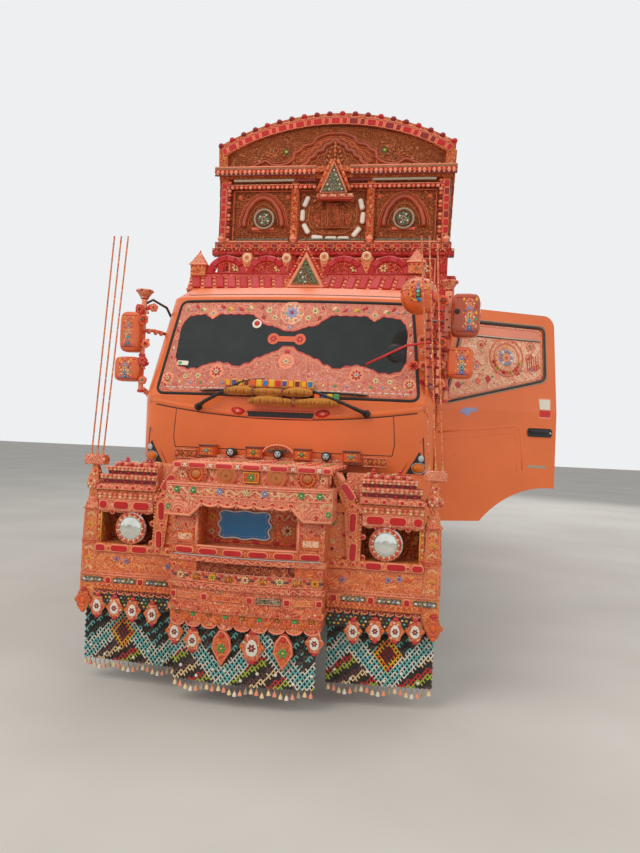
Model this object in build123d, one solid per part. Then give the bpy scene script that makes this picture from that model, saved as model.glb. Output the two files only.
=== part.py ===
from build123d import *
import math
import os

# A cab-over cargo truck dressed in carved, painted and tiled ornament, at its real size in millimetres.
# Building frame: X to the truck's left, Y from the cab's face to the tail, Z up from the ground.
# Every piece is moved at the end so that the origin is the middle of the base of the whole box.

# Running clearances.
door_gap = 6.0
seat_gap = 0.3
pin_gap = 0.2

# Wheels and axles.
tyre_radius = 520.0
tyre_width = 262.0
rim_radius = 254.0
twin_spacing = 310.0
front_axle_y = 1350.0
wheelbase = 4900.0
front_track = 1880.0
rear_track = 1710.0
kingpin_inset = 160.0
steer_limit = 30.0

# Ladder frame.
rail_centre_x = 385.0
rail_width = 80.0
rail_height = 260.0
rail_wall = 10.0
frame_top = 980.0
frame_front_y = -300.0
frame_rear_y = 8150.0

# Cab shell: front face, belt, windscreen and roof.
cab_half_width = 1092.0
cab_length = 2000.0
cab_wall = 45.0
cab_base_z = 1050.0
cab_floor_z = 1180.0
cab_floor_thickness = 50.0
belt_z = 1900.0
screen_foot_z = 1955.0
door_head_z = 2690.0
roof_z = 2790.0
roof_split_z = 2678.0
screen_rake = 274.0
front_bow = 60.0
corner_radius = 160.0
tunnel_half_width = 330.0
tunnel_top_z = 1450.0

# Doors: the left door stands open.
door_front_y = 375.0
door_rear_y = 1425.0
door_foot_z = 1012.0
door_open_angle = 64.0
arch_radius = 780.0
arch_centre_z = 530.0
window_sill_front_z = 1945.0
window_sill_rear_z = 2165.0
window_head_z = 2570.0
glass_thickness = 6.0

def rear_guards():
    """A bent guard over the rear of each pair of twins, hung from a cross member of the body by a stay."""
    x0, x1 = rear_track / 2 - 290, body_half_width - 40
    guard = mudguard(rear_axle_y, tyre_radius + 55, x0, x1, 30, 77)
    stay = slab(x0 + 60, x1 - 60, rear_axle_y + 130, rear_axle_y + 160, tyre_radius + 560, frame_top + bearer_height - seat_gap)
    return both_sides(fused([guard, stay]))


# Ornamental bumper.
bumper_half_width = 1150.0
bumper_foot_z = 500.0
wing_front_y = -625.0
wing_rear_y = -430.0
bulge_front_y = -850.0
bulge_half_width = 465.0
bulge_side_y = -800.0
panel_thickness = 25.0
sill_z = 890.0
recess_foot_z = 950.0
recess_head_z = 1190.0
canopy_top_z = 1330.0
shelf_top_z = 1450.0
recess_half_width = 300.0
recess_depth = 130.0
lamp_x = 815.0
lamp_z = 1000.0
lamp_radius = 105.0
post_width = 105.0
post_top_z = 1400.0
rod_top_z = 2900.0
rod_radius = 5.0
skirt_foot_z = 95.0
skirt_thickness = 12.0

# Cargo body, front wall and crown.
body_half_width = 1220.0
body_front_y = 2130.0
body_rear_y = 8250.0
body_wall = 45.0
bearer_height = 140.0
cross_height = 80.0
deck_thickness = 40.0
side_top_z = 3300.0
rib_depth = 40.0
rib_width = 70.0
rib_count = 9
tailgate_height = 900.0
crown_front_y = 2100.0
crown_depth = 380.0
crown_foot_z = 3550.0
cornice_z = 4380.0
crown_shoulder_z = 4620.0
crown_apex_z = 4935.0
crown_half_width = body_half_width - body_wall
cornice_overhang = 60.0
board_thickness = 40.0

# Roof parapet over the windscreen.
parapet_half_width = 960.0
parapet_front_y = 640.0
parapet_depth = 150.0
parapet_foot_z = 2790.3
parapet_top_z = 3130.0

deck_z = frame_top + bearer_height + cross_height + deck_thickness
rear_axle_y = front_axle_y + wheelbase
side_sign = {"right": -1, "left": 1}


def slab(x0, x1, y0, y1, z0, z1):
    """A box between two corners."""
    return Pos((x0 + x1) / 2, (y0 + y1) / 2, (z0 + z1) / 2) * Box(abs(x1 - x0), abs(y1 - y0), abs(z1 - z0))


def rod(radius, start, end):
    """A round bar between two points."""
    a, b = Vector(*start), Vector(*end)
    return Plane(origin=a, z_dir=b - a) * Cylinder(radius, (b - a).length, align=(Align.CENTER, Align.CENTER, Align.MIN))


def fused(pieces):
    """One shape from touching or overlapping pieces."""
    whole = pieces[0]
    for piece in pieces[1:]:
        whole = whole + piece
    return whole


def cut_by(shape, pieces):
    """A shape less each of a list of pieces."""
    for piece in pieces:
        shape = shape - piece
    return shape


def across(points, half_width):
    """A side outline, as (y, z) points, run across the truck about its centreline."""
    return extrude(Plane.YZ * make_face(Polyline(*points, close=True)), amount=half_width, both=True)


def along(points, y0, y1):
    """A front outline, as (x, z) points, run from y0 to y1."""
    face = Pos(0, y1, 0) * (Plane.XZ * make_face(Polyline(*points, close=True)))
    return extrude(face, amount=y1 - y0)


def both_sides(shape):
    """A left piece and its mirror image, as one shape of separate solids."""
    return Compound(children=[*shape.solids(), *mirror(shape, about=Plane.YZ).solids()])


# Wheels.

def wheel_turned(points, x, y):
    """An outline of (radius, distance along the axle) turned about an axle at x and y."""
    outline = make_face(Polyline(*[(r, s) for r, s in points], close=True))
    turned = revolve(outline, axis=Axis.Y)
    return Pos(x, y, tyre_radius) * (Rot(0, 0, -90) * turned)


def tyre(x, y, shoulders=True):
    """A road tyre: tread, shoulders, side walls and the seat on the rim."""
    half = tyre_width / 2
    bead = half * 0.72
    shoulder = [(tyre_radius - 22, half * 0.86)] if shoulders else []
    upper = [(rim_radius + seat_gap, bead), (rim_radius + 120, half), *shoulder, (tyre_radius, half * 0.70)]
    lower = [(r, -s) for r, s in reversed(upper)]
    return wheel_turned(upper + lower, x, y)


def rim(x, y, outward, twin=False):
    """A steel disc wheel. A single one is dished, and twins stand back to back on one hub."""
    half = tyre_width / 2 * 0.72
    wall = 14.0
    disc_radius = 110.0
    if twin:
        reach = twin_spacing / 2 + half
        outline = [(rim_radius, -reach), (rim_radius, reach), (rim_radius - wall, reach), (rim_radius - 60, 60),
                   (disc_radius, 40), (disc_radius, -40), (rim_radius - 60, -60), (rim_radius - wall, -reach)]
    else:
        dish = outward * 70
        outline = [(rim_radius, -half), (rim_radius, half), (rim_radius - wall, half), (rim_radius - 55, dish + 25),
                   (disc_radius, dish + 12), (disc_radius, dish - 12), (rim_radius - 55, dish - 5),
                   (rim_radius - wall, -half)]
    wheel = wheel_turned(outline, x, y)
    hand = outward * (40 if twin else 82)
    hub = rod(disc_radius, (x - outward * 40, y, tyre_radius), (x + hand + outward * 60, y, tyre_radius))
    cap = rod(disc_radius * 0.62, (x + hand, y, tyre_radius), (x + hand + outward * 105, y, tyre_radius))
    bore = rod(spindle_radius + pin_gap, (x - outward * 200, y, tyre_radius), (x + outward * 66, y, tyre_radius))
    hand_holes = [Pos(x, y + 172 * math.cos(a), tyre_radius + 172 * math.sin(a)) * (Rot(0, 90, 0) * Cylinder(26, 700))
                  for a in (math.radians(60 * n + 30) for n in range(6))]
    return (fused([wheel, hub, cap]) - fused(hand_holes)) - bore


spindle_radius = 45.0


def knuckle(side):
    """A steering knuckle: kingpin eyes above and below the beam's end, with the spindle that carries the wheel."""
    sign = side_sign[side]
    pin_x = sign * (front_track / 2 - kingpin_inset)
    wheel_x = sign * front_track / 2
    upright = slab(pin_x + sign * 52, pin_x + sign * 84, front_axle_y - 55, front_axle_y + 55,
                   tyre_radius - 112, tyre_radius + 112)
    ears = [slab(pin_x - sign * 38, pin_x + sign * 60, front_axle_y - 38, front_axle_y + 38, z, z + 40)
            for z in (tyre_radius - 112, tyre_radius + 72)]
    pin = rod(18, (pin_x, front_axle_y, tyre_radius - 112), (pin_x, front_axle_y, tyre_radius + 112))
    spindle = rod(spindle_radius, (pin_x + sign * 70, front_axle_y, tyre_radius),
                  (wheel_x + sign * 55, front_axle_y, tyre_radius))
    arm = slab(pin_x + sign * 20, pin_x + sign * 60, front_axle_y + 30, front_axle_y + 190,
               tyre_radius - 112, tyre_radius - 84)
    return fused([upright, *ears, pin, spindle, arm])


def front_axle():
    """A dropped I beam between the kingpins, with a boss bored at each end."""
    pin_x = front_track / 2 - kingpin_inset
    web = slab(-pin_x, pin_x, front_axle_y - 14, front_axle_y + 14, tyre_radius - 60, tyre_radius + 40)
    flanges = [slab(-pin_x, pin_x, front_axle_y - 42, front_axle_y + 42, z, z + 20)
               for z in (tyre_radius - 60, tyre_radius + 20)]
    bosses = [rod(44, (s * pin_x, front_axle_y, tyre_radius - 70), (s * pin_x, front_axle_y, tyre_radius + 70))
              for s in (-1, 1)]
    bores = [rod(18 + pin_gap, (s * pin_x, front_axle_y, tyre_radius - 80), (s * pin_x, front_axle_y, tyre_radius + 80))
             for s in (-1, 1)]
    pads = [slab(s * spring_x - 45, s * spring_x + 45, front_axle_y - 70, front_axle_y + 70,
                 tyre_radius + 40, front_spring_z) for s in (-1, 1)]
    return fused([web, *flanges, *bosses, *pads]) - fused(bores)


spring_x = rail_centre_x
spring_width = 76.0
front_spring_z = 600.0
rear_spring_z = 606.0


def rear_axle():
    """A banjo housing with its final-drive bulge and the two spindles that carry the twin wheels."""
    reach = rear_track / 2 + 60
    tube = rod(70, (-rear_track / 2 + 230, rear_axle_y, tyre_radius), (rear_track / 2 - 230, rear_axle_y, tyre_radius))
    spindles = rod(spindle_radius, (-reach, rear_axle_y, tyre_radius), (reach, rear_axle_y, tyre_radius))
    bulge = Pos(0, rear_axle_y, tyre_radius) * (Rot(90, 0, 0) * Cylinder(205, 190))
    nose = rod(80, (0, rear_axle_y - 260, tyre_radius), (0, rear_axle_y, tyre_radius))
    pads = [slab(s * spring_x - 45, s * spring_x + 45, rear_axle_y - 80, rear_axle_y + 80,
                 tyre_radius + 30, rear_spring_z) for s in (-1, 1)]
    return fused([tube, spindles, bulge, nose, *pads])


def leaf_spring(centre_y, foot_z, half_length):
    """A stack of leaves clamped on its axle, each leaf shorter than the one above, with shackle hangers to the rail."""
    leaf = 14.0
    leaves = [slab(spring_x - spring_width / 2, spring_x + spring_width / 2,
                   centre_y - half_length * (0.40 + 0.12 * n), centre_y + half_length * (0.40 + 0.12 * n),
                   foot_z + leaf * n, foot_z + leaf * (n + 1)) for n in range(6)]
    top = foot_z + leaf * 6
    hangers = [slab(spring_x - spring_width / 2, spring_x + spring_width / 2, centre_y + s * half_length - 30,
                    centre_y + s * half_length + 30, foot_z + leaf * 5, frame_top - rail_height) for s in (-1, 1)]
    clamp = slab(spring_x - spring_width / 2, spring_x + spring_width / 2, centre_y - 60, centre_y + 60, top, top + 24)
    return both_sides(fused([*leaves, *hangers, clamp]))


# Chassis.

def chassis_frame():
    """Two channel rails, their cross members, the cab's four pedestals and the bumper's brackets."""
    foot = frame_top - rail_height
    outer = slab(rail_centre_x - rail_width / 2, rail_centre_x + rail_width / 2, frame_front_y, frame_rear_y,
                 foot, frame_top)
    hollow = slab(rail_centre_x - rail_width / 2 - 1, rail_centre_x + rail_width / 2 - rail_wall, frame_front_y - 1,
                  frame_rear_y + 1, foot + rail_wall, frame_top - rail_wall)
    rail = outer - hollow
    rails = [rail, mirror(rail, about=Plane.YZ)]
    inner = rail_centre_x + rail_width / 2 - rail_wall
    crosses = [slab(-inner, inner, y - 40, y + 40, foot + 60, frame_top - 60) for y in cross_member_y]
    pedestals = [slab(s * rail_centre_x - 50, s * rail_centre_x + 50, y - 60, y + 60, frame_top, cab_floor_z)
                 for s in (-1, 1) for y in (180.0, cab_length - 160)]
    horns = [slab(s * rail_centre_x - 35, s * rail_centre_x + 35, wing_rear_y + 60, frame_front_y + 1, foot + 20,
                  frame_top - 40) for s in (-1, 1)]
    tunnel = rod(84, (0, shaft_front_y - 40, shaft_front_z), (0, rear_axle_y - 220, tyre_radius))
    return fused([*rails, *crosses, *pedestals, *horns]) - tunnel


cross_member_y = (-220.0, 2150.0, 3400.0, 4700.0, 5600.0, 6900.0, 8080.0)


def engine_block():
    """The engine and gearbox as one plain mass, hung between the rails under the cab."""
    block = slab(-280, 280, 350, 1500, 720, 1390)
    gearbox = slab(-190, 190, 1500, 2090, 740, 1030)
    feet = [slab(s * 280, s * (rail_centre_x + rail_width / 2 - rail_wall), y - 40, y + 40, 800, 860)
            for s in (-1, 1) for y in (480.0, 1400.0)]
    return fused([block, gearbox, *feet])


def propeller_shaft():
    """The tube that joins the gearbox to the final drive, with a joint yoke at each end."""
    y0, y1 = shaft_front_y, rear_axle_y - 260
    shaft = rod(48, (0, y0 - 40, shaft_front_z), (0, y1 + 40, tyre_radius))
    yokes = [rod(70, (0, y0 - 40, shaft_front_z), (0, y0 + 60, shaft_front_z - 6)),
             rod(70, (0, y1 - 70, tyre_radius + 6), (0, y1 + 40, tyre_radius))]
    return fused([shaft, *yokes]) & slab(-100, 100, y0 + seat_gap, y1 - seat_gap, 300, 1100)


shaft_front_y = 2090.0
shaft_front_z = 890.0


def rounded_box(x0, x1, y0, y1, z0, z1, radius):
    """A tank-like box with rounded long edges."""
    tank = slab(x0, x1, y0, y1, z0, z1)
    return fillet(tank.edges().filter_by(Axis.Y), radius)


def fuel_tank():
    """A rounded steel tank with two straps, hung outside the left rail."""
    x0 = rail_centre_x + rail_width / 2 + 20
    tank = rounded_box(x0, x0 + 560, 2700, 3900, 480, 960, 90)
    straps = [rounded_box(x0 - 20, x0 + 566, y - 30, y + 30, 474, 966, 95) for y in (2950.0, 3650.0)]
    filler = rod(45, (x0 + 440, 2790, 940), (x0 + 440, 2790, 1000))
    return fused([tank, *straps, filler])


def battery_box():
    """The battery and air-tank carrier outside the right rail."""
    x0 = -(rail_centre_x + rail_width / 2)
    case = slab(x0 - 520, x0 - 20, 2700, 3400, 560, 900)
    back = slab(x0 - 21, x0 - seat_gap, 2760, 3340, 760, 880)
    shelf = slab(x0 - 530, x0, 2680, 3420, 530, 560)
    tank = rod(120, (x0 - 270, 3480, 700), (x0 - 270, 4300, 700))
    straps = [slab(x0 - 380, x0 - seat_gap, y - 30, y + 30, 735, 755) for y in (3650.0, 4150.0)]
    return fused([case, back, shelf, tank, *straps, slab(x0 - 300, x0 - 240, 3400, 3500, 640, 760)])


# Cab shell.

def plan_section(z, front_y, half_width, inset=0.0):
    """One level cut of the cab: a bowed face, round corners, straight sides and a flat back."""
    w, yf, yb = half_width - inset, front_y + inset, cab_length - inset
    r = corner_radius - inset * 0.6
    bow_y, side_y = yf + front_bow, yf + front_bow + r
    diagonal = r * math.sqrt(0.5)
    edges = [ThreePointArc((-(w - r), bow_y), (0, yf), (w - r, bow_y)),
             ThreePointArc((w - r, bow_y), (w - r + diagonal, side_y - diagonal), (w, side_y)),
             Polyline((w, side_y), (w, yb), (-w, yb), (-w, side_y)),
             ThreePointArc((-w, side_y), (-(w - r) - diagonal, side_y - diagonal), (-(w - r), bow_y))]
    return Pos(0, 0, z) * make_face(edges)


# Height, distance of the face behind the foremost point, and half width of each level cut.
cab_levels = [
    (cab_base_z, 22.0, cab_half_width),
    (belt_z, 0.0, cab_half_width),
    (screen_foot_z, 20.0, cab_half_width - 6),
    (door_head_z, 20.0 + screen_rake, cab_half_width - 82),
    (roof_z, 430.0, cab_half_width - 150),
]


def cab_outer():
    """The cab's whole outer form."""
    return loft([plan_section(z, y, w) for z, y, w in cab_levels], ruled=True)


def cab_inner(seat=0.0):
    """The space inside the cab's panels."""
    levels = [(cab_base_z - 1, *cab_levels[0][1:]), *cab_levels[1:-1], (roof_z - cab_wall, 420.0, cab_half_width - 150)]
    return loft([plan_section(z, y, w, cab_wall + seat) for z, y, w in levels], ruled=True)


def door_outline(grow=0.0):
    """The door seen from its side, as a face of (y, z): raked at the screen pillar and cut by the wheel arch."""
    y0, y1, z0, z1 = door_front_y - grow, door_rear_y + grow, door_foot_z - 2 * grow, door_head_z - 9 + grow
    # The pillar's rake starts at the belt and ends at the head.
    face = make_face(Polyline((y0, z0), (y0, screen_foot_z), (y0 + 205, z1), (y1, z1), (y1, z0), close=True))
    corner = face.vertices().sort_by(lambda v: v.Y + v.X)[-1]
    return fillet(corner, 90) - Pos(front_axle_y, arch_centre_z) * Circle(arch_radius - grow)


def window_outline(grow=0.0):
    """The side window, as a face of (y, z): its sill climbs to the rear."""
    y0, y1 = door_front_y + 70 - grow, door_rear_y - 105 + grow
    face = make_face(Polyline((y0, window_sill_front_z - grow), (y1, window_sill_rear_z - grow),
                              (y1, window_head_z + grow), (y0 + 168, window_head_z + grow), close=True))
    return fillet(face.vertices(), 45)


def side_prism(face, sign, x0=860.0, x1=1200.0):
    """A side outline run through one side wall of the cab."""
    run = extrude(Plane.YZ * face, amount=x1 - x0)
    placed = Pos(x0, 0, 0) * run
    return placed if sign > 0 else mirror(placed, about=Plane.YZ)


def screen_outline(grow=0.0):
    """The windscreen seen from the front, as a face of (x, z)."""
    foot, head = screen_foot_z + 18 - grow, door_head_z - 22 + grow
    wide_foot, wide_head = cab_half_width - 135 + grow, cab_half_width - 205 + grow
    face = make_face(Polyline((-wide_foot, foot), (wide_foot, foot), (wide_head, head), (-wide_head, head), close=True))
    return fillet(face.vertices(), 70)


def screen_prism(grow=0.0):
    """The windscreen's outline run back through the raked face."""
    return extrude(Pos(0, 560, 0) * (Plane.XZ * screen_outline(grow)), amount=760)


hinge_x = cab_half_width + 12.0
hinge_y = door_front_y - 3.0
hinge_levels = (1290.0, 1780.0)
hinge_pin_radius = 9.0
hinge_barrel_radius = 18.0
hinge_barrel_height = 60.0
hinge_ear_height = 12.0
hinge_end_gap = 5.0


def hinge_round(sign, z0, z1, radius):
    """A cylinder on a door's hinge axis."""
    return rod(radius, (sign * hinge_x, hinge_y, z0), (sign * hinge_x, hinge_y, z1))


def hinge_ears(sign):
    """The foot of each ear that holds a hinge pin, above and below the barrel."""
    reach = hinge_ear_height + hinge_end_gap
    return [z0 for z in hinge_levels for z0 in (z - reach, z + hinge_barrel_height + hinge_end_gap)]


def hinge_pins(sign):
    """The pins and the ears that hold them, fixed to the front pillar."""
    reach = hinge_ear_height + hinge_end_gap
    pieces = [hinge_round(sign, z - reach, z + hinge_barrel_height + reach, hinge_pin_radius) for z in hinge_levels]
    for z in hinge_ears(sign):
        pieces.append(hinge_round(sign, z, z + hinge_ear_height, hinge_barrel_radius - 3))
        pieces.append(slab(sign * (hinge_x - 30), sign * (hinge_x + 10), hinge_y - 50, hinge_y - 6, z, z + hinge_ear_height))
    return pieces


def hinge_clear(sign):
    """The room that the barrels and their arms turn in."""
    top = hinge_barrel_height + hinge_end_gap
    rounds = [hinge_round(sign, z - hinge_end_gap, z + top, hinge_barrel_radius + 6) for z in hinge_levels]
    flats = [slab(sign * (hinge_x - 60), sign * (hinge_x + 30), hinge_y - 9, hinge_y + 10, z - hinge_end_gap, z + top)
             for z in hinge_levels]
    return rounds + flats


def ear_clear(sign):
    """The room that a door leaves round the fixed ears."""
    return [hinge_round(sign, z - hinge_end_gap, z + hinge_ear_height + hinge_end_gap, hinge_barrel_radius + 4)
            for z in hinge_ears(sign)]


def hinge_barrels(sign):
    """The door's own barrels, with an arm to the door's edge."""
    pieces = []
    for z in hinge_levels:
        barrel = hinge_round(sign, z, z + hinge_barrel_height, hinge_barrel_radius)
        arm = slab(sign * (hinge_x - 30), sign * (hinge_x + 4), hinge_y + 3, hinge_y + 60, z, z + hinge_barrel_height)
        pieces.append(barrel + arm)
    return pieces


def cab_panels():
    """The cab's fixed panels and its two doors, all cut from one shell where the real panels meet."""
    shell = cab_outer() - cab_inner()
    holes = [side_prism(door_outline(door_gap), s) for s in (-1, 1)]
    arch = Pos(0, front_axle_y, arch_centre_z) * (Rot(0, 90, 0) * Cylinder(arch_radius - door_gap, 2600))
    fixed = cut_by(shell, [*holes, arch])
    roof = fixed & slab(-1300, 1300, -100, 2100, roof_split_z, roof_z + 10)
    below = fixed & slab(-1300, 1300, -100, 2100, cab_base_z - 5, roof_split_z - seat_gap)
    front = below & slab(-1300, 1300, -100, 800, cab_base_z - 5, roof_z)
    back = below & slab(-1300, 1300, cab_length - cab_wall, 2100, cab_base_z - 5, roof_z)
    quarters = below & slab(-1300, 1300, 1000, cab_length - cab_wall - seat_gap, cab_base_z - 5, roof_z)
    screen_hole = screen_prism() & slab(-1300, 1300, -100, 700, belt_z, roof_z)
    notches = hinge_clear(1) + hinge_clear(-1)
    front = fused([cut_by(front - screen_hole, notches), *hinge_pins(1), *hinge_pins(-1)])
    doors = {}
    for side, sign in side_sign.items():
        leaf = (shell & side_prism(door_outline(), sign)) - side_prism(window_outline(), sign)
        bores = [hinge_round(sign, z - 20, z + hinge_barrel_height + 20, hinge_pin_radius + pin_gap)
                 for z in hinge_levels]
        doors[side] = cut_by(fused([cut_by(leaf, ear_clear(sign)), *hinge_barrels(sign)]), bores)
    return {"roof": roof, "front": front, "back": back, "quarters": quarters, "doors": doors}


def windscreen():
    """The laminated screen, bedded in its opening."""
    pane = (cab_outer() - cab_inner()) & (screen_prism(-seat_gap) & slab(-1300, 1300, -100, 700, belt_z, roof_z))
    forward = Pos(0, 30, 0) * cab_outer()
    return pane - forward


def door_glass(sign):
    """The side window's pane, in its opening."""
    shell = cab_outer() - cab_inner()
    pane = shell & side_prism(window_outline(-seat_gap), sign)
    inner = Pos(-sign * (cab_wall - 26), 0, 0) * cab_outer()
    outer = Pos(sign * -16.0, 0, 0) * cab_outer()
    return (pane & outer) - inner


def opened(shape, sign, angle):
    """A door's piece turned about its hinge, outwards."""
    pivot = Axis((sign * hinge_x, hinge_y, 0), (0, 0, -sign))
    return shape.rotate(pivot, angle)


def cab_floor():
    """The floor pan with the hump over the engine, and its rim down to the panels' foot."""
    top = cab_floor_z + cab_floor_thickness
    pan = cab_inner(seat_gap) & slab(-1200, 1200, 0, cab_length, cab_floor_z, top)
    hump = slab(-tunnel_half_width, tunnel_half_width, 320, cab_length - cab_wall - seat_gap, cab_floor_z, tunnel_top_z)
    hollow = slab(-(tunnel_half_width - 25), tunnel_half_width - 25, 300, cab_length, cab_floor_z - 1, tunnel_top_z - 25)
    return fused([pan, hump]) - hollow


def seat(x):
    """One padded seat on its box: squab, backrest and headrest."""
    base = cab_floor_z + cab_floor_thickness
    profile = [(1080, base), (1560, base), (1600, base + 300), (1690, base + 760), (1730, base + 980),
               (1650, base + 1000), (1600, base + 790), (1500, base + 420), (1060, base + 400), (1050, base + 290)]
    return Pos(x, 0, 0) * across(profile, 255)


def dashboard():
    """The fascia across the cab under the screen, with the driver's binnacle and the steering column."""
    w = cab_half_width - 130
    base = cab_floor_z + cab_floor_thickness
    profile = [(200, 1600), (200, 1935), (330, 1950), (470, 1870), (500, 1700), (430, 1600)]
    body = across(profile, w)
    legs = [slab(s * w - s * 60, s * w, 240, 420, base, 1610) for s in (-1, 1)]
    column = rod(30, (driver_x, 330, 1700), (driver_x, 600, 1850))
    return fused([body, *legs, column])


driver_x = -610.0


def steering_wheel():
    """The rim, three spokes and boss, leaning towards the driver."""
    centre = Plane(origin=(driver_x, 600, 1850), z_dir=(0, 270, 150))
    ring = centre * (Pos(0, 0, 30) * Torus(215, 14))
    spokes = [centre * (Rot(0, 0, a) * (Pos(105, 0, 25) * Box(220, 26, 14))) for a in (90, 210, 330)]
    boss = centre * (Pos(0, 0, seat_gap) * Cylinder(46, 48, align=(Align.CENTER, Align.CENTER, Align.MIN)))
    return fused([ring, *spokes, boss])


def cab_steps():
    """The step box under each door, ahead of the wheel, with two treads, on a bracket from the rail."""
    y0, y1, z0, z1 = 235.0, 640.0, 460.0, 1000.0
    x1 = cab_half_width - 20
    box = slab(x1 - 260, x1, y0, y1, z0, z1)
    treads = [slab(x1 - 200, x1 + 1, y0 + 40, y1 - 40, z, z + 190) for z in (z0 + 40, z0 + 290)]
    arm = slab(rail_centre_x + rail_width / 2 + seat_gap, x1 - 250, y0 + 100, y0 + 180, frame_top - 200, frame_top - 130)
    return both_sides(fused([box, arm]) - fused(treads))


def mudguard(centre_y, radius, x0, x1, start, end):
    """A bent guard over a wheel, as part of a ring from a start to an end angle."""
    ring = Rot(0, 90, 0) * (Cylinder(radius + 12, x1 - x0) - Cylinder(radius, x1 - x0 + 2))
    placed = Pos((x0 + x1) / 2, centre_y, tyre_radius) * ring
    reach = radius * 3
    points = [(centre_y, tyre_radius)]
    steps = 6
    for n in range(steps + 1):
        a = math.radians(start + (end - start) * n / steps)
        points.append((centre_y + reach * math.cos(a), tyre_radius + reach * math.sin(a)))
    wedge = extrude(Plane.YZ * make_face(Polyline(*points, close=True)), amount=1500, both=True)
    return placed & wedge


# Ornamental bumper.

def bulge_plan(inset=0.0):
    """The bumper's bowed middle from above."""
    w, y = bulge_half_width - inset, bulge_front_y + inset
    return make_face([ThreePointArc((-w, bulge_side_y + inset), (0, y), (w, bulge_side_y + inset)),
                      Polyline((w, bulge_side_y + inset), (w, wing_rear_y), (-w, wing_rear_y),
                               (-w, bulge_side_y + inset))])


def raised(face, z0, z1):
    """A plan outline run up from z0 to z1."""
    return extrude(Pos(0, 0, z0) * face, amount=z1 - z0)


def scallops(half_width, count, z, depth):
    """Points of a scalloped hem from one side to the other, each lobe an arc of five points."""
    step = 2 * half_width / count
    points = []
    for n in range(count):
        for k in range(4):
            a = math.pi * k / 4
            points.append((-half_width + step * (n + (1 - math.cos(a)) / 2), z - depth * math.sin(a)))
    points.append((half_width, z))
    return points


def hem_cutter(half_width, count, z, depth, z_low):
    """What is taken away below a scalloped hem."""
    hem = scallops(half_width, count, z, depth)
    return along([*hem, (half_width, z_low), (-half_width, z_low)], -1100, -200)


def bumper_centre():
    """The bowed middle: an open-backed box with a hemmed apron and the recess for the number panel."""
    t = panel_thickness
    foot = bumper_foot_z - 40
    box = raised(bulge_plan(), foot, canopy_top_z - 60)
    hollow = raised(bulge_plan(t), foot - 1, canopy_top_z - 60 - t)
    open_back = slab(-(bulge_half_width - t), bulge_half_width - t, wing_rear_y - 30, wing_rear_y + 1, foot - 1,
                     canopy_top_z - 60 - t)
    shell = box - hollow - open_back
    tray_back = bulge_front_y + recess_depth + 50
    tray = slab(-(recess_half_width + t), recess_half_width + t, bulge_side_y - 10, tray_back + t,
                recess_foot_z - t, recess_head_z + t) & raised(bulge_plan(), recess_foot_z - t, recess_head_z + t)
    mouth = slab(-recess_half_width, recess_half_width, bulge_front_y - 20, tray_back, recess_foot_z, recess_head_z)
    floor_plate = raised(bulge_plan(1), sill_z - t, sill_z)
    hem = hem_cutter(bulge_half_width + 2, 9, foot + 30, 30, foot - 40)
    stays = [slab(s * 300 - 20, s * 300 + 20, tray_back, wing_rear_y, recess_foot_z, recess_foot_z + 40)
             for s in (-1, 1)]
    body = (fused([shell, tray, floor_plate, *stays]) - mouth) - hem
    bars = [raised(bulge_plan(-14), z, z + 34) - raised(bulge_plan(4), z - 1, z + 35) for z in (560.0, 700.0, 860.0)]
    trimmed = [bar - slab(-600, 600, wing_front_y - 17, 0, 400, 1000) for bar in bars]
    return fused([body, *trimmed])


def bumper_wing():
    """The left wing: a box with the headlamp's alcove, an apron below and a sill of lozenges."""
    t = panel_thickness
    x0, x1 = bulge_half_width + seat_gap, bumper_half_width - post_width
    foot = bumper_foot_z
    box = slab(x0, x1, wing_front_y, wing_rear_y, foot, recess_head_z + 50)
    hollow = slab(x0 + t, x1 - t, wing_front_y + t, wing_rear_y + 1, foot - 1, sill_z - t)
    alcove = slab(x0 + 200, x1 - t, wing_front_y - 1, wing_rear_y - t, sill_z + 5, recess_head_z - 10)
    slats = fused([box - hollow - alcove,
                   slab(x0, x1, wing_front_y - 16, wing_front_y + 1, sill_z - 48, sill_z + 4),
                   slab(x0, x1, wing_front_y - 16, wing_front_y + 1, recess_head_z - 8, recess_head_z + 44),
                   slab(x0, x1, wing_front_y - 12, wing_front_y + 1, foot + 60, foot + 96)])
    # The rib that climbs beside the alcove and leans in at the top.
    rib = along([(x0 + 120, sill_z), (x0 + 200, sill_z), (x0 + 180, 1200), (x0 + 60, 1420), (x0, 1420),
                 (x0 + 90, 1200)], wing_front_y - 19, wing_front_y + 60)
    return fused([slats, rib])


def wing_tiers():
    """The stepped eaves over the left headlamp, each tier a beaded slab smaller than the one below."""
    x0 = bulge_half_width + 90
    x1 = bumper_half_width - post_width
    base = recess_head_z + 50 + seat_gap
    # Height, overhang of the front edge and outer inset of each tier.
    tiers = [(0, 34, 0), (30, 6, 30), (72, 26, 20), (98, 2, 60), (124, 20, 50), (150, -20, 90)]
    pieces = []
    for (z, reach, inset), (z_next, _, _) in zip(tiers, [*tiers[1:], (176, 0, 0)]):
        pieces.append(slab(x0, x1 - inset, wing_front_y - reach, wing_rear_y - 20, base + z, base + z_next))
    return both_sides(fused(pieces) - slab(0, x0 + 95, -900, wing_front_y + 61, 0, 1600))


def bumper_beam():
    """The pressed steel beam behind the ornament, bolted to the rails' horns."""
    outer = slab(-(bumper_half_width - post_width - 30), bumper_half_width - post_width - 30, wing_rear_y, wing_rear_y + 60,
                 frame_top - 240, frame_top - 60)
    slots = [slab(s * 520 - 110, s * 520 + 110, wing_rear_y - 1, wing_rear_y + 61, frame_top - 190, frame_top - 110)
             for s in (-1, 1)]
    return outer - fused(slots)


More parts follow.
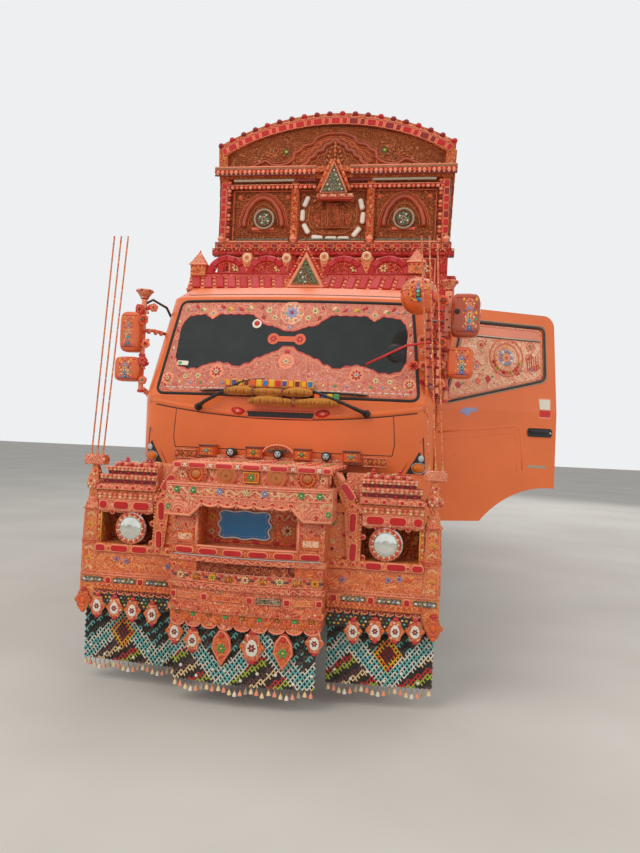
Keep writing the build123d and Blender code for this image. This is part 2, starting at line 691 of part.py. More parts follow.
def bumper_posts():
    """A tapering square tower at each end with a bulb, a cap and three whip rods."""
    x1 = bumper_half_width
    x0 = x1 - post_width + seat_gap
    mid_x, mid_y = (x0 + x1) / 2, wing_front_y + post_width / 2
    # Height and half width of each level of the tower.
    levels = [(bumper_foot_z, 52), (900, 50), (1120, 44), (1180, 30), (1240, 28), (1262, 40), (1300, 36),
              (post_top_z, 14)]
    sections = [Pos(mid_x, mid_y, z) * Rectangle(2 * h, 2 * h) for z, h in levels]
    tower = loft(sections, ruled=True)
    cap = slab(mid_x - 62, mid_x + 66, mid_y - 34, mid_y + 34, post_top_z - 6, post_top_z + 56)
    rods = [rod(rod_radius, (mid_x + dx, mid_y, post_top_z + 50), (mid_x + dx - 95 + 0.2 * dx, mid_y, rod_top_z))
            for dx in (-40, 0, 40)]
    return both_sides(fused([tower, cap, *rods]))


def headlamps():
    """A round lamp bowl in each alcove on a short foot, with a bright rim and a bulged lens."""
    bowl = Pos(lamp_x, 0, lamp_z) * (Rot(90, 0, 0) * loft(
        [Pos(0, 0, -wing_front_y - 10) * Circle(lamp_radius), Pos(0, 0, -wing_front_y - 80) * Circle(lamp_radius * 0.86),
         Pos(0, 0, -wing_front_y - 150) * Circle(lamp_radius * 0.45)], ruled=True))
    lens = Pos(lamp_x, wing_front_y + 10, lamp_z) * (Rot(90, 0, 0) * Cylinder(
        lamp_radius * 0.84, 16, align=(Align.CENTER, Align.CENTER, Align.MIN)))
    foot = rod(16, (lamp_x, wing_front_y + 90, sill_z + 5), (lamp_x, wing_front_y + 90, lamp_z))
    return both_sides(fused([bowl, lens, foot]))


def bumper_canopy():
    """The hemmed hood over the recess, and the shelf with its row of discs that runs back to the cab."""
    t = panel_thickness
    w = bulge_half_width
    hood = raised(bulge_plan(-45), recess_head_z - 60, canopy_top_z) - raised(bulge_plan(-20), recess_head_z - 61,
                                                                             canopy_top_z - 59.7)
    hood = hood - slab(-700, 700, wing_front_y - 20, 0, 1000, 1400)
    hem = [(-w - 60, recess_head_z - 61), (-340, recess_head_z - 61), (-300, recess_head_z - 20),
           *scallops(270, 5, recess_head_z + 28, 24), (300, recess_head_z - 20), (340, recess_head_z - 61),
           (w + 60, recess_head_z - 61), (w + 60, recess_head_z - 80), (-w - 60, recess_head_z - 80)]
    hood = hood - along(hem, -1000, -500)
    base = slab(-w, w, wing_front_y - 60, wing_rear_y, canopy_top_z - 60 + seat_gap, canopy_top_z)
    deck = slab(-w - 30, w + 30, bulge_side_y + 10, -20, shelf_top_z - t, shelf_top_z)
    riser = slab(-w, w, bulge_side_y + 30, bulge_side_y + 30 + t, canopy_top_z - 1, shelf_top_z)
    cheeks = [slab(s * w, s * (w - t), bulge_side_y + 40, wing_rear_y, canopy_top_z - 1, shelf_top_z) for s in (-1, 1)]
    discs = [Pos(s * x, bulge_side_y + 26, canopy_top_z + 48) * (Rot(90, 0, 0) * Cylinder(66, 24))
             for s in (-1, 1) for x in (155.0, 345.0)]
    return fused([hood, base, deck, riser, *cheeks, *discs])


def number_panel():
    """The blank, wavy-edged number panel on the back of the recess."""
    back = bulge_front_y + recess_depth + 50 - seat_gap
    rx, rz, lobes = 165.0, 88.0, 8
    points = []
    for n in range(4 * lobes):
        a = 2 * math.pi * n / (4 * lobes)
        wave = 1 + 0.06 * math.cos(lobes * a)
        squash = 1 / max(abs(math.cos(a)), abs(math.sin(a)), 0.8)
        points.append((rx * wave * squash * math.cos(a) - 55, 1070 + rz * wave * squash * math.sin(a)))
    return along(points, back - 8, back)


# Runs of the chain curtain from above: start x, start y, end x, end y.
skirt_runs = [
    (-1125.0, wing_front_y + 60, -480.0, wing_front_y + 12),
    (-436.0, bulge_side_y + 24, -154.0, bulge_front_y + 30.8),
    (-150.0, bulge_front_y + 31.2, 150.0, bulge_front_y + 31.2),
    (154.0, bulge_front_y + 30.8, 436.0, bulge_side_y + 24),
    (480.0, wing_front_y + 12, 1125.0, wing_front_y + 60),
]


def skirt_panel(x0, y0, x1, y1):
    """One flat run of the chain curtain: a lattice of diamonds under a solid head band, with a toothed foot."""
    length = math.hypot(x1 - x0, y1 - y0)
    head, foot = bumper_foot_z - seat_gap, skirt_foot_z
    columns = max(2, round(length / 95))
    pitch = length / columns
    rows = 4
    row_height = (head - 40 - foot - 30) / rows
    teeth = [(length - pitch * (n / 2), foot + (30 if n % 2 == 0 else 0)) for n in range(2 * columns + 1)]
    outline = make_face(Polyline((0, head), (length, head), *teeth, close=True))
    bar = 13.0
    holes = []
    for r in range(rows):
        z = foot + 30 + row_height * (r + 0.5)
        shift = 0.5 if r % 2 == 0 else 0.0
        for c in range(columns + (0 if shift else -1)):
            x = pitch * (c + 0.5 if shift else c + 1)
            a, b = pitch / 2 - bar, row_height - bar * 1.2
            holes.append(Pos(x, z) * make_face(Polyline((a, 0), (0, b), (-a, 0), (0, -b), close=True)))
    lattice = outline - holes
    plane = Plane(origin=(x0, y0, 0), x_dir=(x1 - x0, y1 - y0, 0), z_dir=(y1 - y0, x0 - x1, 0))
    return extrude(plane * lattice, amount=-skirt_thickness)


def chain_skirt():
    """The chain curtain in flat runs, hung from the bumper's hem, with a medallion at each hanging point."""
    return Compound(children=[s for run in skirt_runs for s in skirt_panel(*run).solids()])


# Lamps, mirrors and wipers.

def mirror_set(side):
    """A fluted pole on two brackets from the cab's corner, with its mirror heads."""
    sign = side_sign[side]
    pole_x = sign * (cab_half_width + 62)
    pole_y = 200.0
    top = 2790.0 if side == "left" else 2700.0
    pole = rod(22, (pole_x, pole_y, 1920), (pole_x, pole_y, top - 60))
    capital = loft([Pos(pole_x, pole_y, top - 70) * Rectangle(46, 46), Pos(pole_x, pole_y, top) * Rectangle(112, 90)],
                   ruled=True)
    body = cab_outer()
    # The brackets end on the cab's side, ahead of the door's edge.
    brackets = [rod(13, (pole_x, pole_y, 1960), (sign * (cab_half_width - 60), 310, 1900)),
                rod(13, (pole_x, pole_y, 2400), (sign * (cab_half_width - 100), 465, 2400))]
    brackets = [b - body - Pos(sign * seat_gap, 0, 0) * body for b in brackets]
    pieces = [pole, capital, *brackets]
    # Centre height, centre distance outboard of the pole, width, height and depth of each head.
    heads = {"left": [(2555, 128, 215, 320, 130), (2215, 110, 190, 235, 110)],
             "right": [(2385, 78, 165, 320, 130), (2085, 100, 215, 215, 110)]}[side]
    for z, out, width, height, depth in heads:
        x = pole_x + sign * out
        head = Pos(x, pole_y - 20, z) * Box(width, depth, height)
        head = fillet(head.edges(), 38)
        pieces += [head, rod(11, (pole_x, pole_y, z), (x, pole_y, z))]
    if side == "left":
        ball = Pos(pole_x - 175, pole_y - 250, 2665) * Sphere(125)
        pieces += [ball, rod(12, (pole_x, pole_y, 2665), (pole_x - 175, pole_y - 250, 2665))]
    return fused(pieces)


def wiper(sign):
    """One wiper: spindle boss, arm and blade lying along the foot of the screen."""
    x = sign * 626.0
    boss = rod(26, (x, -14, 1832), (x, 30, 1832))
    arm = rod(9, (x, -12, 1832), (x - sign * 330, -24, 1975))
    blade = slab(x - sign * 200, x - sign * 470, -34, -16, 1962, 1990)
    return fused([boss, arm, blade])


def wipers():
    """The pair of wipers, which park towards each other, seated on the cab's face."""
    face = Pos(0, -seat_gap, 0) * cab_outer()
    return Compound(children=[s for sign in (-1, 1) for s in (wiper(sign) - face).solids()])


def grille():
    """The slatted grille between the belt panel and the bumper's shelf, with its lamp and box row."""
    pieces = []
    for n in range(4):
        z = cab_base_z + 80 + 75 * n
        pieces.append(slab(-760, 760, -20, 14, z, z + 34))
    uprights = [slab(x - 15, x + 15, -16, 120, cab_base_z + 60, cab_base_z + 350) for x in (-720.0, -240.0, 240.0, 720.0)]
    pieces += uprights
    face = Pos(0, -seat_gap, 0) * cab_outer()
    # Little lamp boxes over the shelf, with a round lamp between each pair.
    boxes = [slab(x - 48, x + 48, -60, 60, shelf_top_z + 18, shelf_top_z + 98) for x in (-450.0, -283.0, 0.0, 283.0, 450.0)]
    lamps = [Pos(x, -10, shelf_top_z + 58) * (Rot(90, 0, 0) * Cylinder(32, 110)) for x in (-141.0, 141.0)]
    rail = slab(-600, 600, -24, 60, shelf_top_z + seat_gap, shelf_top_z + 32)
    return [p - face for p in pieces], [p - face for p in (rail, *boxes, *lamps)]


# Roof parapet.

def parapet():
    """The balcony on the cab's roof: a sloping tile course, an arcade of round arches and a kiosk at each end."""
    w, y0 = parapet_half_width, parapet_front_y
    y1 = y0 + parapet_depth
    foot = parapet_foot_z
    course = across([(y0 - 60, foot + 6), (y0 + 40, foot + 160), (y1, foot + 160), (y1, foot), (y0 - 60, foot)], w)
    arcade_top = parapet_top_z
    arcade = slab(-(w - 120), w - 120, y0 + 30, y0 + 70, foot + 150, arcade_top)
    arch_width = 118.0
    openings = []
    for x in (-700.0, -465.0, 312.0 - 80, 540.0 - 75, 700.0):
        openings.append(slab(x - arch_width / 2, x + arch_width / 2, y0, y0 + 100, foot + 165, foot + 210))
        openings.append(Pos(x, y0 + 50, foot + 210) * (Rot(90, 0, 0) * Cylinder(arch_width / 2, 120)))
    pediment = along([(-150, foot + 40), (150, foot + 40), (0, arcade_top + 40)], y0 - 75, y0 + 40)
    kiosks = []
    for s in (-1, 1):
        x = s * (w - 60)
        kiosks.append(slab(x - 55, x + 55, y0 - 20, y0 + 90, foot + 150, foot + 270))
        kiosks.append(loft([Pos(x, y0 + 35, foot + 270) * Rectangle(134, 134), Pos(x, y0 + 35, foot + 375) * Rectangle(16, 16)],
                           ruled=True))
    return fused([course, arcade - fused(openings), pediment, *kiosks])


# Cargo body.

def body_floor():
    """Bearers on the rails, cross members on the bearers and the planked deck."""
    base = frame_top
    bearers = [slab(s * rail_centre_x - 40, s * rail_centre_x + 40, body_front_y, body_rear_y, base, base + bearer_height)
               for s in (-1, 1)]
    count = 11
    pitch = (body_rear_y - body_front_y - 80) / (count - 1)
    crosses = [slab(-(body_half_width - body_wall), body_half_width - body_wall, body_front_y + pitch * n,
                    body_front_y + pitch * n + 80, base + bearer_height, base + bearer_height + cross_height)
               for n in range(count)]
    deck = slab(-(body_half_width - body_wall), body_half_width - body_wall, body_front_y, body_rear_y,
                deck_z - deck_thickness, deck_z)
    return fused([*bearers, *crosses, deck])


def body_side():
    """The left side: a boarded wall with outer ribs, three rails and a bowed foot board."""
    x0, x1 = body_half_width - body_wall + seat_gap, body_half_width
    foot = deck_z - deck_thickness - cross_height
    y0, y1 = body_front_y, body_rear_y
    wall = slab(x0, x1 - 15, y0, y1, foot, side_top_z)
    pitch = (y1 - y0 - rib_width) / (rib_count - 1)
    ribs = [slab(x1 - 16, x1 + rib_depth - 15, y0 + pitch * n, y0 + pitch * n + rib_width, foot, side_top_z)
            for n in range(rib_count)]
    # Foot and head of each lengthwise rail.
    rails = [slab(x1 - 16, x1 + rib_depth - 5, y0, y1, z0, z1)
             for z0, z1 in ((foot, foot + 110), (foot + 900, foot + 970), (side_top_z - 90, side_top_z))]
    return fused([wall, *ribs, *rails])


def body_front():
    """The front wall behind the cab, with uprights and boards up to the crown's foot."""
    w = body_half_width - body_wall
    foot = deck_z - deck_thickness - cross_height
    wall = slab(-w, w, body_front_y - body_wall - seat_gap, body_front_y - seat_gap, foot, crown_foot_z)
    posts = [slab(x - 45, x + 45, body_front_y - body_wall - 30, body_front_y - body_wall, foot, crown_foot_z)
             for x in (-w + 45, -400.0, 400.0, w - 45)]
    ledge = slab(-(w + cornice_overhang), w + cornice_overhang, crown_front_y - 60, body_front_y - seat_gap,
                 crown_foot_z - 70, crown_foot_z)
    return fused([wall, *posts, ledge])


def crown_outline(inset=0.0):
    """The crown from the front, as a face of (x, z): straight sides that flare and a round-arched top."""
    w = crown_half_width - inset
    flare = 40.0
    foot, shoulder, apex = crown_foot_z + inset, crown_shoulder_z - inset, crown_apex_z - inset
    edges = [Polyline((-(w + flare), shoulder), (-w, foot), (w, foot), (w + flare, shoulder)),
             ThreePointArc((w + flare, shoulder), (0, apex), (-(w + flare), shoulder))]
    return make_face(edges)


def crown():
    """The crown: an open-backed hollow board with side returns, an arched roof and three arched panels."""
    t = board_thickness
    foot_gap = seat_gap
    outer = extrude(Pos(0, crown_front_y + crown_depth, foot_gap) * (Plane.XZ * crown_outline()), amount=crown_depth)
    hollow = extrude(Pos(0, crown_front_y + crown_depth + 1, foot_gap) * (Plane.XZ * crown_outline(t)),
                     amount=crown_depth + 1 - t)
    body = outer - hollow
    # Half widths of the side and middle panels, and their centres.
    panels = [(-725.0, 300.0), (0.0, 340.0), (725.0, 300.0)]
    for x, half in panels:
        sink = slab(x - half, x + half, crown_front_y - 1, crown_front_y + 14, crown_foot_z + 95, cornice_z - 190)
        body = body - sink
    rings = [Pos(x, crown_front_y - 4, 3875) * (Rot(90, 0, 0) * Cylinder(r, 44)) for x, r in
             ((-725.0, 105.0), (725.0, 105.0))]
    return fused([body, *rings])


def crown_trim():
    """What stands proud of the crown: cornice, columns, the arched rib and the two pediments."""
    y1 = crown_front_y - seat_gap
    w = crown_half_width
    cornice = slab(-(w + cornice_overhang), w + cornice_overhang, y1 - 90, y1, cornice_z - 60, cornice_z)
    under = slab(-(w + 20), w + 20, y1 - 50, y1, cornice_z - 110, cornice_z - 60)
    columns = [slab(x - 38, x + 38, y1 - 40, y1, crown_foot_z + 60, cornice_z - 100)
               for x in (-w + 38, -390.0, 390.0, w - 38)]
    sill = slab(-(w + 30), w + 30, y1 - 70, y1, crown_foot_z + seat_gap, crown_foot_z + 62)
    arch_outer, arch_inner = crown_outline(0), crown_outline(95)
    rib = extrude(Pos(0, y1, 0) * (Plane.XZ * (arch_outer - arch_inner)), amount=46)
    rib = rib & slab(-1400, 1400, y1 - 50, y1 + 1, cornice_z - 2, 5200)
    pediment = along([(-150, cornice_z - 230), (150, cornice_z - 230), (0, cornice_z + 60)], y1 - 120, y1)
    bracket = slab(-150, 150, y1 - 100, y1, cornice_z - 270, cornice_z - 229)
    return fused([cornice, under, *columns, sill, rib, pediment, bracket])


def tailgate():
    """The drop gate: a boarded leaf with three ribs, hinged along the deck's rear edge."""
    w = body_half_width - body_wall - 8
    y0 = body_rear_y + 8
    z0 = deck_z + 14
    leaf = slab(-w, w, y0, y0 + 40, z0, z0 + tailgate_height)
    ribs = [slab(x - 35, x + 35, y0 + 39, y0 + 70, z0 + 60, z0 + tailgate_height - 20) for x in (-w + 60, 0.0, w - 60)]
    top = slab(-w, w, y0, y0 + 60, z0 + tailgate_height - 70, z0 + tailgate_height)
    barrels = [rod(20, (x - 60, gate_hinge_y, gate_hinge_z), (x + 60, gate_hinge_y, gate_hinge_z))
               + slab(x - 60, x + 60, gate_hinge_y - 12, gate_hinge_y + 20, gate_hinge_z, z0 + 40)
               for x in gate_hinge_x]
    bores = [rod(10 + pin_gap, (x - 90, gate_hinge_y, gate_hinge_z), (x + 90, gate_hinge_y, gate_hinge_z))
             for x in gate_hinge_x]
    return fused([leaf, *ribs, top, *barrels]) - fused(bores)


gate_hinge_x = (-800.0, 0.0, 800.0)
gate_hinge_y = body_rear_y + 42.0
gate_hinge_z = deck_z - 30.0


def rear_frame():
    """The rear posts, the header between them, the foot beam and the tailgate's hinge pins."""
    w0, w1 = body_half_width - body_wall, body_half_width + 20
    y0, y1 = body_rear_y + seat_gap, body_rear_y + 90
    posts = [slab(s * w0, s * w1, y0, y1, deck_z - 120, side_top_z + 120) for s in (-1, 1)]
    header = slab(-w1, w1, y0, y1, side_top_z - 60, side_top_z + 120)
    beam = slab(-w1, w1, y0, y0 + 16, deck_z - 120, deck_z)
    skirt = slab(-w1, w1, y0, y1, deck_z - 180, deck_z - 100)
    ears = []
    for x in gate_hinge_x:
        for s in (-1, 1):
            ears.append(slab(x + s * 64, x + s * 78, y0 + 10, gate_hinge_y + 22, gate_hinge_z - 22, gate_hinge_z + 22))
        ears.append(rod(10, (x - 78, gate_hinge_y, gate_hinge_z), (x + 78, gate_hinge_y, gate_hinge_z)))
    crest = along([(-600, side_top_z + 119), (600, side_top_z + 119), (0, side_top_z + 380)], y0, y0 + 50)
    return fused([*posts, header, beam, skirt, *ears, crest])


def rear_bumper():
    """The underrun beam on its two drop arms, with the bored lug for a towing pin."""
    y0, y1 = frame_rear_y, frame_rear_y + 70
    foot = frame_top - rail_height
    arms = [slab(s * rail_centre_x - 30, s * rail_centre_x + 30, y0 + seat_gap, y0 + 60, 520, frame_top - 20)
            for s in (-1, 1)]
    beam = slab(-1130, 1130, y0 + 40, y1 + 60, 520, 640)
    plate = slab(-rail_centre_x, rail_centre_x, y0 + seat_gap, y0 + 30, foot + 40, frame_top - 60)
    jaws = [slab(-60, 60, y0 + 20, y0 + 200, z, z + 26) for z in (tow_z - 60, tow_z + 34)]
    bore = rod(tow_radius, (0, tow_y, tow_z - 80), (0, tow_y, tow_z + 80))
    return fused([*arms, beam, plate, *jaws]) - bore


tow_y = frame_rear_y + 155.0
tow_z = 850.0
tow_radius = 20.0


def tail_lamps():
    """A lamp box at each end of the underrun beam."""
    y0 = frame_rear_y + 130 + seat_gap
    return both_sides(slab(860, 1120, y0, y0 + 50, 530, 630))


def side_skirts():
    """The painted side boxes between the wheels, hung from the cross members on two hangers."""
    x1 = body_half_width - 30
    board = slab(x1 - 40, x1, 4420, 5560, 520, 980)
    top = slab(x1 - 40, x1 - 12, 4420, 5560, 979, frame_top + bearer_height - seat_gap)
    windows = [slab(x1 - 41, x1 + 1, y, y + 130, 1000, 1090) for y in (4480.0, 4740.0, 5000.0, 5260.0)]
    return both_sides(fused([board, top]) - fused(windows))


# All pieces by node name.

panels = cab_panels()
grille_bars, lamp_row = grille()
spring_front = leaf_spring(front_axle_y, front_spring_z, 620)
spring_rear = leaf_spring(rear_axle_y, rear_spring_z, 700)
wing = bumper_wing()
side = body_side()

nodes = {
    "chassis_frame": chassis_frame(),
    "front_axle": front_axle(),
    "rear_axle": rear_axle(),
    "front_springs": spring_front,
    "rear_springs": spring_rear,
    "engine_block": engine_block(),
    "propeller_shaft": propeller_shaft(),
    "fuel_tank": fuel_tank(),
    "battery_box": battery_box(),
    "cab_floor": cab_floor(),
    "cab_front": panels["front"],
    "cab_roof": panels["roof"],
    "cab_back": panels["back"],
    "cab_quarters": panels["quarters"],
    "windscreen": windscreen(),
    "dashboard": dashboard(),
    "seats": Compound(children=[s for x in (driver_x, -driver_x) for s in seat(x).solids()]),
    "steering_wheel": steering_wheel(),
    "door_left": opened(panels["doors"]["left"], 1, door_open_angle),
    "door_right": panels["doors"]["right"],
    "door_glass_left": opened(door_glass(1), 1, door_open_angle),
    "door_glass_right": door_glass(-1),
    "cab_steps": cab_steps(),
    "grille": fused(grille_bars),
    "lamp_row": fused(lamp_row),
    "bumper_beam": bumper_beam(),
    "bumper_centre": bumper_centre(),
    "bumper_wings": both_sides(wing),
    "bumper_canopy": bumper_canopy(),
    "wing_tiers": wing_tiers(),
    "bumper_posts": bumper_posts(),
    "headlamps": headlamps(),
    "number_panel": number_panel(),
    "chain_skirt": chain_skirt(),
    "roof_parapet": parapet(),
    "mirrors_left": mirror_set("left"),
    "mirrors_right": mirror_set("right"),
    "wipers": wipers(),
    "body_floor": body_floor(),
    "body_side_left": side,
    "body_side_right": mirror(side, about=Plane.YZ),
    "body_front": body_front(),
    "crown": crown(),
    "crown_trim": crown_trim(),
    "rear_frame": rear_frame(),
    "tailgate": tailgate(),
    "rear_bumper": rear_bumper(),
    "tail_lamps": tail_lamps(),
    "side_skirts": side_skirts(),
    "rear_mudguards": rear_guards(),
}
for side_name, sign in side_sign.items():
    front_x, rear_x = sign * front_track / 2, sign * rear_track / 2
    nodes[f"knuckle_{side_name}"] = knuckle(side_name)
    nodes[f"tyre_front_{side_name}"] = tyre(front_x, front_axle_y)
    nodes[f"rim_front_{side_name}"] = rim(front_x, front_axle_y, sign)
    twins = [tyre(rear_x + s * twin_spacing / 2, rear_axle_y, False) for s in (-1, 1)]
    nodes[f"tyres_rear_{side_name}"] = Compound(children=[s for t in twins for s in t.solids()])
    nodes[f"rim_rear_{side_name}"] = rim(rear_x, rear_axle_y, sign, True)

# The origin is the middle of the base of the whole box.
boxes = [shape.bounding_box() for shape in nodes.values()]
centre_x = (min(b.min.X for b in boxes) + max(b.max.X for b in boxes)) / 2
centre_y = (min(b.min.Y for b in boxes) + max(b.max.Y for b in boxes)) / 2

os.makedirs("parts", exist_ok=True)
for name, shape in nodes.items():
    export_step(Pos(-centre_x, -centre_y, 0) * shape, f"parts/{name}.step")
print(f"Origin at {centre_x:.6f} {centre_y:.6f} with {len(nodes)} nodes")
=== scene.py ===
import math
from itertools import product

import bpy
from mathutils import Matrix, Vector


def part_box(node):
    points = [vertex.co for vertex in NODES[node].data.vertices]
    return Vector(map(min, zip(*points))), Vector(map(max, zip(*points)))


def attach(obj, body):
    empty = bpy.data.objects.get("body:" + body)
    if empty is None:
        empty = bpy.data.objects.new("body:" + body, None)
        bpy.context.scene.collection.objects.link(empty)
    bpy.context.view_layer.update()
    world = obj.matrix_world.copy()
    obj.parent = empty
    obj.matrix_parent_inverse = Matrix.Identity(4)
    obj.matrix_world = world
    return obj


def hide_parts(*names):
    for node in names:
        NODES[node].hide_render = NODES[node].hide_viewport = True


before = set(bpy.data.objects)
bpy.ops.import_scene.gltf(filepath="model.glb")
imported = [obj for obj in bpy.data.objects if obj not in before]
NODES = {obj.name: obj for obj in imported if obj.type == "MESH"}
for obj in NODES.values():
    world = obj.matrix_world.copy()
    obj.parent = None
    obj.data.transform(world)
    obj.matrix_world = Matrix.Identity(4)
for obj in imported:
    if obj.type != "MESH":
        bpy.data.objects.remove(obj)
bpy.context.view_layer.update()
TAU = 2 * math.pi
PHOTO_HEIGHT = 853
CORNERS = ((-1, -1), (-1, 1), (1, -1), (1, 1))

# The truck's own coordinates: X to its left, Y from the cab's face to the tail, Z up, in metres.
BODY_START = 2.130
FRONT_AXLE, REAR_AXLE, WHEEL_HEIGHT = 1.350, 6.250, 0.520
deck_lo, deck_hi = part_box("body_floor")
SHIFT = Vector(((deck_lo.x + deck_hi.x) / 2, deck_lo.y - BODY_START, 0))


# Camera, as the photograph was taken.
def aim_camera(place, yaw, pitch, roll, focal):
    """A camera at a place in the truck's coordinates, turned by degrees; focal is in the photo's pixels."""
    yaw, pitch, roll = (math.radians(a) for a in (yaw, pitch, roll))
    ahead = Vector((-math.sin(yaw) * math.cos(pitch), math.cos(yaw) * math.cos(pitch), math.sin(pitch)))
    right = Vector((math.cos(yaw), math.sin(yaw), 0))
    up = right.cross(ahead)
    right, up = (right * math.cos(roll) + up * math.sin(roll), up * math.cos(roll) - right * math.sin(roll))
    data = bpy.data.cameras.new("camera")
    data.lens = focal * data.sensor_width / PHOTO_HEIGHT
    camera = bpy.data.objects.new("camera", data)
    camera.matrix_world = (Matrix.Translation(Vector(place) + SHIFT)
                           @ Matrix((right, up, -ahead)).transposed().to_4x4())
    bpy.context.scene.collection.objects.link(camera)
    bpy.context.scene.camera = camera


aim_camera((1.029, -4.856, 1.626), yaw=8.70, pitch=0.981, roll=2.449, focal=692.76)


# Materials.
def rgb(r, g, b):
    """An sRGB colour of 0 to 255 as linear values."""
    return tuple((c / 255 / 12.92 if c <= 10.3 else ((c / 255 + 0.055) / 1.055) ** 2.4)
                 for c in (r, g, b)) + (1,)


class Nodes:
    """A material's node tree, with short calls to add to it."""

    def __init__(self, name):
        self.material = bpy.data.materials.new(name)
        self.material.use_nodes = True
        self.tree = self.material.node_tree
        self.shader = self.tree.nodes["Principled BSDF"]
        self.place = self.add("ShaderNodeTexCoord").outputs["Object"]

    def add(self, kind, inputs=(), **settings):
        made = self.tree.nodes.new(kind)
        for key, value in settings.items():
            setattr(made, key, value)
        for key, value in dict(inputs).items():
            self.feed(made.inputs[key], value)
        return made

    def feed(self, socket, value):
        if isinstance(value, bpy.types.NodeSocket):
            self.tree.links.new(value, socket)
        else:
            socket.default_value = value

    def noise(self, scale, detail=3.0, distortion=0.0):
        return self.add("ShaderNodeTexNoise", {"Vector": self.place, "Scale": scale, "Detail": detail,
                                               "Distortion": distortion}).outputs["Fac"]

    def cells(self, scale, feature="F1", output="Distance", jitter=1.0):
        return self.add("ShaderNodeTexVoronoi", {"Vector": self.place, "Scale": scale, "Randomness": jitter},
                        feature=feature).outputs[output]

    def ramp(self, value, stops, mode="LINEAR"):
        made = self.add("ShaderNodeValToRGB", {"Fac": value})
        made.color_ramp.interpolation = mode
        while len(made.color_ramp.elements) < len(stops):
            made.color_ramp.elements.new(0.5)
        for element, (where, colour) in zip(made.color_ramp.elements, stops):
            element.position, element.color = where, colour
        return made.outputs["Color"]

    def steps(self, value, stops):
        grey = [(w, (c, c, c, 1)) for w, c in stops]
        return self.ramp(value, grey)

    def mix(self, share, a, b, blend="MIX"):
        made = self.add("ShaderNodeMix", data_type="RGBA", blend_type=blend)
        for index, value in ((0, share), (6, a), (7, b)):
            self.feed(made.inputs[index], value)
        return made.outputs[2]

    def maths(self, operation, a, b=0.0):
        made = self.add("ShaderNodeMath", operation=operation)
        self.feed(made.inputs[0], a)
        self.feed(made.inputs[1], b)
        return made.outputs[0]

    def swirls(self, scale, lines, distortion=1.5):
        """Flowing contour lines of a warped noise, from 0 to 1."""
        flow = self.maths("MULTIPLY", self.noise(scale, 0.6, distortion), lines)
        return self.maths("MULTIPLY", self.maths("ADD", self.maths("SINE", flow), 1.0), 0.5)

    def bump(self, height, strength, distance):
        made = self.add("ShaderNodeBump", {"Height": height, "Strength": strength, "Distance": distance})
        self.feed(self.shader.inputs["Normal"], made.outputs[0])

    def finish(self, colour, rough=0.4, metal=0.0, **more):
        self.feed(self.shader.inputs["Base Color"], colour)
        self.feed(self.shader.inputs["Roughness"], rough)
        self.feed(self.shader.inputs["Metallic"], metal)
        for key, value in more.items():
            self.feed(self.shader.inputs[key.replace("_", " ")], value)
        return self.material


DUST = rgb(186, 158, 130)


def shade(colour, factor):
    return tuple(min(1.0, c * factor) for c in colour[:3]) + (1,)


def dusty(n, colour, amount):
    """Road dust that gathers low down and on what faces up."""
    normal = n.add("ShaderNodeSeparateXYZ", {"Vector": n.add("ShaderNodeNewGeometry").outputs["Normal"]})
    height = n.add("ShaderNodeSeparateXYZ", {"Vector": n.place}).outputs["Z"]
    low = n.maths("MULTIPLY", n.steps(height, [(0.0, 1.0), (1.0, 0.25)]),
                  n.steps(n.noise(9.0), [(0.3, 0.2), (0.7, 1.0)]))
    up = n.steps(normal.outputs["Z"], [(0.35, 0.0), (1.0, 1.0)])
    share = n.maths("MULTIPLY", n.maths("ADD", low, up), amount)
    return n.mix(n.maths("MINIMUM", share, 0.75), colour, DUST)


def paint(name, colour, rough=0.34, metal=0.0, coat=0.2, dust=0.07, grain=0.10):
    """Sprayed paint: slight drifts of tone, fine orange peel, chips of darker undercoat and some dust."""
    n = Nodes(name)
    broad, fine = n.noise(2.3), n.noise(38.0, 4.0)
    tone = n.mix(n.steps(broad, [(0.3, 0.0), (0.7, 1.0)]), shade(colour, 1 - grain), shade(colour, 1 + grain))
    tone = n.mix(n.steps(fine, [(0.66, 0.0), (0.74, 0.3)]), tone, shade(colour, 0.6))
    n.bump(n.noise(160.0, 2.0), 0.06, 0.002)
    roughness = n.steps(fine, [(0.2, rough * 0.8), (0.8, min(1.0, rough * 1.5))])
    return n.finish(dusty(n, tone, dust), roughness, metal, Coat_Weight=coat, Coat_Roughness=0.15)


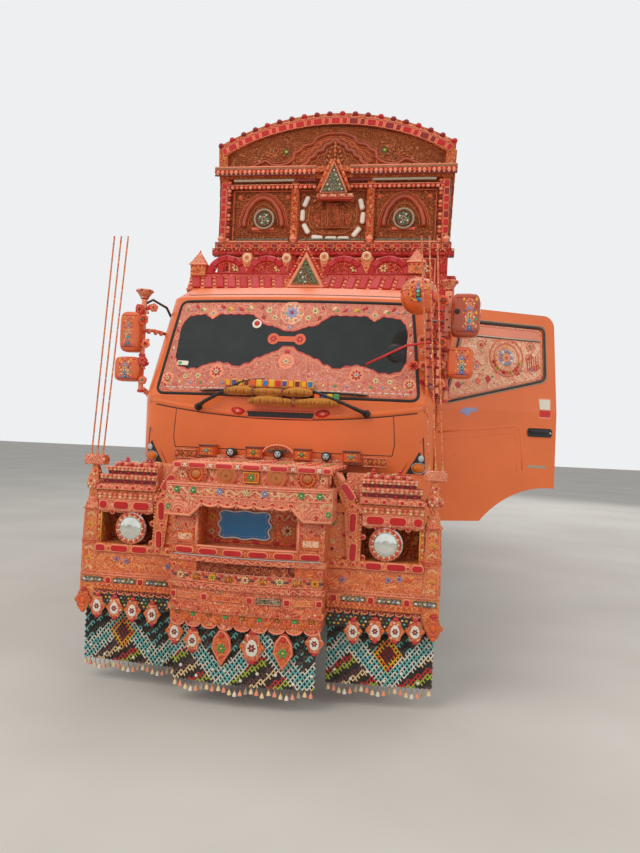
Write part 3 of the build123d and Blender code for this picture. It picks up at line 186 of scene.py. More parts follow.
def foil(name, grounds, pale, dark, accents=(), scale=11.0, lines=62.0,
         rough=0.34, metal=0.1, dust=0.06, drawn=0.75):
    """Cut reflective tape: patches of near tones under pale and dark flowing lines, with bright specks."""
    n = Nodes(name)
    wave, fine = n.swirls(scale, lines), n.swirls(scale * 2.3, lines * 0.8)
    ground = n.mix(n.steps(n.noise(scale * 0.6, 1.0), [(0.44, 0.0), (0.50, 1.0)]), grounds[0], grounds[1])
    ground = n.mix(n.steps(n.noise(scale * 1.7, 1.0), [(0.55, 0.0), (0.58, 1.0)]), ground, grounds[2])
    ground = n.mix(n.steps(fine, [(0.70, 0.0), (0.92, drawn * 0.55)]), ground, pale)
    ground = n.mix(n.steps(wave, [(0.04, drawn * 0.8), (0.22, 0.0)]), ground, dark)
    ground = n.mix(n.steps(wave, [(0.80, 0.0), (0.93, drawn)]), ground, pale)
    if accents:
        pick = n.add("ShaderNodeSeparateColor", {"Color": n.cells(scale * 4.2, output="Color")}).outputs[1]
        speck = n.ramp(pick, [(0.6 + 0.4 * i / len(accents), c) for i, c in enumerate(accents)], "CONSTANT")
        near = n.steps(n.cells(scale * 4.2), [(0.24, 1.0), (0.32, 0.0)])
        ground = n.mix(n.maths("MULTIPLY", near, n.steps(pick, [(0.60, 0.0), (0.61, 1.0)])), ground, speck)
    ground = n.mix(n.steps(n.noise(1.7), [(0.35, 0.0), (0.7, 0.22)]), ground, shade(grounds[0], 0.6))
    n.bump(n.maths("ADD", wave, n.maths("MULTIPLY", fine, 0.5)), 0.45, 0.003)
    return n.finish(dusty(n, ground, dust), rough, metal, Coat_Weight=0.15, Coat_Roughness=0.2)


def emboss(name, low, middle, high, scale=9.0, lines=46.0, rough=0.34, metal=0.45, dust=0.05, depth=0.008):
    """Thin sheet hammered from behind into flowing folds and dots, with painted shade in its hollows and
    painted highlights on top.
    """
    n = Nodes(name)
    wave, fine = n.swirls(scale, lines, 1.9), n.swirls(scale * 2.6, lines * 0.7)
    dots = n.steps(n.cells(scale * 5.5, jitter=0.7), [(0.2, 1.0), (0.42, 0.0)])
    height = n.maths("ADD", n.maths("MULTIPLY", wave, 0.62), n.maths("MULTIPLY", fine, 0.24))
    height = n.maths("ADD", height, n.maths("MULTIPLY", dots, 0.16))
    # The colour follows the relief's height: painted shade in the hollows, painted highlight on the tops.
    colour = n.ramp(height, [(0.14, low), (0.48, middle), (0.90, high)])
    colour = n.mix(n.steps(n.noise(1.9), [(0.35, 0.0), (0.7, 0.35)]), colour, shade(low, 1.6))
    n.bump(height, 0.9, depth)
    return n.finish(dusty(n, colour, dust), n.steps(fine, [(0.2, rough * 0.7), (0.8, rough * 1.5)]), metal)


def metal(name, colour, rough=0.18, scratch=0.12, dust=0.08):
    """Plated or bare metal with a drift of tarnish and fine scratches."""
    n = Nodes(name)
    tone = n.mix(n.steps(n.noise(12.0, 5.0), [(0.35, 0.0), (0.75, 0.6)]), colour, shade(colour, 0.55))
    roughness = n.steps(n.noise(70.0, 4.0, 1.0), [(0.3, rough), (0.8, min(1.0, rough + scratch))])
    n.bump(n.noise(120.0, 2.0), 0.05, 0.001)
    return n.finish(dusty(n, tone, dust), roughness, 1.0)


def lens(name, colour, rough=0.34, coat=0.06):
    """A moulded reflector: bright plastic over a grid of tiny prisms, each with a painted glint at its middle
    and painted shade at its edges.
    """
    n = Nodes(name)
    prism = n.cells(230.0, jitter=0.0)
    # Each prism's middle is painted lighter and its edges darker: painted glints and shade of the prisms.
    tone = n.mix(n.steps(prism, [(0.2, 0.0), (0.6, 1.0)]), shade(colour, 1.2), shade(colour, 0.72))
    tone = n.mix(n.steps(n.noise(7.0), [(0.35, 0.0), (0.7, 0.45)]), tone, shade(colour, 0.6))
    n.bump(prism, 0.3, 0.001)
    return n.finish(dusty(n, tone, 0.04), rough, 0.0, Coat_Weight=coat, Coat_Roughness=0.1)


def rubbery(name, colour, rough=0.75, dust=0.3):
    n = Nodes(name)
    tone = n.mix(n.noise(24.0, 4.0), shade(colour, 0.8), shade(colour, 1.4))
    n.bump(n.noise(150.0), 0.15, 0.001)
    return n.finish(dusty(n, tone, dust), rough)


def weave(name, colour, second, scale=260.0):
    n = Nodes(name)
    wave = n.add("ShaderNodeTexWave", {"Vector": n.place, "Scale": scale, "Distortion": 1.5, "Detail": 2.0},
                 bands_direction="X").outputs["Fac"]
    tone = n.mix(n.maths("MULTIPLY", wave, n.noise(30.0)), colour, second)
    n.bump(wave, 0.5, 0.002)
    return n.finish(tone, 0.9, 0.0, Sheen_Weight=0.2)


def planks(name, colour, dark):
    n = Nodes(name)
    stretch = n.add("ShaderNodeMapping", {"Vector": n.place, "Scale": (9.0, 0.7, 9.0)}).outputs[0]
    grain = n.add("ShaderNodeTexNoise",
                  {"Vector": stretch, "Scale": 4.0, "Detail": 6.0, "Distortion": 1.2}).outputs["Fac"]
    n.bump(grain, 0.4, 0.004)
    return n.finish(dusty(n, n.ramp(grain, [(0.3, dark), (0.7, colour)]), 0.25), 0.8)


def glass(name, colour, see=0.5):
    """Tinted glass with a film of dust."""
    n = Nodes(name)
    film = n.steps(n.noise(6.0, 4.0), [(0.3, 0.0), (0.9, 0.10)])
    tone = n.mix(film, colour, rgb(120, 128, 124))
    roughness = n.steps(n.noise(18.0), [(0.3, 0.04), (0.8, 0.12)])
    return n.finish(tone, roughness, 0.0, Transmission_Weight=see, IOR=1.35)


CREAM, GOLD, GREEN, RED = rgb(238, 214, 178), rgb(228, 160, 60), rgb(84, 160, 84), rgb(196, 24, 26)

MATS = {
    "cab": paint("cab_paint", rgb(234, 112, 50), rough=0.3, coat=0.3, dust=0.06, grain=0.06),
    "orange": paint("orange_enamel", rgb(230, 96, 34)),
    "salmon": paint("salmon_enamel", rgb(226, 104, 66)),
    "pink": paint("pink_enamel", rgb(238, 142, 112), grain=0.14),
    "rim": paint("tile_rim", rgb(244, 150, 112), grain=0.12),
    "white": paint("white_enamel", rgb(232, 222, 204), dust=0.12),
    "cream": paint("cream_enamel", rgb(236, 204, 150)),
    "grey": paint("grey_enamel", rgb(164, 150, 124)),
    "green": paint("green_enamel", rgb(70, 156, 78)),
    "lime": paint("lime_enamel", rgb(170, 184, 56)),
    "yellow": paint("yellow_enamel", rgb(236, 176, 36)),
    "blue": paint("blue_enamel", rgb(28, 120, 178)),
    "lilac": paint("lilac_enamel", rgb(150, 152, 190)),
    "turquoise": paint("turquoise_enamel", rgb(110, 192, 186)),
    "violet": paint("violet_enamel", rgb(84, 70, 140)),
    "brown": paint("brown_enamel", rgb(126, 66, 46)),
    "plum": paint("plum_enamel", rgb(92, 56, 60)),
    "maroon": paint("maroon_enamel", rgb(118, 16, 20)),
    "black": paint("black_enamel", rgb(24, 24, 25), rough=0.45, coat=0.1),
    "chassis": paint("chassis_enamel", rgb(44, 42, 42), rough=0.55, coat=0.0, dust=0.3),
    "red": paint("red_enamel", rgb(206, 26, 26)),
    "tile": lens("red_tile", rgb(204, 12, 16)),
    "rose": lens("rose_tile", rgb(214, 44, 48), 0.3, 0.2),
    "darktile": lens("dark_red_tile", rgb(150, 14, 18), 0.2),
    "amber": lens("amber_lens", rgb(240, 116, 12)),
    "clear": lens("clear_lens", rgb(206, 214, 212), 0.05),
    "chrome": metal("chrome_plate", (0.62, 0.63, 0.64, 1), 0.08),
    "steel": metal("bare_steel", (0.34, 0.33, 0.32, 1), 0.35),
    "brass": metal("brass_sheet", (0.70, 0.36, 0.12, 1), 0.3),
    "copper": metal("copper_ridge", (0.70, 0.23, 0.09, 1), 0.3),
    "mirror": metal("mirror_glass", (0.78, 0.80, 0.82, 1), 0.02, 0.02, 0.05),
    "emboss": emboss("embossed_copper", rgb(96, 30, 12), rgb(196, 86, 34), rgb(244, 162, 84)),
    "umber": paint("umber_enamel", rgb(172, 70, 34), rough=0.18, coat=0.5, grain=0.2),
    "gloss": paint("glossy_orange", rgb(226, 96, 34), rough=0.16, coat=0.5, grain=0.15),
    "relief": emboss("carved_sheet", rgb(112, 40, 16), rgb(190, 92, 44),
                     rgb(224, 146, 88), 12.0, 60.0, metal=0.30),
    "emboss_dark": emboss("embossed_brown", rgb(84, 22, 12), rgb(158, 58, 30),
                          rgb(226, 128, 84), 12.0, metal=0.35),
    "emboss_red": emboss("embossed_red", rgb(140, 20, 16), rgb(218, 58, 42),
                         rgb(244, 128, 90), 11.0, metal=0.25),
    "emboss_orange": emboss("embossed_orange", rgb(168, 54, 20), rgb(232, 106, 48),
                            rgb(250, 176, 106), 13.0, metal=0.2),
    "gilt": emboss("embossed_gold", rgb(128, 62, 16), rgb(220, 130, 46), rgb(248, 200, 110), 16.0, metal=0.4),
    "silver": emboss("embossed_silver", rgb(58, 54, 40), rgb(146, 136, 104),
                     rgb(222, 212, 180), 22.0, metal=0.4),
    "tape": foil("salmon_tape", [rgb(214, 82, 40), rgb(228, 104, 54), rgb(196, 62, 34)], rgb(248, 176, 126),
                 rgb(160, 36, 20), [CREAM, RED, GREEN, GOLD]),
    "tape_hood": foil("hood_tape", [rgb(228, 110, 74), rgb(236, 126, 86), rgb(216, 92, 62)],
                      rgb(250, 190, 148), rgb(186, 60, 40), [CREAM, GOLD], drawn=0.8),
    "tape_orange": foil("orange_tape", [rgb(226, 98, 42), rgb(236, 118, 56), rgb(212, 80, 36)],
                        rgb(250, 178, 112), rgb(170, 52, 24), [GOLD, RED, CREAM], 13.0),
    "tape_apron": foil("apron_tape", [rgb(214, 74, 24), rgb(224, 90, 30), rgb(194, 58, 22)],
                       rgb(240, 146, 76), rgb(160, 36, 16), [GOLD, RED], 13.0),
    "tape_red": foil("red_tape", [rgb(206, 40, 34), rgb(220, 66, 48), rgb(184, 26, 26)], rgb(244, 140, 108),
                     rgb(130, 14, 14), [CREAM, GOLD], 14.0),
    "sticker": foil("screen_sticker", [rgb(214, 100, 74), rgb(222, 116, 88), rgb(202, 80, 60)],
                    rgb(240, 182, 150), rgb(192, 60, 50),
                    [rgb(236, 216, 206), rgb(150, 152, 190), rgb(236, 216, 206), rgb(150, 170, 116)], 17.0),
    "lining": foil("door_lining", [rgb(238, 158, 116), rgb(244, 182, 142), rgb(232, 132, 96)],
                   rgb(250, 206, 170), rgb(208, 96, 68), [CREAM, RED, GREEN], 9.0, rough=0.2),
    "green_foil": foil("green_foil", [rgb(64, 140, 72), rgb(96, 168, 92), rgb(44, 112, 60)],
                       rgb(196, 214, 150), rgb(30, 70, 40), [CREAM, GOLD], 20.0),
    "blue_foil": foil("blue_foil", [rgb(140, 146, 178), rgb(104, 124, 166), rgb(176, 166, 184)],
                      rgb(228, 222, 216), rgb(90, 90, 130), [CREAM, GREEN], 20.0),
    "rubber": rubbery("black_rubber", rgb(26, 25, 25), 0.6, 0.12),
    "tyre": rubbery("tyre_rubber", rgb(34, 33, 33)),
    "fabric": weave("seat_cloth", rgb(150, 26, 32), rgb(70, 16, 22)),
    "straw": weave("yellow_padding", rgb(226, 152, 56), rgb(168, 96, 26)),
    "padding_red": weave("red_padding", rgb(196, 30, 36), rgb(120, 16, 24)),
    "wood": planks("deck_planks", rgb(150, 106, 66), rgb(84, 54, 32)),
    "lampglass": metal("lamp_reflector", rgb(236, 236, 228), 0.10),
    "screen": glass("screen_glass", rgb(50, 56, 54), 0.30),
    "pane": glass("door_glass", rgb(96, 106, 104), 0.3),
    "interior": rubbery("cab_trim", rgb(58, 54, 50), 0.8, 0.1),
}


# Meshes.
class Skin:
    """A surface to dress: a function of (across, up) gives its point, and h stands off it on the outside."""

    def __init__(self, point):
        self.point = point

    def at(self, x, y, h=0.0):
        here = self.point(x, y)
        if not h:
            return here
        step = 1e-3
        across, up = self.point(x + step, y) - here, self.point(x, y + step) - here
        return here + across.cross(up).normalized() * h


def flat(origin, across=(1, 0, 0), up=(0, 0, 1)):
    o, a, u = Vector(origin), Vector(across), Vector(up)
    return Skin(lambda x, y: o + a * x + u * y)


class Piece:
    """Faces gathered into one object of several materials, which then rides on a body."""

    def __init__(self, name, body="chassis", slot=None, matrix=None):
        self.name, self.body, self.slot, self.matrix = name, body, slot, matrix
        self.verts, self.faces, self.marks, self.smooth, self.keys = [], [], [], [], []

    def put(self, points, faces, key, smooth=False):
        base = len(self.verts)
        self.verts.extend(points)
        if key not in self.keys:
            self.keys.append(key)
        mark = self.keys.index(key)
        for face in faces:
            self.faces.append([base + i for i in face])
            self.marks.append(mark)
            self.smooth.append(smooth)

    def done(self, *replaced):
        mesh = bpy.data.meshes.new(self.name)
        places = [(self.matrix @ v if self.matrix else v) + SHIFT for v in self.verts]
        flipped = self.matrix is not None and self.matrix.determinant() < 0
        faces = [face[::-1] for face in self.faces] if flipped else self.faces
        mesh.from_pydata(places, [], faces)
        for key in self.keys:
            mesh.materials.append(MATS[key])
        mesh.polygons.foreach_set("material_index", self.marks)
        mesh.polygons.foreach_set("use_smooth", self.smooth)
        mesh.validate()
        mesh.update()
        made = bpy.data.objects.new(self.name, mesh)
        bpy.context.scene.collection.objects.link(made)
        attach(made, self.body)
        if replaced:
            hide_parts(*replaced)
        return made


def wind(points):
    """The points in anticlockwise order."""
    area = sum(a[0] * b[1] - b[0] * a[1] for a, b in zip(points, [*points[1:], points[0]]))
    return list(points) if area > 0 else list(reversed(points))


def inset(points, distance):
    """An anticlockwise outline drawn in by a distance."""
    made = []
    count = len(points)
    for i, (x, y) in enumerate(points):
        ax, ay = points[i - 1]
        bx, by = points[(i + 1) % count]
        ux, uy, vx, vy = x - ax, y - ay, bx - x, by - y
        ul, vl = math.hypot(ux, uy) or 1, math.hypot(vx, vy) or 1
        nx, ny = -uy / ul - vy / vl, ux / ul + vx / vl
        scale = nx * nx + ny * ny
        reach = distance * 2 / max(scale, 0.8)
        made.append((x + nx * reach, y + ny * reach))
    return made


def ring_faces(gaps, count):
    """The faces between rings of as many points, one ring after the other."""
    return [[r * count + i, r * count + (i + 1) % count, (r + 1) * count + (i + 1) % count,
             (r + 1) * count + i] for r in range(gaps) for i in range(count)]


def plate(piece, skin, outline, h0, h1, key, bevel=0.003):
    """A raised plate with a bevelled rim."""
    outline = wind(outline)
    n = len(outline)
    top = inset(outline, bevel)
    points = [skin.at(x, y, h0) for x, y in outline] + [skin.at(x, y, h1 - bevel) for x, y in outline]
    points += [skin.at(x, y, h1) for x, y in top]
    faces = ring_faces(2, n)
    faces.append([2 * n + i for i in range(n)])
    faces.append(list(reversed(range(n))))
    piece.put(points, faces, key)


def oblong(x, y, width, height, turn=0.0, corner=0.0, steps=3):
    """A rectangle's outline about its middle, turned by degrees, with round corners."""
    a = math.radians(turn)
    made = []
    for sx, sy, start in ((1, 1, 0), (-1, 1, 90), (-1, -1, 180), (1, -1, 270)):
        for k in range(steps + 1 if corner else 1):
            t = math.radians(start + (90 * k / steps if corner else 0))
            dx = sx * (width / 2 - corner) + (corner * math.cos(t) if corner else 0)
            dy = sy * (height / 2 - corner) + (corner * math.sin(t) if corner else 0)
            made.append((x + dx * math.cos(a) - dy * math.sin(a), y + dx * math.sin(a) + dy * math.cos(a)))
    return made


def round_outline(x, y, radius, count=24, wave=0.0, lobes=8, turn=0.0):
    """A circle, or a lobed one where wave is the lobes' depth."""
    made = []
    for i in range(count):
        a = TAU * i / count + math.radians(turn)
        r = radius * (1 + wave * abs(math.cos(lobes * (a - math.radians(turn)) / 2)) - wave / 2)
        made.append((x + r * math.cos(a), y + r * math.sin(a)))
    return made


def dome(piece, skin, x, y, radius, height, key, lift=0.0, seg=8, rings=2, ratio=1.0, turn=0.0):
    """A boss, round or drawn out to a petal by ratio and turn."""
    a0 = math.radians(turn)
    points = []
    for r in range(rings):
        t = math.pi / 2 * r / rings
        for i in range(seg):
            a = TAU * i / seg
            dx, dy = radius * math.cos(t) * math.cos(a), radius * math.cos(t) * math.sin(a) * ratio
            points.append(skin.at(x + dx * math.cos(a0) - dy * math.sin(a0),
                                  y + dx * math.sin(a0) + dy * math.cos(a0), lift + height * math.sin(t)))
    points.append(skin.at(x, y, lift + height))
    faces = ring_faces(rings - 1, seg)
    last = (rings - 1) * seg
    faces += [[last + i, last + (i + 1) % seg, rings * seg] for i in range(seg)]
    faces.append(list(reversed(range(seg))))
    piece.put(points, faces, key, True)


def even(path, step=None, count=None):
    """Points spaced evenly along a path, with the direction at each."""
    runs = [math.dist(a, b) for a, b in zip(path, path[1:])]
    total = sum(runs)
    count = count or max(1, round(total / step))
    made, i, gone = [], 0, 0.0
    for k in range(count + 1):
        want = total * k / count
        while i < len(runs) - 1 and gone + runs[i] < want - 1e-9:
            gone += runs[i]
            i += 1
        t = (want - gone) / (runs[i] or 1)
        (ax, ay), (bx, by) = path[i], path[i + 1]
        made.append((ax + (bx - ax) * t, ay + (by - ay) * t, math.atan2(by - ay, bx - ax)))
    return made


def beads(piece, skin, path, step, radius, keys, lift=0.0, seg=6, height=None):
    """A row of bosses along a path, their materials taken in turn."""
    keys = [keys] if isinstance(keys, str) else keys
    for i, (x, y, _) in enumerate(even(path, step)):
        dome(piece, skin, x, y, radius, height or radius, keys[i % len(keys)], lift, seg)


def ridge(piece, skin, path, width, height, key, lift=0.0, closed=False, taper=False):
    """A half-round moulding along a path."""
    n = len(path)
    section = [(-0.5, 0.0), (-0.36, 0.68), (0.0, 1.0), (0.36, 0.68), (0.5, 0.0)]
    points = []
    for i, (x, y) in enumerate(path):
        ax, ay = path[(i - 1) % n] if closed or i else (x, y)
        bx, by = path[(i + 1) % n] if closed or i < n - 1 else (x, y)
        dx, dy = bx - ax, by - ay
        length = math.hypot(dx, dy) or 1
        nx, ny = -dy / length, dx / length
        share = 1.0 if not taper else 0.25 + 0.75 * (1 - i / (n - 1))
        for s, t in section:
            points.append(skin.at(x + nx * s * width * share, y + ny * s * width * share,
                                  lift + t * height * share))
    k = len(section)
    faces = [[i * k + j + 1, i * k + j, ((i + 1) % n) * k + j, ((i + 1) % n) * k + j + 1]
             for i in range(n if closed else n - 1) for j in range(k - 1)]
    if not closed:
        faces += [list(range(k)), [(n - 1) * k + j for j in reversed(range(k))]]
    piece.put(points, faces, key, True)


def tiles(piece, skin, path, width, count, gap, h0, h1, keys, bevel=0.004):
    """Plates set one after the other along a path, each bent at its middle to follow it."""
    marks = even(path, count=count * 4)
    for i in range(count):
        run = [marks[4 * i + k] for k in range(5)]
        length = math.dist(run[0][:2], run[4][:2])
        trim = gap / 2 / length
        lower, upper = [], []
        across, up = run[4][0] - run[0][0], run[4][1] - run[0][1]
        for (x, y, _), a, share in ((run[0], run[0][2], trim), (run[2], run[2][2], 0),
                                    (run[4], run[3][2], -trim)):
            x0, y0 = x + share * across, y + share * up
            nx, ny = -math.sin(a), math.cos(a)
            lower.append((x0 - nx * width / 2, y0 - ny * width / 2))
            upper.append((x0 + nx * width / 2, y0 + ny * width / 2))
        plate(piece, skin, lower + upper[::-1], h0, h1, keys[i % len(keys)], bevel)


def arc(x, y, radius, start, end, count=16, ratio=1.0):
    turns = [math.radians(start + (end - start) * i / count) for i in range(count + 1)]
    return [(x + radius * math.cos(a), y + radius * ratio * math.sin(a)) for a in turns]


def circle(x, y, radius, count, ratio=1.0):
    """A closed ring's points."""
    return arc(x, y, radius, 0, 360, count, ratio)[:-1]


def oval(x, y, across, up, count):
    return [(x + across * math.cos(TAU * k / count), y + up * math.sin(TAU * k / count))
            for k in range(count)]


def line(x0, y0, x1, y1, count=1):
    return [(x0 + (x1 - x0) * i / count, y0 + (y1 - y0) * i / count) for i in range(count + 1)]


def level(x0, x1, y, count=1):
    return line(x0, y, x1, y, count)


def foiled(path, lobes, depth, steps=5):
    """A path broken into scallops that bulge to its left."""
    marks = even(path, count=lobes)
    made = []
    for (x0, y0, _), (x1, y1, _) in zip(marks, marks[1:]):
        dx, dy = x1 - x0, y1 - y0
        for k in range(steps):
            t = k / steps
            b = math.sin(math.pi * t) * depth
            length = math.hypot(dx, dy) or 1
            made.append((x0 + dx * t - dy / length * b, y0 + dy * t + dx / length * b))
    return made + [marks[-1][:2]]


def ogee(x, y, half, rise, count=12):
    """A pointed arch from left foot to right foot."""
    left = []
    for i in range(count + 1):
        t = i / count
        left.append((x - half * math.cos(t * math.pi / 2) ** 0.8,
                     y + rise * (math.sin(t * math.pi / 2) * 0.82 + 0.18 * t ** 5)))
    return left + [(2 * x - a, b) for a, b in reversed(left[:-1])]


def spiral(x, y, radius, start, turns, count=16):
    """A volute that winds in."""
    made = []
    for i in range(count + 1):
        reach, a = radius * (1 - 0.82 * i / count), math.radians(start + 360 * turns * i / count)
        made.append((x + reach * math.cos(a), y + reach * math.sin(a)))
    return made


def flower(piece, skin, x, y, radius, petals, key, heart, lift=0.0, height=None, turn=0.0):
    """Petals round a boss."""
    height = height or radius * 0.3
    for i in range(petals):
        a = TAU * i / petals + math.radians(turn)
        dome(piece, skin, x + radius * 0.6 * math.cos(a), y + radius * 0.6 * math.sin(a), radius * 0.4,
             height * 0.7, key, lift, 8, 2, math.sin(math.pi / petals) * 1.45, math.degrees(a))
    dome(piece, skin, x, y, radius * 0.3, height, heart, lift)


def medallion(piece, skin, x, y, radius, rim, ground, motif, heart, lift=0.0, petals=8, pearls=None):
    """A ringed disc with a flower in it."""
    plate(piece, skin, round_outline(x, y, radius * 0.96), lift, lift + radius * 0.08, ground, radius * 0.03)
    ridge(piece, skin, circle(x, y, radius * 0.88, 24), radius * 0.24, radius * 0.2, rim, lift, True)
    flower(piece, skin, x, y, radius * 0.66, petals, motif, heart, lift + radius * 0.08, radius * 0.14)
    if pearls:
        beads(piece, skin, arc(x, y, radius * 0.88, 0, 360, 24), TAU * radius * 0.88 / 18,
              radius * 0.06, pearls, lift + radius * 0.16)


def block(piece, x0, x1, y0, y1, z0, z1, key, bevel=0.004):
    """A box with bevelled edges."""
    lo = (min(x0, x1), min(y0, y1), min(z0, z1))
    hi = (max(x0, x1), max(y0, y1), max(z0, z1))
    b = min(bevel, *((h - l) * 0.45 for l, h in zip(lo, hi)))
    centre = Vector([(l + h) / 2 for l, h in zip(lo, hi)])
    points, index = [], {}
    for sides in product((0, 1), repeat=3):
        for axis in range(3):
            p = [hi[i] if side else lo[i] for i, side in enumerate(sides)]
            for other in range(3):
                if other != axis:
                    p[other] += -b if sides[other] else b
            index[(*sides, axis)] = len(points)
            points.append(Vector(p))

    def outward(face):
        """The face, wound so that it looks out of the box."""
        p, q, r = (points[i] for i in face[:3])
        return face if (q - p).cross(r - p).dot(p - centre) > 0 else face[::-1]

    def corner(axis, side, others, marks, facet):
        """The point that a corner has on one of its three facets."""
        sides = [0, 0, 0]
        sides[axis], sides[others[0]], sides[others[1]] = side, *marks
        return index[(*sides, facet)]

    faces = []
    axes = [(axis, [i for i in range(3) if i != axis]) for axis in range(3)]
    for axis, others in axes:
        for side in (0, 1):
            faces.append(outward([corner(axis, side, others, marks, axis)
                                  for marks in ((0, 0), (1, 0), (1, 1), (0, 1))]))
    for axis, (u, v) in axes:
        for marks in product((0, 1), repeat=2):
            ends = ((0, u), (1, u), (1, v), (0, v))
            faces.append(outward([corner(axis, side, (u, v), marks, facet) for side, facet in ends]))
    for sides in product((0, 1), repeat=3):
        faces.append(outward([index[(*sides, axis)] for axis in range(3)]))
    piece.put(points, faces, key)


def turned(piece, foot, axis, profile, keys, seg=14):
    """A lathe-turned piece: (radius, distance) pairs along an axis, with one material or one a step."""
    o, z = Vector(foot), Vector(axis).normalized()
    x = z.orthogonal().normalized()
    y = z.cross(x)
    keys = [keys] * (len(profile) - 1) if isinstance(keys, str) else keys
    rings = [[o + z * d + (x * math.cos(TAU * i / seg) + y * math.sin(TAU * i / seg)) * r for i in range(seg)]
             for r, d in profile]
    for a, b, key in zip(rings, rings[1:], keys):
        piece.put(a + b, [[i, (i + 1) % seg, seg + (i + 1) % seg, seg + i] for i in range(seg)], key, True)
    piece.put(rings[0], [list(reversed(range(seg)))], keys[0])
    piece.put(rings[-1], [list(range(seg))], keys[-1])


def tube(piece, path, radius, key, seg=8, radii=None):
    """A round bar along points in space."""
    path = [Vector(p) for p in path]
    side = None
    rings = []
    for i, p in enumerate(path):
        ahead = (path[min(i + 1, len(path) - 1)] - path[max(i - 1, 0)]).normalized()
        side = ahead.orthogonal().normalized() if side is None else (side
                                                                     - ahead * side.dot(ahead)).normalized()
        up = ahead.cross(side)
        r = radii[i] if radii else radius
        rings.append([p + (side * math.cos(TAU * k / seg) + up * math.sin(TAU * k / seg)) * r
                      for k in range(seg)])
    points = [v for ring in rings for v in ring]
    faces = ring_faces(len(path) - 1, seg)
    faces += [list(reversed(range(seg))), [(len(path) - 1) * seg + k for k in range(seg)]]
    piece.put(points, faces, key, True)


def patch(piece, skin, x0, x1, y0, y1, nx, ny, h0, h1, key, smooth=True):
    """A sheet of some thickness that follows a curved surface."""
    cols, rows = nx + 1, ny + 1
    points = [skin.at(x0 + (x1 - x0) * i / nx, y0 + (y1 - y0) * j / ny, h) for h in (h1, h0)
              for j in range(rows) for i in range(cols)]
    top = [[j * cols + i, j * cols + i + 1, (j + 1) * cols + i + 1, (j + 1) * cols + i]
           for j in range(ny) for i in range(nx)]
    under = [[cols * rows + v for v in reversed(face)] for face in top]
    rim = ([j * cols for j in reversed(range(rows))] + [i for i in range(1, cols)]
           + [j * cols + nx for j in range(1, rows)] + [ny * cols + i for i in reversed(range(1, nx))])
    walls = [[a + cols * rows, b + cols * rows, b, a] for a, b in zip(rim, [*rim[1:], rim[0]])]
    piece.put(points, top, key, smooth)
    piece.put(points, under + walls, key)


# Skins of the truck.
def on(skin, lift):
    return Skin(lambda x, y: skin.at(x, y, lift))


LEVELS = [(1.050, 0.022, 1.092), (1.900, 0.000, 1.092), (1.955, 0.020, 1.086),
          (2.690, 0.294, 1.010), (2.790, 0.430, 0.942)]


def cab_level(z, column):
    """The cab's front line (1) or half width (2) at a height."""
    for low, high in zip(LEVELS, LEVELS[1:]):
        if z <= high[0] or high is LEVELS[-1]:
            t = (z - low[0]) / (high[0] - low[0])
            return low[column] + (high[column] - low[column]) * t


def cab_face(x, z):
    edge = cab_level(z, 2) - 0.160
    y = cab_level(z, 1) + 0.060 * (min(abs(x), edge) / edge) ** 2
    over = min(abs(x) - edge, 0.159)
    return Vector((x, y + (0.160 - math.sqrt(0.160 ** 2 - over ** 2) if over > 0 else 0), z))


def bowed(front, half, z0=0.0):
    radius = (half ** 2 + 0.05 ** 2) / 0.1
    return Skin(lambda x,
                z: Vector((x, front + radius - math.sqrt(radius ** 2 - min(abs(x), half) ** 2), z + z0)))


FACE = Skin(cab_face)
CAB_SIDE = Skin(lambda y, z: Vector((cab_level(z, 2), y, z)))
BULGE, CANOPY = bowed(-0.850, 0.465), bowed(-0.895, 0.510)
WING, RIB = flat((0, -0.625, 0)), flat((0, -0.644, 0))
MIRROR_X = Matrix.Scale(-1, 4, (1, 0, 0))


# Ornament that repeats.
def swags(piece, skin, x0, x1, y, count, drop, key, dot, lift=0.0, height=0.012, rim=None):
    """A row of round-footed tabs, each with a boss."""
    step = (x1 - x0) / count
    half = step * 0.48
    for i in range(count):
        x = x0 + step * (i + 0.5)
        foot = arc(x, y - drop * 0.35, half, 180, 360, 8, drop * 0.65 / half)
        plate(piece, skin, [(x - half, y), *foot, (x + half, y)], lift, lift + height, key)
        if rim:
            ridge(piece, skin, arc(x, y - drop * 0.3, half * 0.8, 180, 360, 8, drop * 0.55 / half),
                  step * 0.13, height * 0.6, rim, lift + height)
        if dot:
            dome(piece, skin, x, y - drop * 0.4, step * 0.17, height * 0.9, dot, lift + height)


def garland(piece, skin, path, step, radius, keys, heart="cream", lift=0.0, petals=6, leaf="green"):
    """Flowers along a path with a leaf boss between each two."""
    marks = even(path, step)
    for i, (x, y, _) in enumerate(marks):
        flower(piece, skin, x, y, radius, petals, keys[i % len(keys)], heart, lift)
    for (ax, ay, _), (bx, by, _) in zip(marks, marks[1:]):
        dome(piece, skin, (ax + bx) / 2, (ay + by) / 2, radius * 0.42, radius * 0.16, leaf, lift, 6, 2, 0.5,
             math.degrees(math.atan2(by - ay, bx - ax)))


def scroll(piece, skin, x, y, size, key, leaf, flip=1, lift=0.0):
    """A volute with leaves along its back."""
    path = [(x + flip * (a - x), b) for a, b in spiral(x, y, size, 200, 1.15)]
    ridge(piece, skin, path, size * 0.22, size * 0.12, key, lift, taper=True)
    for k in range(5):
        a = math.radians(150 - 42 * k)
        dome(piece, skin, x - flip * size * 1.18 * math.cos(a), y + size * 1.18 * math.sin(a), size * 0.24,
             size * 0.1, leaf, lift, 6, 2, 0.5, math.degrees(a) if flip < 0 else 180 - math.degrees(a))


def strip(piece, skin, x0, x1, y0, y1, height, key, count=16, foot=-0.001):
    """A flat raised band that follows a curved wall."""
    band(piece, skin, level(x0, x1, y1, count), level(x0, x1, y0, count), foot, height, key)


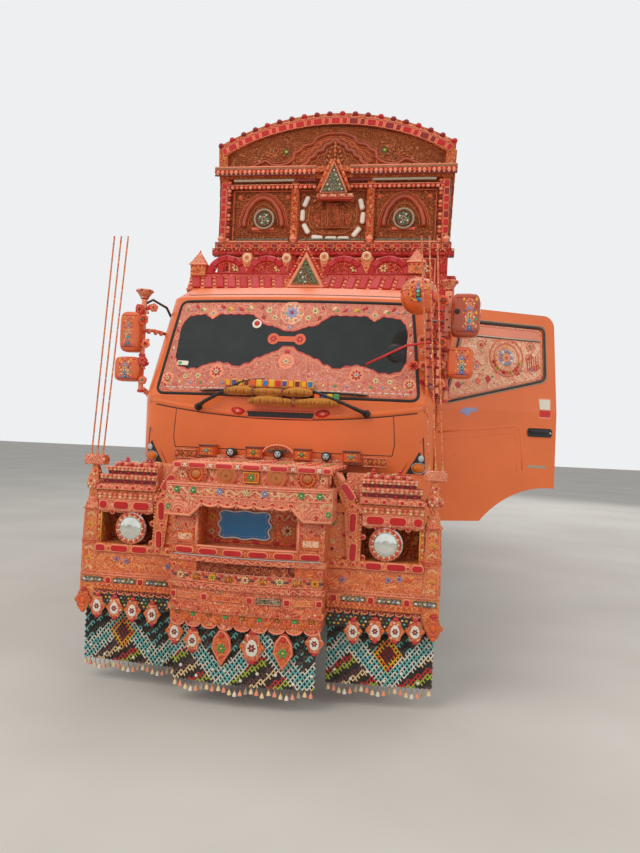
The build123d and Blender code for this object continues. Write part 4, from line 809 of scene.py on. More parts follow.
def gem(piece, skin, x, y, width, height, key="tile", turn=0.0, lift=0.0,
        corner=0.42, thick=0.010, rim="rim"):
    """A rounded reflector in a pale rim."""
    r = corner * min(width, height)
    plate(piece, skin, oblong(x, y, width + 0.012, height + 0.012, turn, r + 0.005),
          lift, lift + thick * 0.55, rim)
    plate(piece, skin, oblong(x, y, width, height, turn, r), lift + thick * 0.4, lift + thick, key, 0.004)


def stud(piece, skin, x, y, radius, key="red", lift=0.0, rim="rim"):
    """A round reflector in a pale rim."""
    dome(piece, skin, x, y, radius + 0.006, 0.005, rim, lift, 10)
    dome(piece, skin, x, y, radius, 0.011, key, lift, 10)


def vine(piece, skin, x0, x1, y, swing, turns, key, leaf, lift=0.0, width=0.007):
    """A waved stem with a leaf in each bend."""
    n = turns * 8
    ridge(piece, skin, [(x0 + (x1 - x0) * i / n, y + swing * math.sin(TAU * turns * i / n))
                        for i in range(n + 1)], width, width * 0.7, key, lift)
    for k in range(2 * turns):
        x = x0 + (x1 - x0) * (k + 0.5) / (2 * turns)
        dome(piece, skin, x, y + (0.3 if k % 2 else -0.3) * swing,
             swing * 0.5, width * 0.9, leaf, lift, 6, 2, 0.55, 90)


def fan(piece, skin, x, y, radius, key, heart, lift=0.0, rings=3, start=0, end=180):
    """Nested arcs round a boss, like a shell."""
    for k in range(rings):
        ridge(piece, skin, arc(x, y, radius * (1 - 0.29 * k), start, end, 10),
              radius * 0.15, radius * 0.1, key, lift)
    dome(piece, skin, x, y + radius * 0.12, radius * 0.18, radius * 0.16, heart, lift)


def pendant(piece, x, y, z, kind="egg", scale=1.0):
    """A lobed plaque hung by its rosy tab, with a pale egg and a flower, a plain boss, or a long lozenge."""
    hang = flat((x, y, z))
    w, h = 0.050 * scale, 0.062 * scale
    if kind == "lozenge":
        outline = [(0, -1.9 * h), (w * 1.25, -0.2 * h), (w * 1.05, 0.9 * h),
                   (0.3 * w, 1.75 * h), (-0.3 * w, 1.75 * h), (-w * 1.05, 0.9 * h), (-w * 1.25, -0.2 * h)]
        plate(piece, hang, outline, -0.004, 0.006, "tape_apron", 0.005)
        ridge(piece, hang, [(a * 0.86, b * 0.86) for a, b in outline], 0.009, 0.007, "pink", 0.005, True)
        flower(piece, hang, 0, -0.1 * h, w * 0.62, 6, "green", "yellow", 0.006, 0.008)
        dome(piece, hang, 0, 1.1 * h, w * 0.3, 0.010, "red", 0.006)
        return
    lobes = []
    for i in range(40):
        a = TAU * i / 40
        swell = 1 + 0.10 * math.cos(6 * a)
        lobes.append((w * swell * math.cos(a), h * swell * math.sin(a)))
    plate(piece, hang, lobes, -0.004, 0.004, "tape_apron" if kind == "boss" else "tape")
    dome(piece, hang, 0, 1.08 * h, w * 0.42, 0.010, "rose", -0.003, 10, 2, 0.8)
    dome(piece, hang, 0, -1.06 * h, w * 0.38, 0.009, "rose" if kind != "boss" else "orange",
         -0.003, 10, 2, 0.8)
    for sx in (-1, 1):
        dome(piece, hang, sx * 0.95 * w, 0, w * 0.26, 0.009, "amber", -0.003)
    turns = [TAU * i / 24 for i in range(24)]
    egg = [(0.54 * w * math.sin(a) * (1 - 0.16 * math.cos(a)), -0.04 * h + 0.62 * h * math.cos(a))
           for a in turns]
    if kind == "boss":
        ridge(piece, hang, egg, 0.007, 0.007, "salmon", 0.003, True)
        dome(piece, hang, 0, 0, w * 0.36, 0.009, "orange", 0.003, 12, 3, 1.3)
        return
    plate(piece, hang, egg, 0.003, 0.009, "white")
    flower(piece, hang, 0, -0.04 * h, w * 0.40, 6, "maroon", "pink", 0.009, 0.003)


def flow(points, steps=4):
    """A smooth curve through the points."""
    out = []
    for i in range(len(points) - 1):
        p0, p1, p2, p3 = points[max(i - 1, 0)], points[i], points[i + 1], points[min(i + 2, len(points) - 1)]
        for k in range(steps):
            t = k / steps
            out.append(tuple(0.5 * (2 * b + (c - a) * t + (2 * a - 5 * b + 4 * c - d) * t * t
                                    + (3 * b - a - 3 * c + d) * t ** 3)
                             for a, b, c, d in zip(p0, p1, p2, p3)))
    return [*out, points[-1]]


def rounded(corners, radius, gap=0.09):
    """A closed outline with rounded corners and points along its sides."""
    out = []
    n = len(corners)
    for i, (cx, cy) in enumerate(corners):
        (px, py), (qx, qy) = corners[i - 1], corners[(i + 1) % n]
        before, after = math.hypot(px - cx, py - cy), math.hypot(qx - cx, qy - cy)
        start = (cx + (px - cx) * radius / before, cy + (py - cy) * radius / before)
        end = (cx + (qx - cx) * radius / after, cy + (qy - cy) * radius / after)
        for k in range(6):
            t = k / 5
            out.append(tuple((1 - t) ** 2 * s + 2 * t * (1 - t) * c + t * t * e
                             for s, c, e in zip(start, (cx, cy), end)))
        stop = (qx + (cx - qx) * radius / after, qy + (cy - qy) * radius / after)
        count = max(1, round(math.hypot(stop[0] - end[0], stop[1] - end[1]) / gap))
        out += [(end[0] + (stop[0] - end[0]) * k / count, end[1] + (stop[1] - end[1]) * k / count)
                for k in range(1, count)]
    return out


def spiral_line(x, y, size, turns=1.6, count=16):
    """A curl that tightens towards its middle."""
    made = []
    for k in range(count + 1):
        reach, a = size * (1 - 0.8 * k / count), TAU * turns * k / count
        made.append((x + reach * math.cos(a), y + reach * math.sin(a)))
    return made


def frame_line(x0, x1, y0, y1):
    return [(x0, y0), (x1, y0), (x1, y1), (x0, y1)]


def frame_round(x0, x1, y0, y1):
    """A rectangle's corners, with the first again at the end."""
    return [*frame_line(x0, x1, y0, y1), (x0, y0)]


def moulding(piece, skin, x0, x1, y0, y1, width, height, key, lift=0.0):
    """A half-round moulding round a rectangle."""
    ridge(piece, skin, frame_line(x0, x1, y0, y1), width, height, key, lift, True)


def pearls_round(piece, skin, x, y, reach, count, radius, height, keys, lift=0.0):
    """Small bosses in a circle, their materials taken in turn."""
    for k in range(count):
        a = TAU * k / count
        dome(piece, skin, x + reach * math.cos(a), y + reach * math.sin(a),
             radius, height, keys[k % len(keys)], lift, 6)


def heap(piece, skin, x, y, across, up, radius, keys, turn):
    """Petals stacked to a triangle, five of them in the lowest row."""
    for k in range(5):
        row = 5 - k
        for j in range(row):
            dome(piece, skin, x + across * (j - (row - 1) / 2), y + up * k,
                 radius, 0.008, keys[(j + k) % 3], 0.005, 6, 2, 0.7, turn)


def brick(piece, skin, x, y, width, height, odd, thick=0.010, bevel=0.005, corner=0.016):
    """A reflector with round corners, of one of two reds."""
    plate(piece, skin, oblong(x, y, width, height, 0, corner), 0, thick, "tile" if odd else "rose", bevel)


def beside(x, y, z, reach, a):
    """A flat skin that looks away from an upright axis, at a distance from it."""
    return flat((x + reach * math.cos(a), y + reach * math.sin(a), z), (-math.sin(a), math.cos(a), 0))


def lump(piece, centre, size, key, power=0.55, seg=18, rings=9):
    """A closed rounded block: a ball squared off by power."""
    def squared(v):
        return math.copysign(abs(v) ** power, v)

    middle = Vector(centre)
    wide, deep, tall = size
    points = []
    for r in range(1, rings):
        b = -math.pi / 2 + math.pi * r / rings
        out, up = squared(math.cos(b)), squared(math.sin(b))
        for i in range(seg):
            a = TAU * i / seg
            p = Vector((out * squared(math.cos(a)), out * squared(math.sin(a)), up))
            points.append(middle + Vector((p.x * wide / 2, p.y * deep / 2, p.z * tall / 2)))
    bottom, top = len(points), len(points) + 1
    pole = Vector((0, 0, tall / 2))
    points += [middle - pole, middle + pole]
    faces = ring_faces(rings - 2, seg)
    faces += [[bottom, (i + 1) % seg, i] for i in range(seg)]
    last = (rings - 2) * seg
    faces += [[last + i, last + (i + 1) % seg, top] for i in range(seg)]
    piece.put(points, faces, key, True)


def band(piece, skin, upper, lower, h0, h1, key):
    """A flat strip between two paths of as many points."""
    n = len(upper)
    points = [skin.at(x, y, h) for h in (h1, h0) for path in (lower, upper) for x, y in path]
    top = [[i, i + 1, n + i + 1, n + i] for i in range(n - 1)]
    under = [[2 * n + v for v in reversed(face)] for face in top]
    rim = [*range(n), *reversed(range(n, 2 * n))]
    walls = [[a + 2 * n, b + 2 * n, b, a] for a, b in zip(rim, [*rim[1:], rim[0]])]
    piece.put(points, top + under + walls, key)


def wear(key, *names):
    for name in names:
        for slot in NODES[name].material_slots:
            slot.material = MATS[key]


wear("cab", "cab_front", "cab_roof", "cab_back", "cab_quarters", "door_left", "door_right")
wear("screen", "windscreen")
wear("pane", "door_glass_left", "door_glass_right")
wear("interior", "dashboard", "cab_floor")
wear("black", "steering_wheel", "grille", "wipers", "engine_block")
wear("chassis", "chassis_frame", "front_axle", "rear_axle", "front_springs",
     "rear_springs", "propeller_shaft", "bumper_beam", "knuckle_left",
     "knuckle_right", "rear_bumper", "rear_mudguards", "battery_box")
wear("steel", "fuel_tank", "cab_steps")
wear("tape", "bumper_centre")
wear("tape_hood", "bumper_canopy")
wear("tape_orange", "bumper_wings", "bumper_posts")
wear("emboss_orange", "crown_trim", "rear_frame")
wear("tape_hood", "wing_tiers")
wear("relief", "crown")
wear("emboss", "tailgate")
wear("blue", "number_panel")
wear("amber", "tail_lamps")
wear("wood", "body_floor")
wear("emboss_red", "body_side_left", "body_side_right", "body_front", "side_skirts")
wear("orange", "rim_front_left", "rim_front_right", "rim_rear_left", "rim_rear_right")


# Crown.
BOARD = flat((0, 2.100, 0))
CROWN_R, CROWN_Z = 2.5006, 2.4344
SHAFT, PANEL = on(BOARD, 0.040), on(BOARD, -0.0135)


def crown_arc(depth, reach=1.2, count=44):
    r = CROWN_R - depth
    turn = math.degrees(math.asin(reach / r))
    return arc(0, CROWN_Z, r, 90 + turn, 90 - turn, count)


def crown_rim(c):
    """Studs along the edge, then long and short reflectors in pale joints under it."""
    rib = on(BOARD, 0.046)
    for i, (x, y, _) in enumerate(even(crown_arc(0.004, 1.195), count=19)):
        dome(c, rib, x, y, 0.032, 0.030, "tile" if i % 3 == 1 else "darktile", -0.010, 10, 3)
    ridge(c, rib, crown_arc(0.036, 1.185), 0.016, 0.012, "tape_hood")
    beads(c, rib, crown_arc(0.022, 1.185), 0.026, 0.006, ["rose", "rim"], 0, 5)
    strip_top, strip_foot = crown_arc(0.048, 1.178), crown_arc(0.112, 1.168)
    band(c, rib, strip_top, strip_foot, -0.004, 0.004, "salmon")
    run = even(crown_arc(0.080, 1.150), count=39)
    for i, (x, y, a) in enumerate(run):
        key = "tile" if i < 22 or i % 2 else "darktile"
        if i % 3 == 0:
            gem(c, rib, x, y, 0.044, 0.056, key, math.degrees(a) - 6, 0.004, 0.14)
        elif i % 3 == 1:
            ahead = run[min(i + 1, len(run) - 1)]
            gem(c, rib, (x + ahead[0]) / 2, (y + ahead[1]) / 2, 0.082,
                0.056, key, math.degrees(a), 0.004, 0.14)
    beads(c, BOARD, crown_arc(0.124, 1.15), 0.022, 0.006, "rim", 0.0, 5)
    ridge(c, BOARD, crown_arc(0.142, 1.13), 0.010, 0.008, "copper")


def crown_field(c):
    """The carved field under the arch: a lobed onion arch in nested folds, with long scrolls."""
    onion = [(0, 4.690), (0.050, 4.642), (0.108, 4.618), (0.128, 4.572),
             (0.192, 4.556), (0.212, 4.512), (0.262, 4.490), (0.285, 4.440), (0.352, 4.410)]
    sweep = [(0, 4.745), (0.10, 4.738), (0.190, 4.700), (0.235, 4.640),
             (0.315, 4.622), (0.360, 4.575), (0.420, 4.545), (0.435, 4.480),
             (0.520, 4.430), (0.640, 4.425), (0.720, 4.470), (0.800, 4.440), (0.900, 4.402)]
    for s in (-1, 1):
        for offset, width, key in ((0.0, 0.046, "umber"), (-0.044, 0.014, "copper"),
                                   (0.040, 0.012, "copper"), (0.060, 0.009, "salmon")):
            fold = [(s * max(0, x + offset * 0.6), z + offset * 0.8)
                    for x, z in onion if z + offset * 0.8 > 4.39]
            ridge(c, BOARD, flow(fold), width, width * 0.62, key)
        for offset, width, key in ((0.0, 0.038, "umber"), (-0.034, 0.012, "copper"),
                                   (0.034, 0.010, "copper"), (-0.056, 0.009, "salmon")):
            fold = [(s * x, min(z + offset, CROWN_Z + math.sqrt((CROWN_R - 0.160) ** 2 - x * x)))
                    for x, z in sweep]
            ridge(c, BOARD, flow(fold), width, width * 0.7, key)
        for x, z, size, key in ((0.560, 4.560, 0.034, "copper"), (0.665, 4.540, 0.030, "salmon"),
                                (0.860, 4.480, 0.030, "copper"), (0.980, 4.420, 0.026, "salmon"),
                                (0.330, 4.470, 0.026, "copper"), (0.130, 4.460, 0.030, "copper"),
                                (0.420, 4.640, 0.020, "salmon")):
            scroll(c, BOARD, s * x, z, size, key, "rim", s)
        for k in range(7):
            x = s * (0.500 + 0.075 * k)
            dome(c, BOARD, x, 4.405 + 0.006 * (k % 2), 0.036, 0.018,
                 "salmon" if k % 2 else "copper", 0.0, 8, 2, 0.45, s * (12 - 4 * k))
        for k in range(6):
            a = math.radians(20 + 28 * k)
            dome(c, BOARD, s * (0.62 + 0.09 * math.cos(a)), 4.50 + 0.07 * math.sin(a),
                 0.028, 0.012, "copper", 0.0, 6, 2, 0.4, math.degrees(a) * s)
        dome(c, BOARD, s * 0.507, 4.565, 0.020, 0.016, "lime")
        ridge(c, BOARD, circle(s * 0.507, 4.565, 0.028, 12), 0.012, 0.010, "silver", 0.0, True)
        lump(c, BOARD.at(s * 0.790, 4.468, 0.012), (0.048, 0.026, 0.036), "copper", 1.0, 12, 6)
        dome(c, BOARD, s * 1.060, 4.418, 0.022, 0.02, "copper")
    for k in range(5):
        dome(c, BOARD, 0, 4.655 - 0.045 * k, 0.034 - 0.002 * k, 0.018,
             ("salmon", "copper")[k % 2], 0.0, 8, 2, 0.62, 90)
    for s in (-1, 1):
        for k in range(4):
            dome(c, BOARD, s * (0.040 + 0.012 * k), 4.600 - 0.045 * k,
                 0.030, 0.014, "copper", 0.0, 8, 2, 0.42, s * 55)


def crown_cornice(c):
    """The cornice, broken by the pediment: pale strip, scallops with red dots, a maroon strip as the painted
    shadow of a gap, a grey rail.
    """
    cornice, under = on(BOARD, 0.090), on(BOARD, 0.050)
    for s in (-1, 1):
        x0, x1 = s * 0.172, s * 1.232
        ridge(c, cornice, level(x0, x1, 4.378), 0.018, 0.012, "rim")
        ridge(c, cornice, level(x0, x1, 4.362), 0.008, 0.006, "grey")
        for k in range(22):
            x = s * (0.196 + 0.0478 * k)
            dome(c, cornice, x, 4.328, 0.023, 0.016, ("pink", "salmon", "rim")[k % 3], -0.002, 8, 2, 1.1)
            dome(c, cornice, x + s * 0.024, 4.342, 0.010, 0.010, "red", 0.002, 6)
            dome(c, cornice, x, 4.306, 0.010, 0.010, "cream", 0.0, 6)
        # A flat maroon strip under the scallops: painted shadow of the gap beneath them.
        plate(c, flat((0, 2.0097, 0)), frame_line(*sorted((x0, x1)), 4.288, 4.304), 0, 0.006, "maroon", 0.002)
        plate(c, under, frame_line(*sorted((s * 0.400, s * 1.035)), 4.238, 4.262), 0, 0.014, "grey")
        plate(c, under, frame_line(*sorted((s * 0.170, s * 0.385)), 4.238, 4.262), 0, 0.008, "maroon")
        ridge(c, under, level(x0, x1 * 0.90, 4.206), 0.014, 0.010, "tape_hood")
        for k in range(20):
            x = s * (0.190 + 0.0478 * k)
            dome(c, under, x, 4.182, 0.023, 0.012, ("pink", "salmon")[k % 2], -0.002, 8, 2, 0.9)
            dome(c, under, x + s * 0.024, 4.196, 0.009, 0.009, "red", 0.002, 6)


def crown_pediment(c):
    """A silver field in a beige frame on a dotted base."""
    middle = 0.017
    front = on(BOARD, 0.1203)
    plate(c, front, [(-0.104, 4.106), (0.138, 4.106), (middle, 4.372)], -0.02, 0.006, "silver", 0.002)
    ridge(c, front, [(-0.118, 4.098), (0.152, 4.098), (middle, 4.396)], 0.018, 0.014, "rim", 0.0, True)
    heap(c, front, middle, 4.128, 0.042, 0.048, 0.014, ("green", "white", "grey"), 40)
    for s in (-1, 1):
        ridge(c, front, line(middle + s * 0.168, 4.120, middle + s * 0.030, 4.430),
              0.030, 0.012, "tape_orange", -0.006)
        for k in range(5):
            dome(c, front, middle + s * (0.168 - 0.030 * k), 4.135 + 0.062 * k, 0.012, 0.012, "red", 0.004, 6)
    block(c, -0.152, 0.216, 1.984, 2.060, 4.052, 4.092, "tape_hood", 0.006)
    for k in range(8):
        dome(c, flat((0, 1.984, 0)), -0.130 + 0.0465 * k, 4.072, 0.014, 0.010, ("rose", "cream")[k % 2], 0, 6)
    block(c, -0.148, 0.212, 2.000, 2.060, 4.036, 4.052, "tape_red")


def crown_columns(c):
    """Stacked tiles outside, a bead column beside them, dotted pilasters inside; then the side panels."""
    for s in (-1, 1):
        for k in range(8):
            gem(c, SHAFT, s * 1.140, 3.662 + 0.0775 * k, 0.046, 0.062,
                "tile" if s < 0 or k % 3 else "darktile", 0, 0, 0.12)
        for k in range(15):
            z = 3.640 + 0.0425 * k
            dome(c, SHAFT, s * 1.082, z, 0.022, 0.016, ("pink", "darktile", "salmon")[k % 3])
        ridge(c, SHAFT, line(s * 1.173, 3.62, s * 1.177, 4.27), 0.010, 0.010, "brown")
        for k in range(13):
            z = 3.640 + 0.047 * k
            dome(c, SHAFT, s * 0.390, z, 0.012, 0.010, ("red", "rim")[k % 2], 0.0, 6)
        for dx in (-0.034, 0.034):
            beads(c, SHAFT, line(s * 0.390 + dx, 3.62, s * 0.390 + dx, 4.160),
                  0.018, 0.006, ["rose", "salmon"], 0, 5)
        # Side panels: a dotted frame, a pointed arch in nested folds on a pedestal, a ringed roundel.
        x = s * 0.725
        moulding(c, BOARD, x - 0.318, x + 0.318, 3.640, 4.160, 0.014, 0.010, "salmon")
        for k in range(4):
            step = 0.020 * k
            row = frame_round(x - 0.290 + step, x + 0.290 - step, 3.672 + step, 4.140 - step)
            beads(c, PANEL, row, 0.019, 0.0050, ["copper", "rim"] if k % 2 else ["salmon", "copper"], 0, 4)
        for half, foot, rise, width, key in ((0.196, 3.790, 0.322, 0.052, "umber"),
                                             (0.154, 3.795, 0.245, 0.014, "copper"),
                                             (0.236, 3.786, 0.362, 0.016, "umber"),
                                             (0.256, 3.786, 0.385, 0.009, "salmon")):
            ridge(c, PANEL, foiled(ogee(x, foot, half, rise), 7, 0.010), width, width * 0.75, key)
        block(c, x - 0.118, x + 0.118, 2.096, 2.116, 3.752, 3.786, "salmon", 0.006)
        ridge(c, PANEL, level(x - 0.165, x + 0.165, 3.742), 0.014, 0.010, "copper")
        mid = x if s > 0 else x + 0.018
        ring = on(BOARD, 0.0263)
        z = 3.862
        plate(c, ring, round_outline(mid, z, 0.072), 0, 0.006, "silver")
        for r, key in ((0.098, "grey"), (0.074, "brown")):
            ridge(c, ring, circle(mid, z, r, 28), 0.022 if key == "grey" else 0.006, 0.014, key, 0.0, True)
        pearls_round(c, ring, mid, z, 0.046, 12, 0.012, 0.006, ("green", "brown", "white"), 0.006)
        flower(c, ring, mid, z, 0.034, 6, "grey", "darktile", 0.006, 0.008)
        for sx in (-1, 1):
            stud(c, PANEL, x + sx * 0.255, 4.100, 0.020, "orange")
            flower(c, PANEL, x + sx * 0.255, 4.100, 0.024, 6, "salmon", "orange", 0.004, 0.010)
            for k in range(4):
                dome(c, PANEL, x + sx * (0.05 + 0.045 * k), 4.135 - 0.020 * k,
                     0.020, 0.010, "copper", 0.0, 6, 2, 0.5, sx * 30)
        plate(c, SHAFT, frame_line(*sorted((s * 0.440, s * 1.095)), 3.612, 3.632), -0.02, 0.006, "rim")


def crown_middle(c):
    """White capsules in a horseshoe round a stepped relief."""
    for (x, z), turn in (((-0.276, 4.048), 66), ((-0.312, 3.905), 88), ((-0.270, 3.768), -60),
                         ((-0.151, 3.676), -6), ((-0.008, 3.665), 0), ((0.120, 3.665), 0),
                         ((0.251, 3.732), 52), ((0.312, 3.876), 86), ((0.292, 4.017), -74)):
        plate(c, PANEL, oblong(x, z, 0.118, 0.050, turn, 0.020), 0, 0.026, "white", 0.010)
        plate(c, PANEL, oblong(x, z, 0.126, 0.058, turn, 0.024), 0, 0.010, "umber")
    horseshoe = [(-0.222, 4.020), (-0.252, 3.900), (-0.215, 3.790), (-0.120, 3.726),
                 (0.0, 3.716), (0.120, 3.722), (0.208, 3.776), (0.252, 3.876), (0.232, 4.000)]
    ridge(c, PANEL, flow(horseshoe), 0.014, 0.012, "copper")
    for half, z0, z1, h, key in ((0.205, 3.767, 3.920, 0.010, "relief"),
                                 (0.120, 3.767, 3.960, 0.016, "relief"),
                                 (0.075, 3.767, 4.030, 0.020, "relief")):
        plate(c, PANEL, frame_line(-half, half, z0, z1), 0, h, key, 0.006)
        moulding(c, on(PANEL, h), -half + 0.008, half - 0.008, z0 + 0.008, z1 - 0.008, 0.008, 0.006, "copper")
    raised = on(PANEL, 0.020)
    for half, z0, z1, key in ((0.050, 3.800, 3.990, "salmon"), (0.030, 3.830, 3.960, "copper")):
        moulding(c, raised, -half, half, z0, z1, 0.008, 0.007, key)
    for s in (-1, 1):
        for x, z, r in ((0.095, 3.86, 0.018), (0.162, 3.84, 0.018),
                        (0.150, 3.90, 0.012), (0.097, 3.93, 0.012)):
            moulding(c, on(PANEL, 0.012), s * x - r, s * x + r, z - r * 1.4,
                     z + r * 1.4, 0.007, 0.006, "salmon")
        dome(c, PANEL, s * 0.185, 4.060, 0.040, 0.018, "copper", 0, 10, 2, 0.55, -s * 30)
        ridge(c, PANEL, flow([(s * 0.240, 4.110), (s * 0.150, 4.085),
                              (s * 0.120, 4.030), (s * 0.180, 3.985)]), 0.016, 0.012, "copper")
    moulding(c, BOARD, -0.350, 0.350, 3.640, 4.160, 0.010, 0.008, "salmon")
    plate(c, SHAFT, frame_line(-0.340, 0.340, 3.612, 3.630), -0.02, 0.006, "rim")
    for x0, x1 in ((-1.010, -0.440), (-0.330, 0.340), (0.450, 1.010)):
        plate(c, on(BOARD, 0.020), frame_line(x0, x1, 3.640, 3.660), 0, 0.010, "silver")


def crown_sill(c):
    """Leaning reflectors over a row of scallops, with four urns."""
    sill = on(BOARD, 0.070)
    for k in range(25):
        x = -1.152 + 0.096 * k
        gem(c, sill, x, 3.572, 0.058, 0.034, "tile" if k % 2 else "darktile", -8, 0, 0.15)
    ridge(c, sill, level(-1.205, 1.205, 3.604), 0.014, 0.012, "umber")
    for k in range(48):
        dome(c, sill, -1.175 + 0.05 * k, 3.540, 0.020, 0.012, ("umber", "salmon", "tile")[k % 3],
             -0.002, 6, 2, 0.8)
    for x in (-1.15, -0.39, 0.39, 1.15):
        turned(c, (x, 2.060, 3.600), (0, 0, 1), [(0.034, 0), (0.040, 0.010), (0.020, 0.022), (0.040, 0.044),
                                                 (0.036, 0.066), (0.012, 0.086), (0.002, 0.094)], "rim", 12)


def crown_back(c):
    """The returns at both ends and the timbers behind."""
    for s in (-1, 1):
        cheek = Skin(lambda y, z, s=s: Vector((s * (1.175 + (z - 3.55) * 0.0374), s * y, z)))
        at = (lambda y: y) if s > 0 else (lambda y: -y)
        tiles(c, cheek, line(at(2.16), 3.62, at(2.16), 4.58), 0.060, 8, 0.025, 0, 0.014, ["tile", "amber"])
        tiles(c, cheek, line(at(2.42), 3.62, at(2.42), 4.58), 0.060, 8, 0.025, 0, 0.014, ["amber", "tile"])
        for k in range(3):
            medallion(c, cheek, at(2.29), 3.78 + 0.30 * k, 0.075, "gilt", "tape_red", "cream", "blue")
            flower(c, cheek, at(2.29), 3.93 + 0.30 * k, 0.030, 5, "yellow", "red")
    back = flat((0, 2.4802, 0), (-1, 0, 0))
    ridge(c, back, arc(0, CROWN_Z, CROWN_R - 0.02, 62, 118, 40), 0.024, 0.010, "pink")
    for x in (-1.085, -0.725, -0.360, 0.0, 0.360, 0.725, 1.085):
        top = CROWN_Z + math.sqrt((CROWN_R - 0.045) ** 2 - x * x)
        block(c, x - 0.030, x + 0.030, 2.1405, 2.185, 3.592, top, "wood")
    for z in (3.70, 4.10, 4.50):
        block(c, -1.13, 1.13, 2.1405, 2.165, z - 0.035, z + 0.035, "wood")


def build_crown():
    c = Piece("crown_ornament", slot="crown_trim")
    for part in (crown_rim, crown_field, crown_cornice, crown_pediment,
                 crown_columns, crown_middle, crown_sill, crown_back):
        part(c)
    c.done()


def kiosk(piece, x, y, z, wide, tall, roof):
    """A little dotted box under a pointed roof."""
    block(piece, x - wide / 2, x + wide / 2, y - 0.050, y + 0.050, z, z + tall, "tape_orange", 0.006)
    front = flat((0, y - 0.050, 0))
    for dx in (-0.42, -0.14, 0.14, 0.42):
        for dz in (0.14, 0.86):
            dome(piece, front, x + wide * dx, z + tall * dz, 0.009,
                 0.008, "red" if dz > 0.5 else "pink", 0, 6)
    flower(piece, front, x, z + tall * 0.5, 0.024, 6, "salmon", "green", 0, 0.008)
    block(piece, x - wide * 0.58, x + wide * 0.58, y - 0.058, y + 0.056, z + tall, z + tall + 0.016, "rim")
    base = z + tall + 0.016
    points = [Vector((x + sx * wide * 0.50, y + sy * 0.050, base))
              for sx, sy in ((-1, -1), (1, -1), (1, 1), (-1, 1))] + [Vector((x, y, base + roof))]
    piece.put(points, [[0, 1, 4], [1, 2, 4], [2, 3, 4], [3, 0, 4], [3, 2, 1, 0]], "tape_hood")
    for k in range(5):
        t = (k + 0.3) / 5
        for sx in (-1, 1):
            lump(piece, Vector((x + sx * wide * 0.50 * (1 - t), y - 0.050 * (1 - t), base + roof * t)),
                 (0.010, 0.010, 0.010), ("rose", "rim")[k % 2], 1.0, 6, 4)
    lump(piece, Vector((x, y, base + roof)), (0.013, 0.013, 0.016), "rose", 1.0, 8, 5)


# Parapet on the cab's roof.
def parapet_base(p, slope):
    """The floor, the leaning front with its tiles, and the cheeks at both ends."""
    patch(p, slope, -0.96, 0.96, 0.0, 0.1836, 2, 1, -0.03, 0.0, "tape_orange", False)
    block(p, -0.96, 0.96, 0.60, 0.789, 2.7904, 2.812, "maroon")
    block(p, -0.958, 0.958, 0.655, 0.789, 2.806, 2.951, "tape_red")
    for s in (-1, 1):
        cheek = flat((s * 0.962, 0, 0), (0, s, 0))
        plate(p, cheek, [(s * 0.58, 2.797), (s * 0.79, 2.797), (s * 0.79, 2.95), (s * 0.68, 2.95)],
              -0.02, 0.0, "tape_red")
        flower(p, cheek, s * 0.71, 2.87, 0.05, 6, "yellow", "red")
        # Leaning tiles, each beside a pale joint with three small ones.
        for k in range(8):
            x = s * (0.185 + 0.100 * k)
            tile = [(x - s * 0.040, 0.024), (x + s * 0.024, 0.024),
                    (x + s * 0.050, 0.150), (x - s * 0.014, 0.150)]
            plate(p, slope, tile, 0, 0.016, "tile" if k % 2 else "rose", 0.006)
            ridge(p, slope, line(x + s * 0.042, 0.020, x + s * 0.070, 0.154), 0.026, 0.008, "rim")
            for t in (0.2, 0.5, 0.8):
                dome(p, slope, x + s * (0.042 + 0.028 * t), 0.020 + 0.134 * t, 0.011, 0.008, "tile", 0.006, 6)
    ridge(p, slope, level(-0.96, 0.96, 0.168), 0.018, 0.014, "rim")
    beads(p, slope, level(-0.96, 0.96, 0.010), 0.022, 0.007, ["rose", "orange"], 0, 5)


def parapet_arches(p, wall):
    """The ring arches, open to see through, each of six tiles."""
    arch_z = 2.952
    for x in (-0.652, -0.312, 0.322, 0.686):
        ring = arc(x, arch_z, 0.172, 0, 180, 20, 0.90) + arc(x, arch_z, 0.112, 180, 0, 20, 0.90)
        plate(p, wall, ring, -0.030, 0.006, "rose", 0.004)
        for k in range(6):
            a0, a1 = 30 * k + 2.5, 30 * k + 27.5
            tile = arc(x, arch_z, 0.167, a0, a1, 5, 0.90) + arc(x, arch_z, 0.118, a1, a0, 5, 0.90)
            plate(p, wall, tile, 0.004, 0.018, "tile" if k % 2 else "rose", 0.004)
        beads(p, wall, arc(x, arch_z, 0.107, 4, 176, 18, 0.90), 0.020, 0.007, ["orange", "rim"], 0.0, 5)
        for dx, r, key in ((-0.052, 0.030, "tile"), (0.0, 0.036, "rose"), (0.052, 0.030, "tile")):
            lump(p, Vector((x + dx, 0.690, 2.966)), (r, 0.022, r * 0.9), key, 1.0, 10, 6)


def parapet_rosettes(p, wall):
    """Rosettes on orange spandrels between the rings."""
    for x, z, half in ((-0.482, 3.085, 0.050), (-0.151, 3.082, 0.040),
                       (0.160, 3.095, 0.040), (0.504, 3.104, 0.050)):
        spandrel = [(x - 0.008, 2.955), (x + 0.008, 2.955), (x + half * 0.7, 3.04),
                    (x + half, 3.090), (x + half * 0.6, 3.128), (x - half * 0.6, 3.128),
                    (x - half, 3.090), (x - half * 0.7, 3.04)]
        plate(p, wall, spandrel, -0.024, 0.010, "tape_orange", 0.004)
        plate(p, wall, round_outline(x, z, 0.036, 24, 0.10), 0.008, 0.018, "cream", 0.004)
        flower(p, wall, x, z, 0.026, 8, "rim", "salmon", 0.018, 0.008)
        for k in range(3):
            dome(p, wall, x, 3.040 - 0.030 * k, 0.013 - 0.002 * k, 0.010, ("pink", "rose")[k % 2], 0.008, 6)


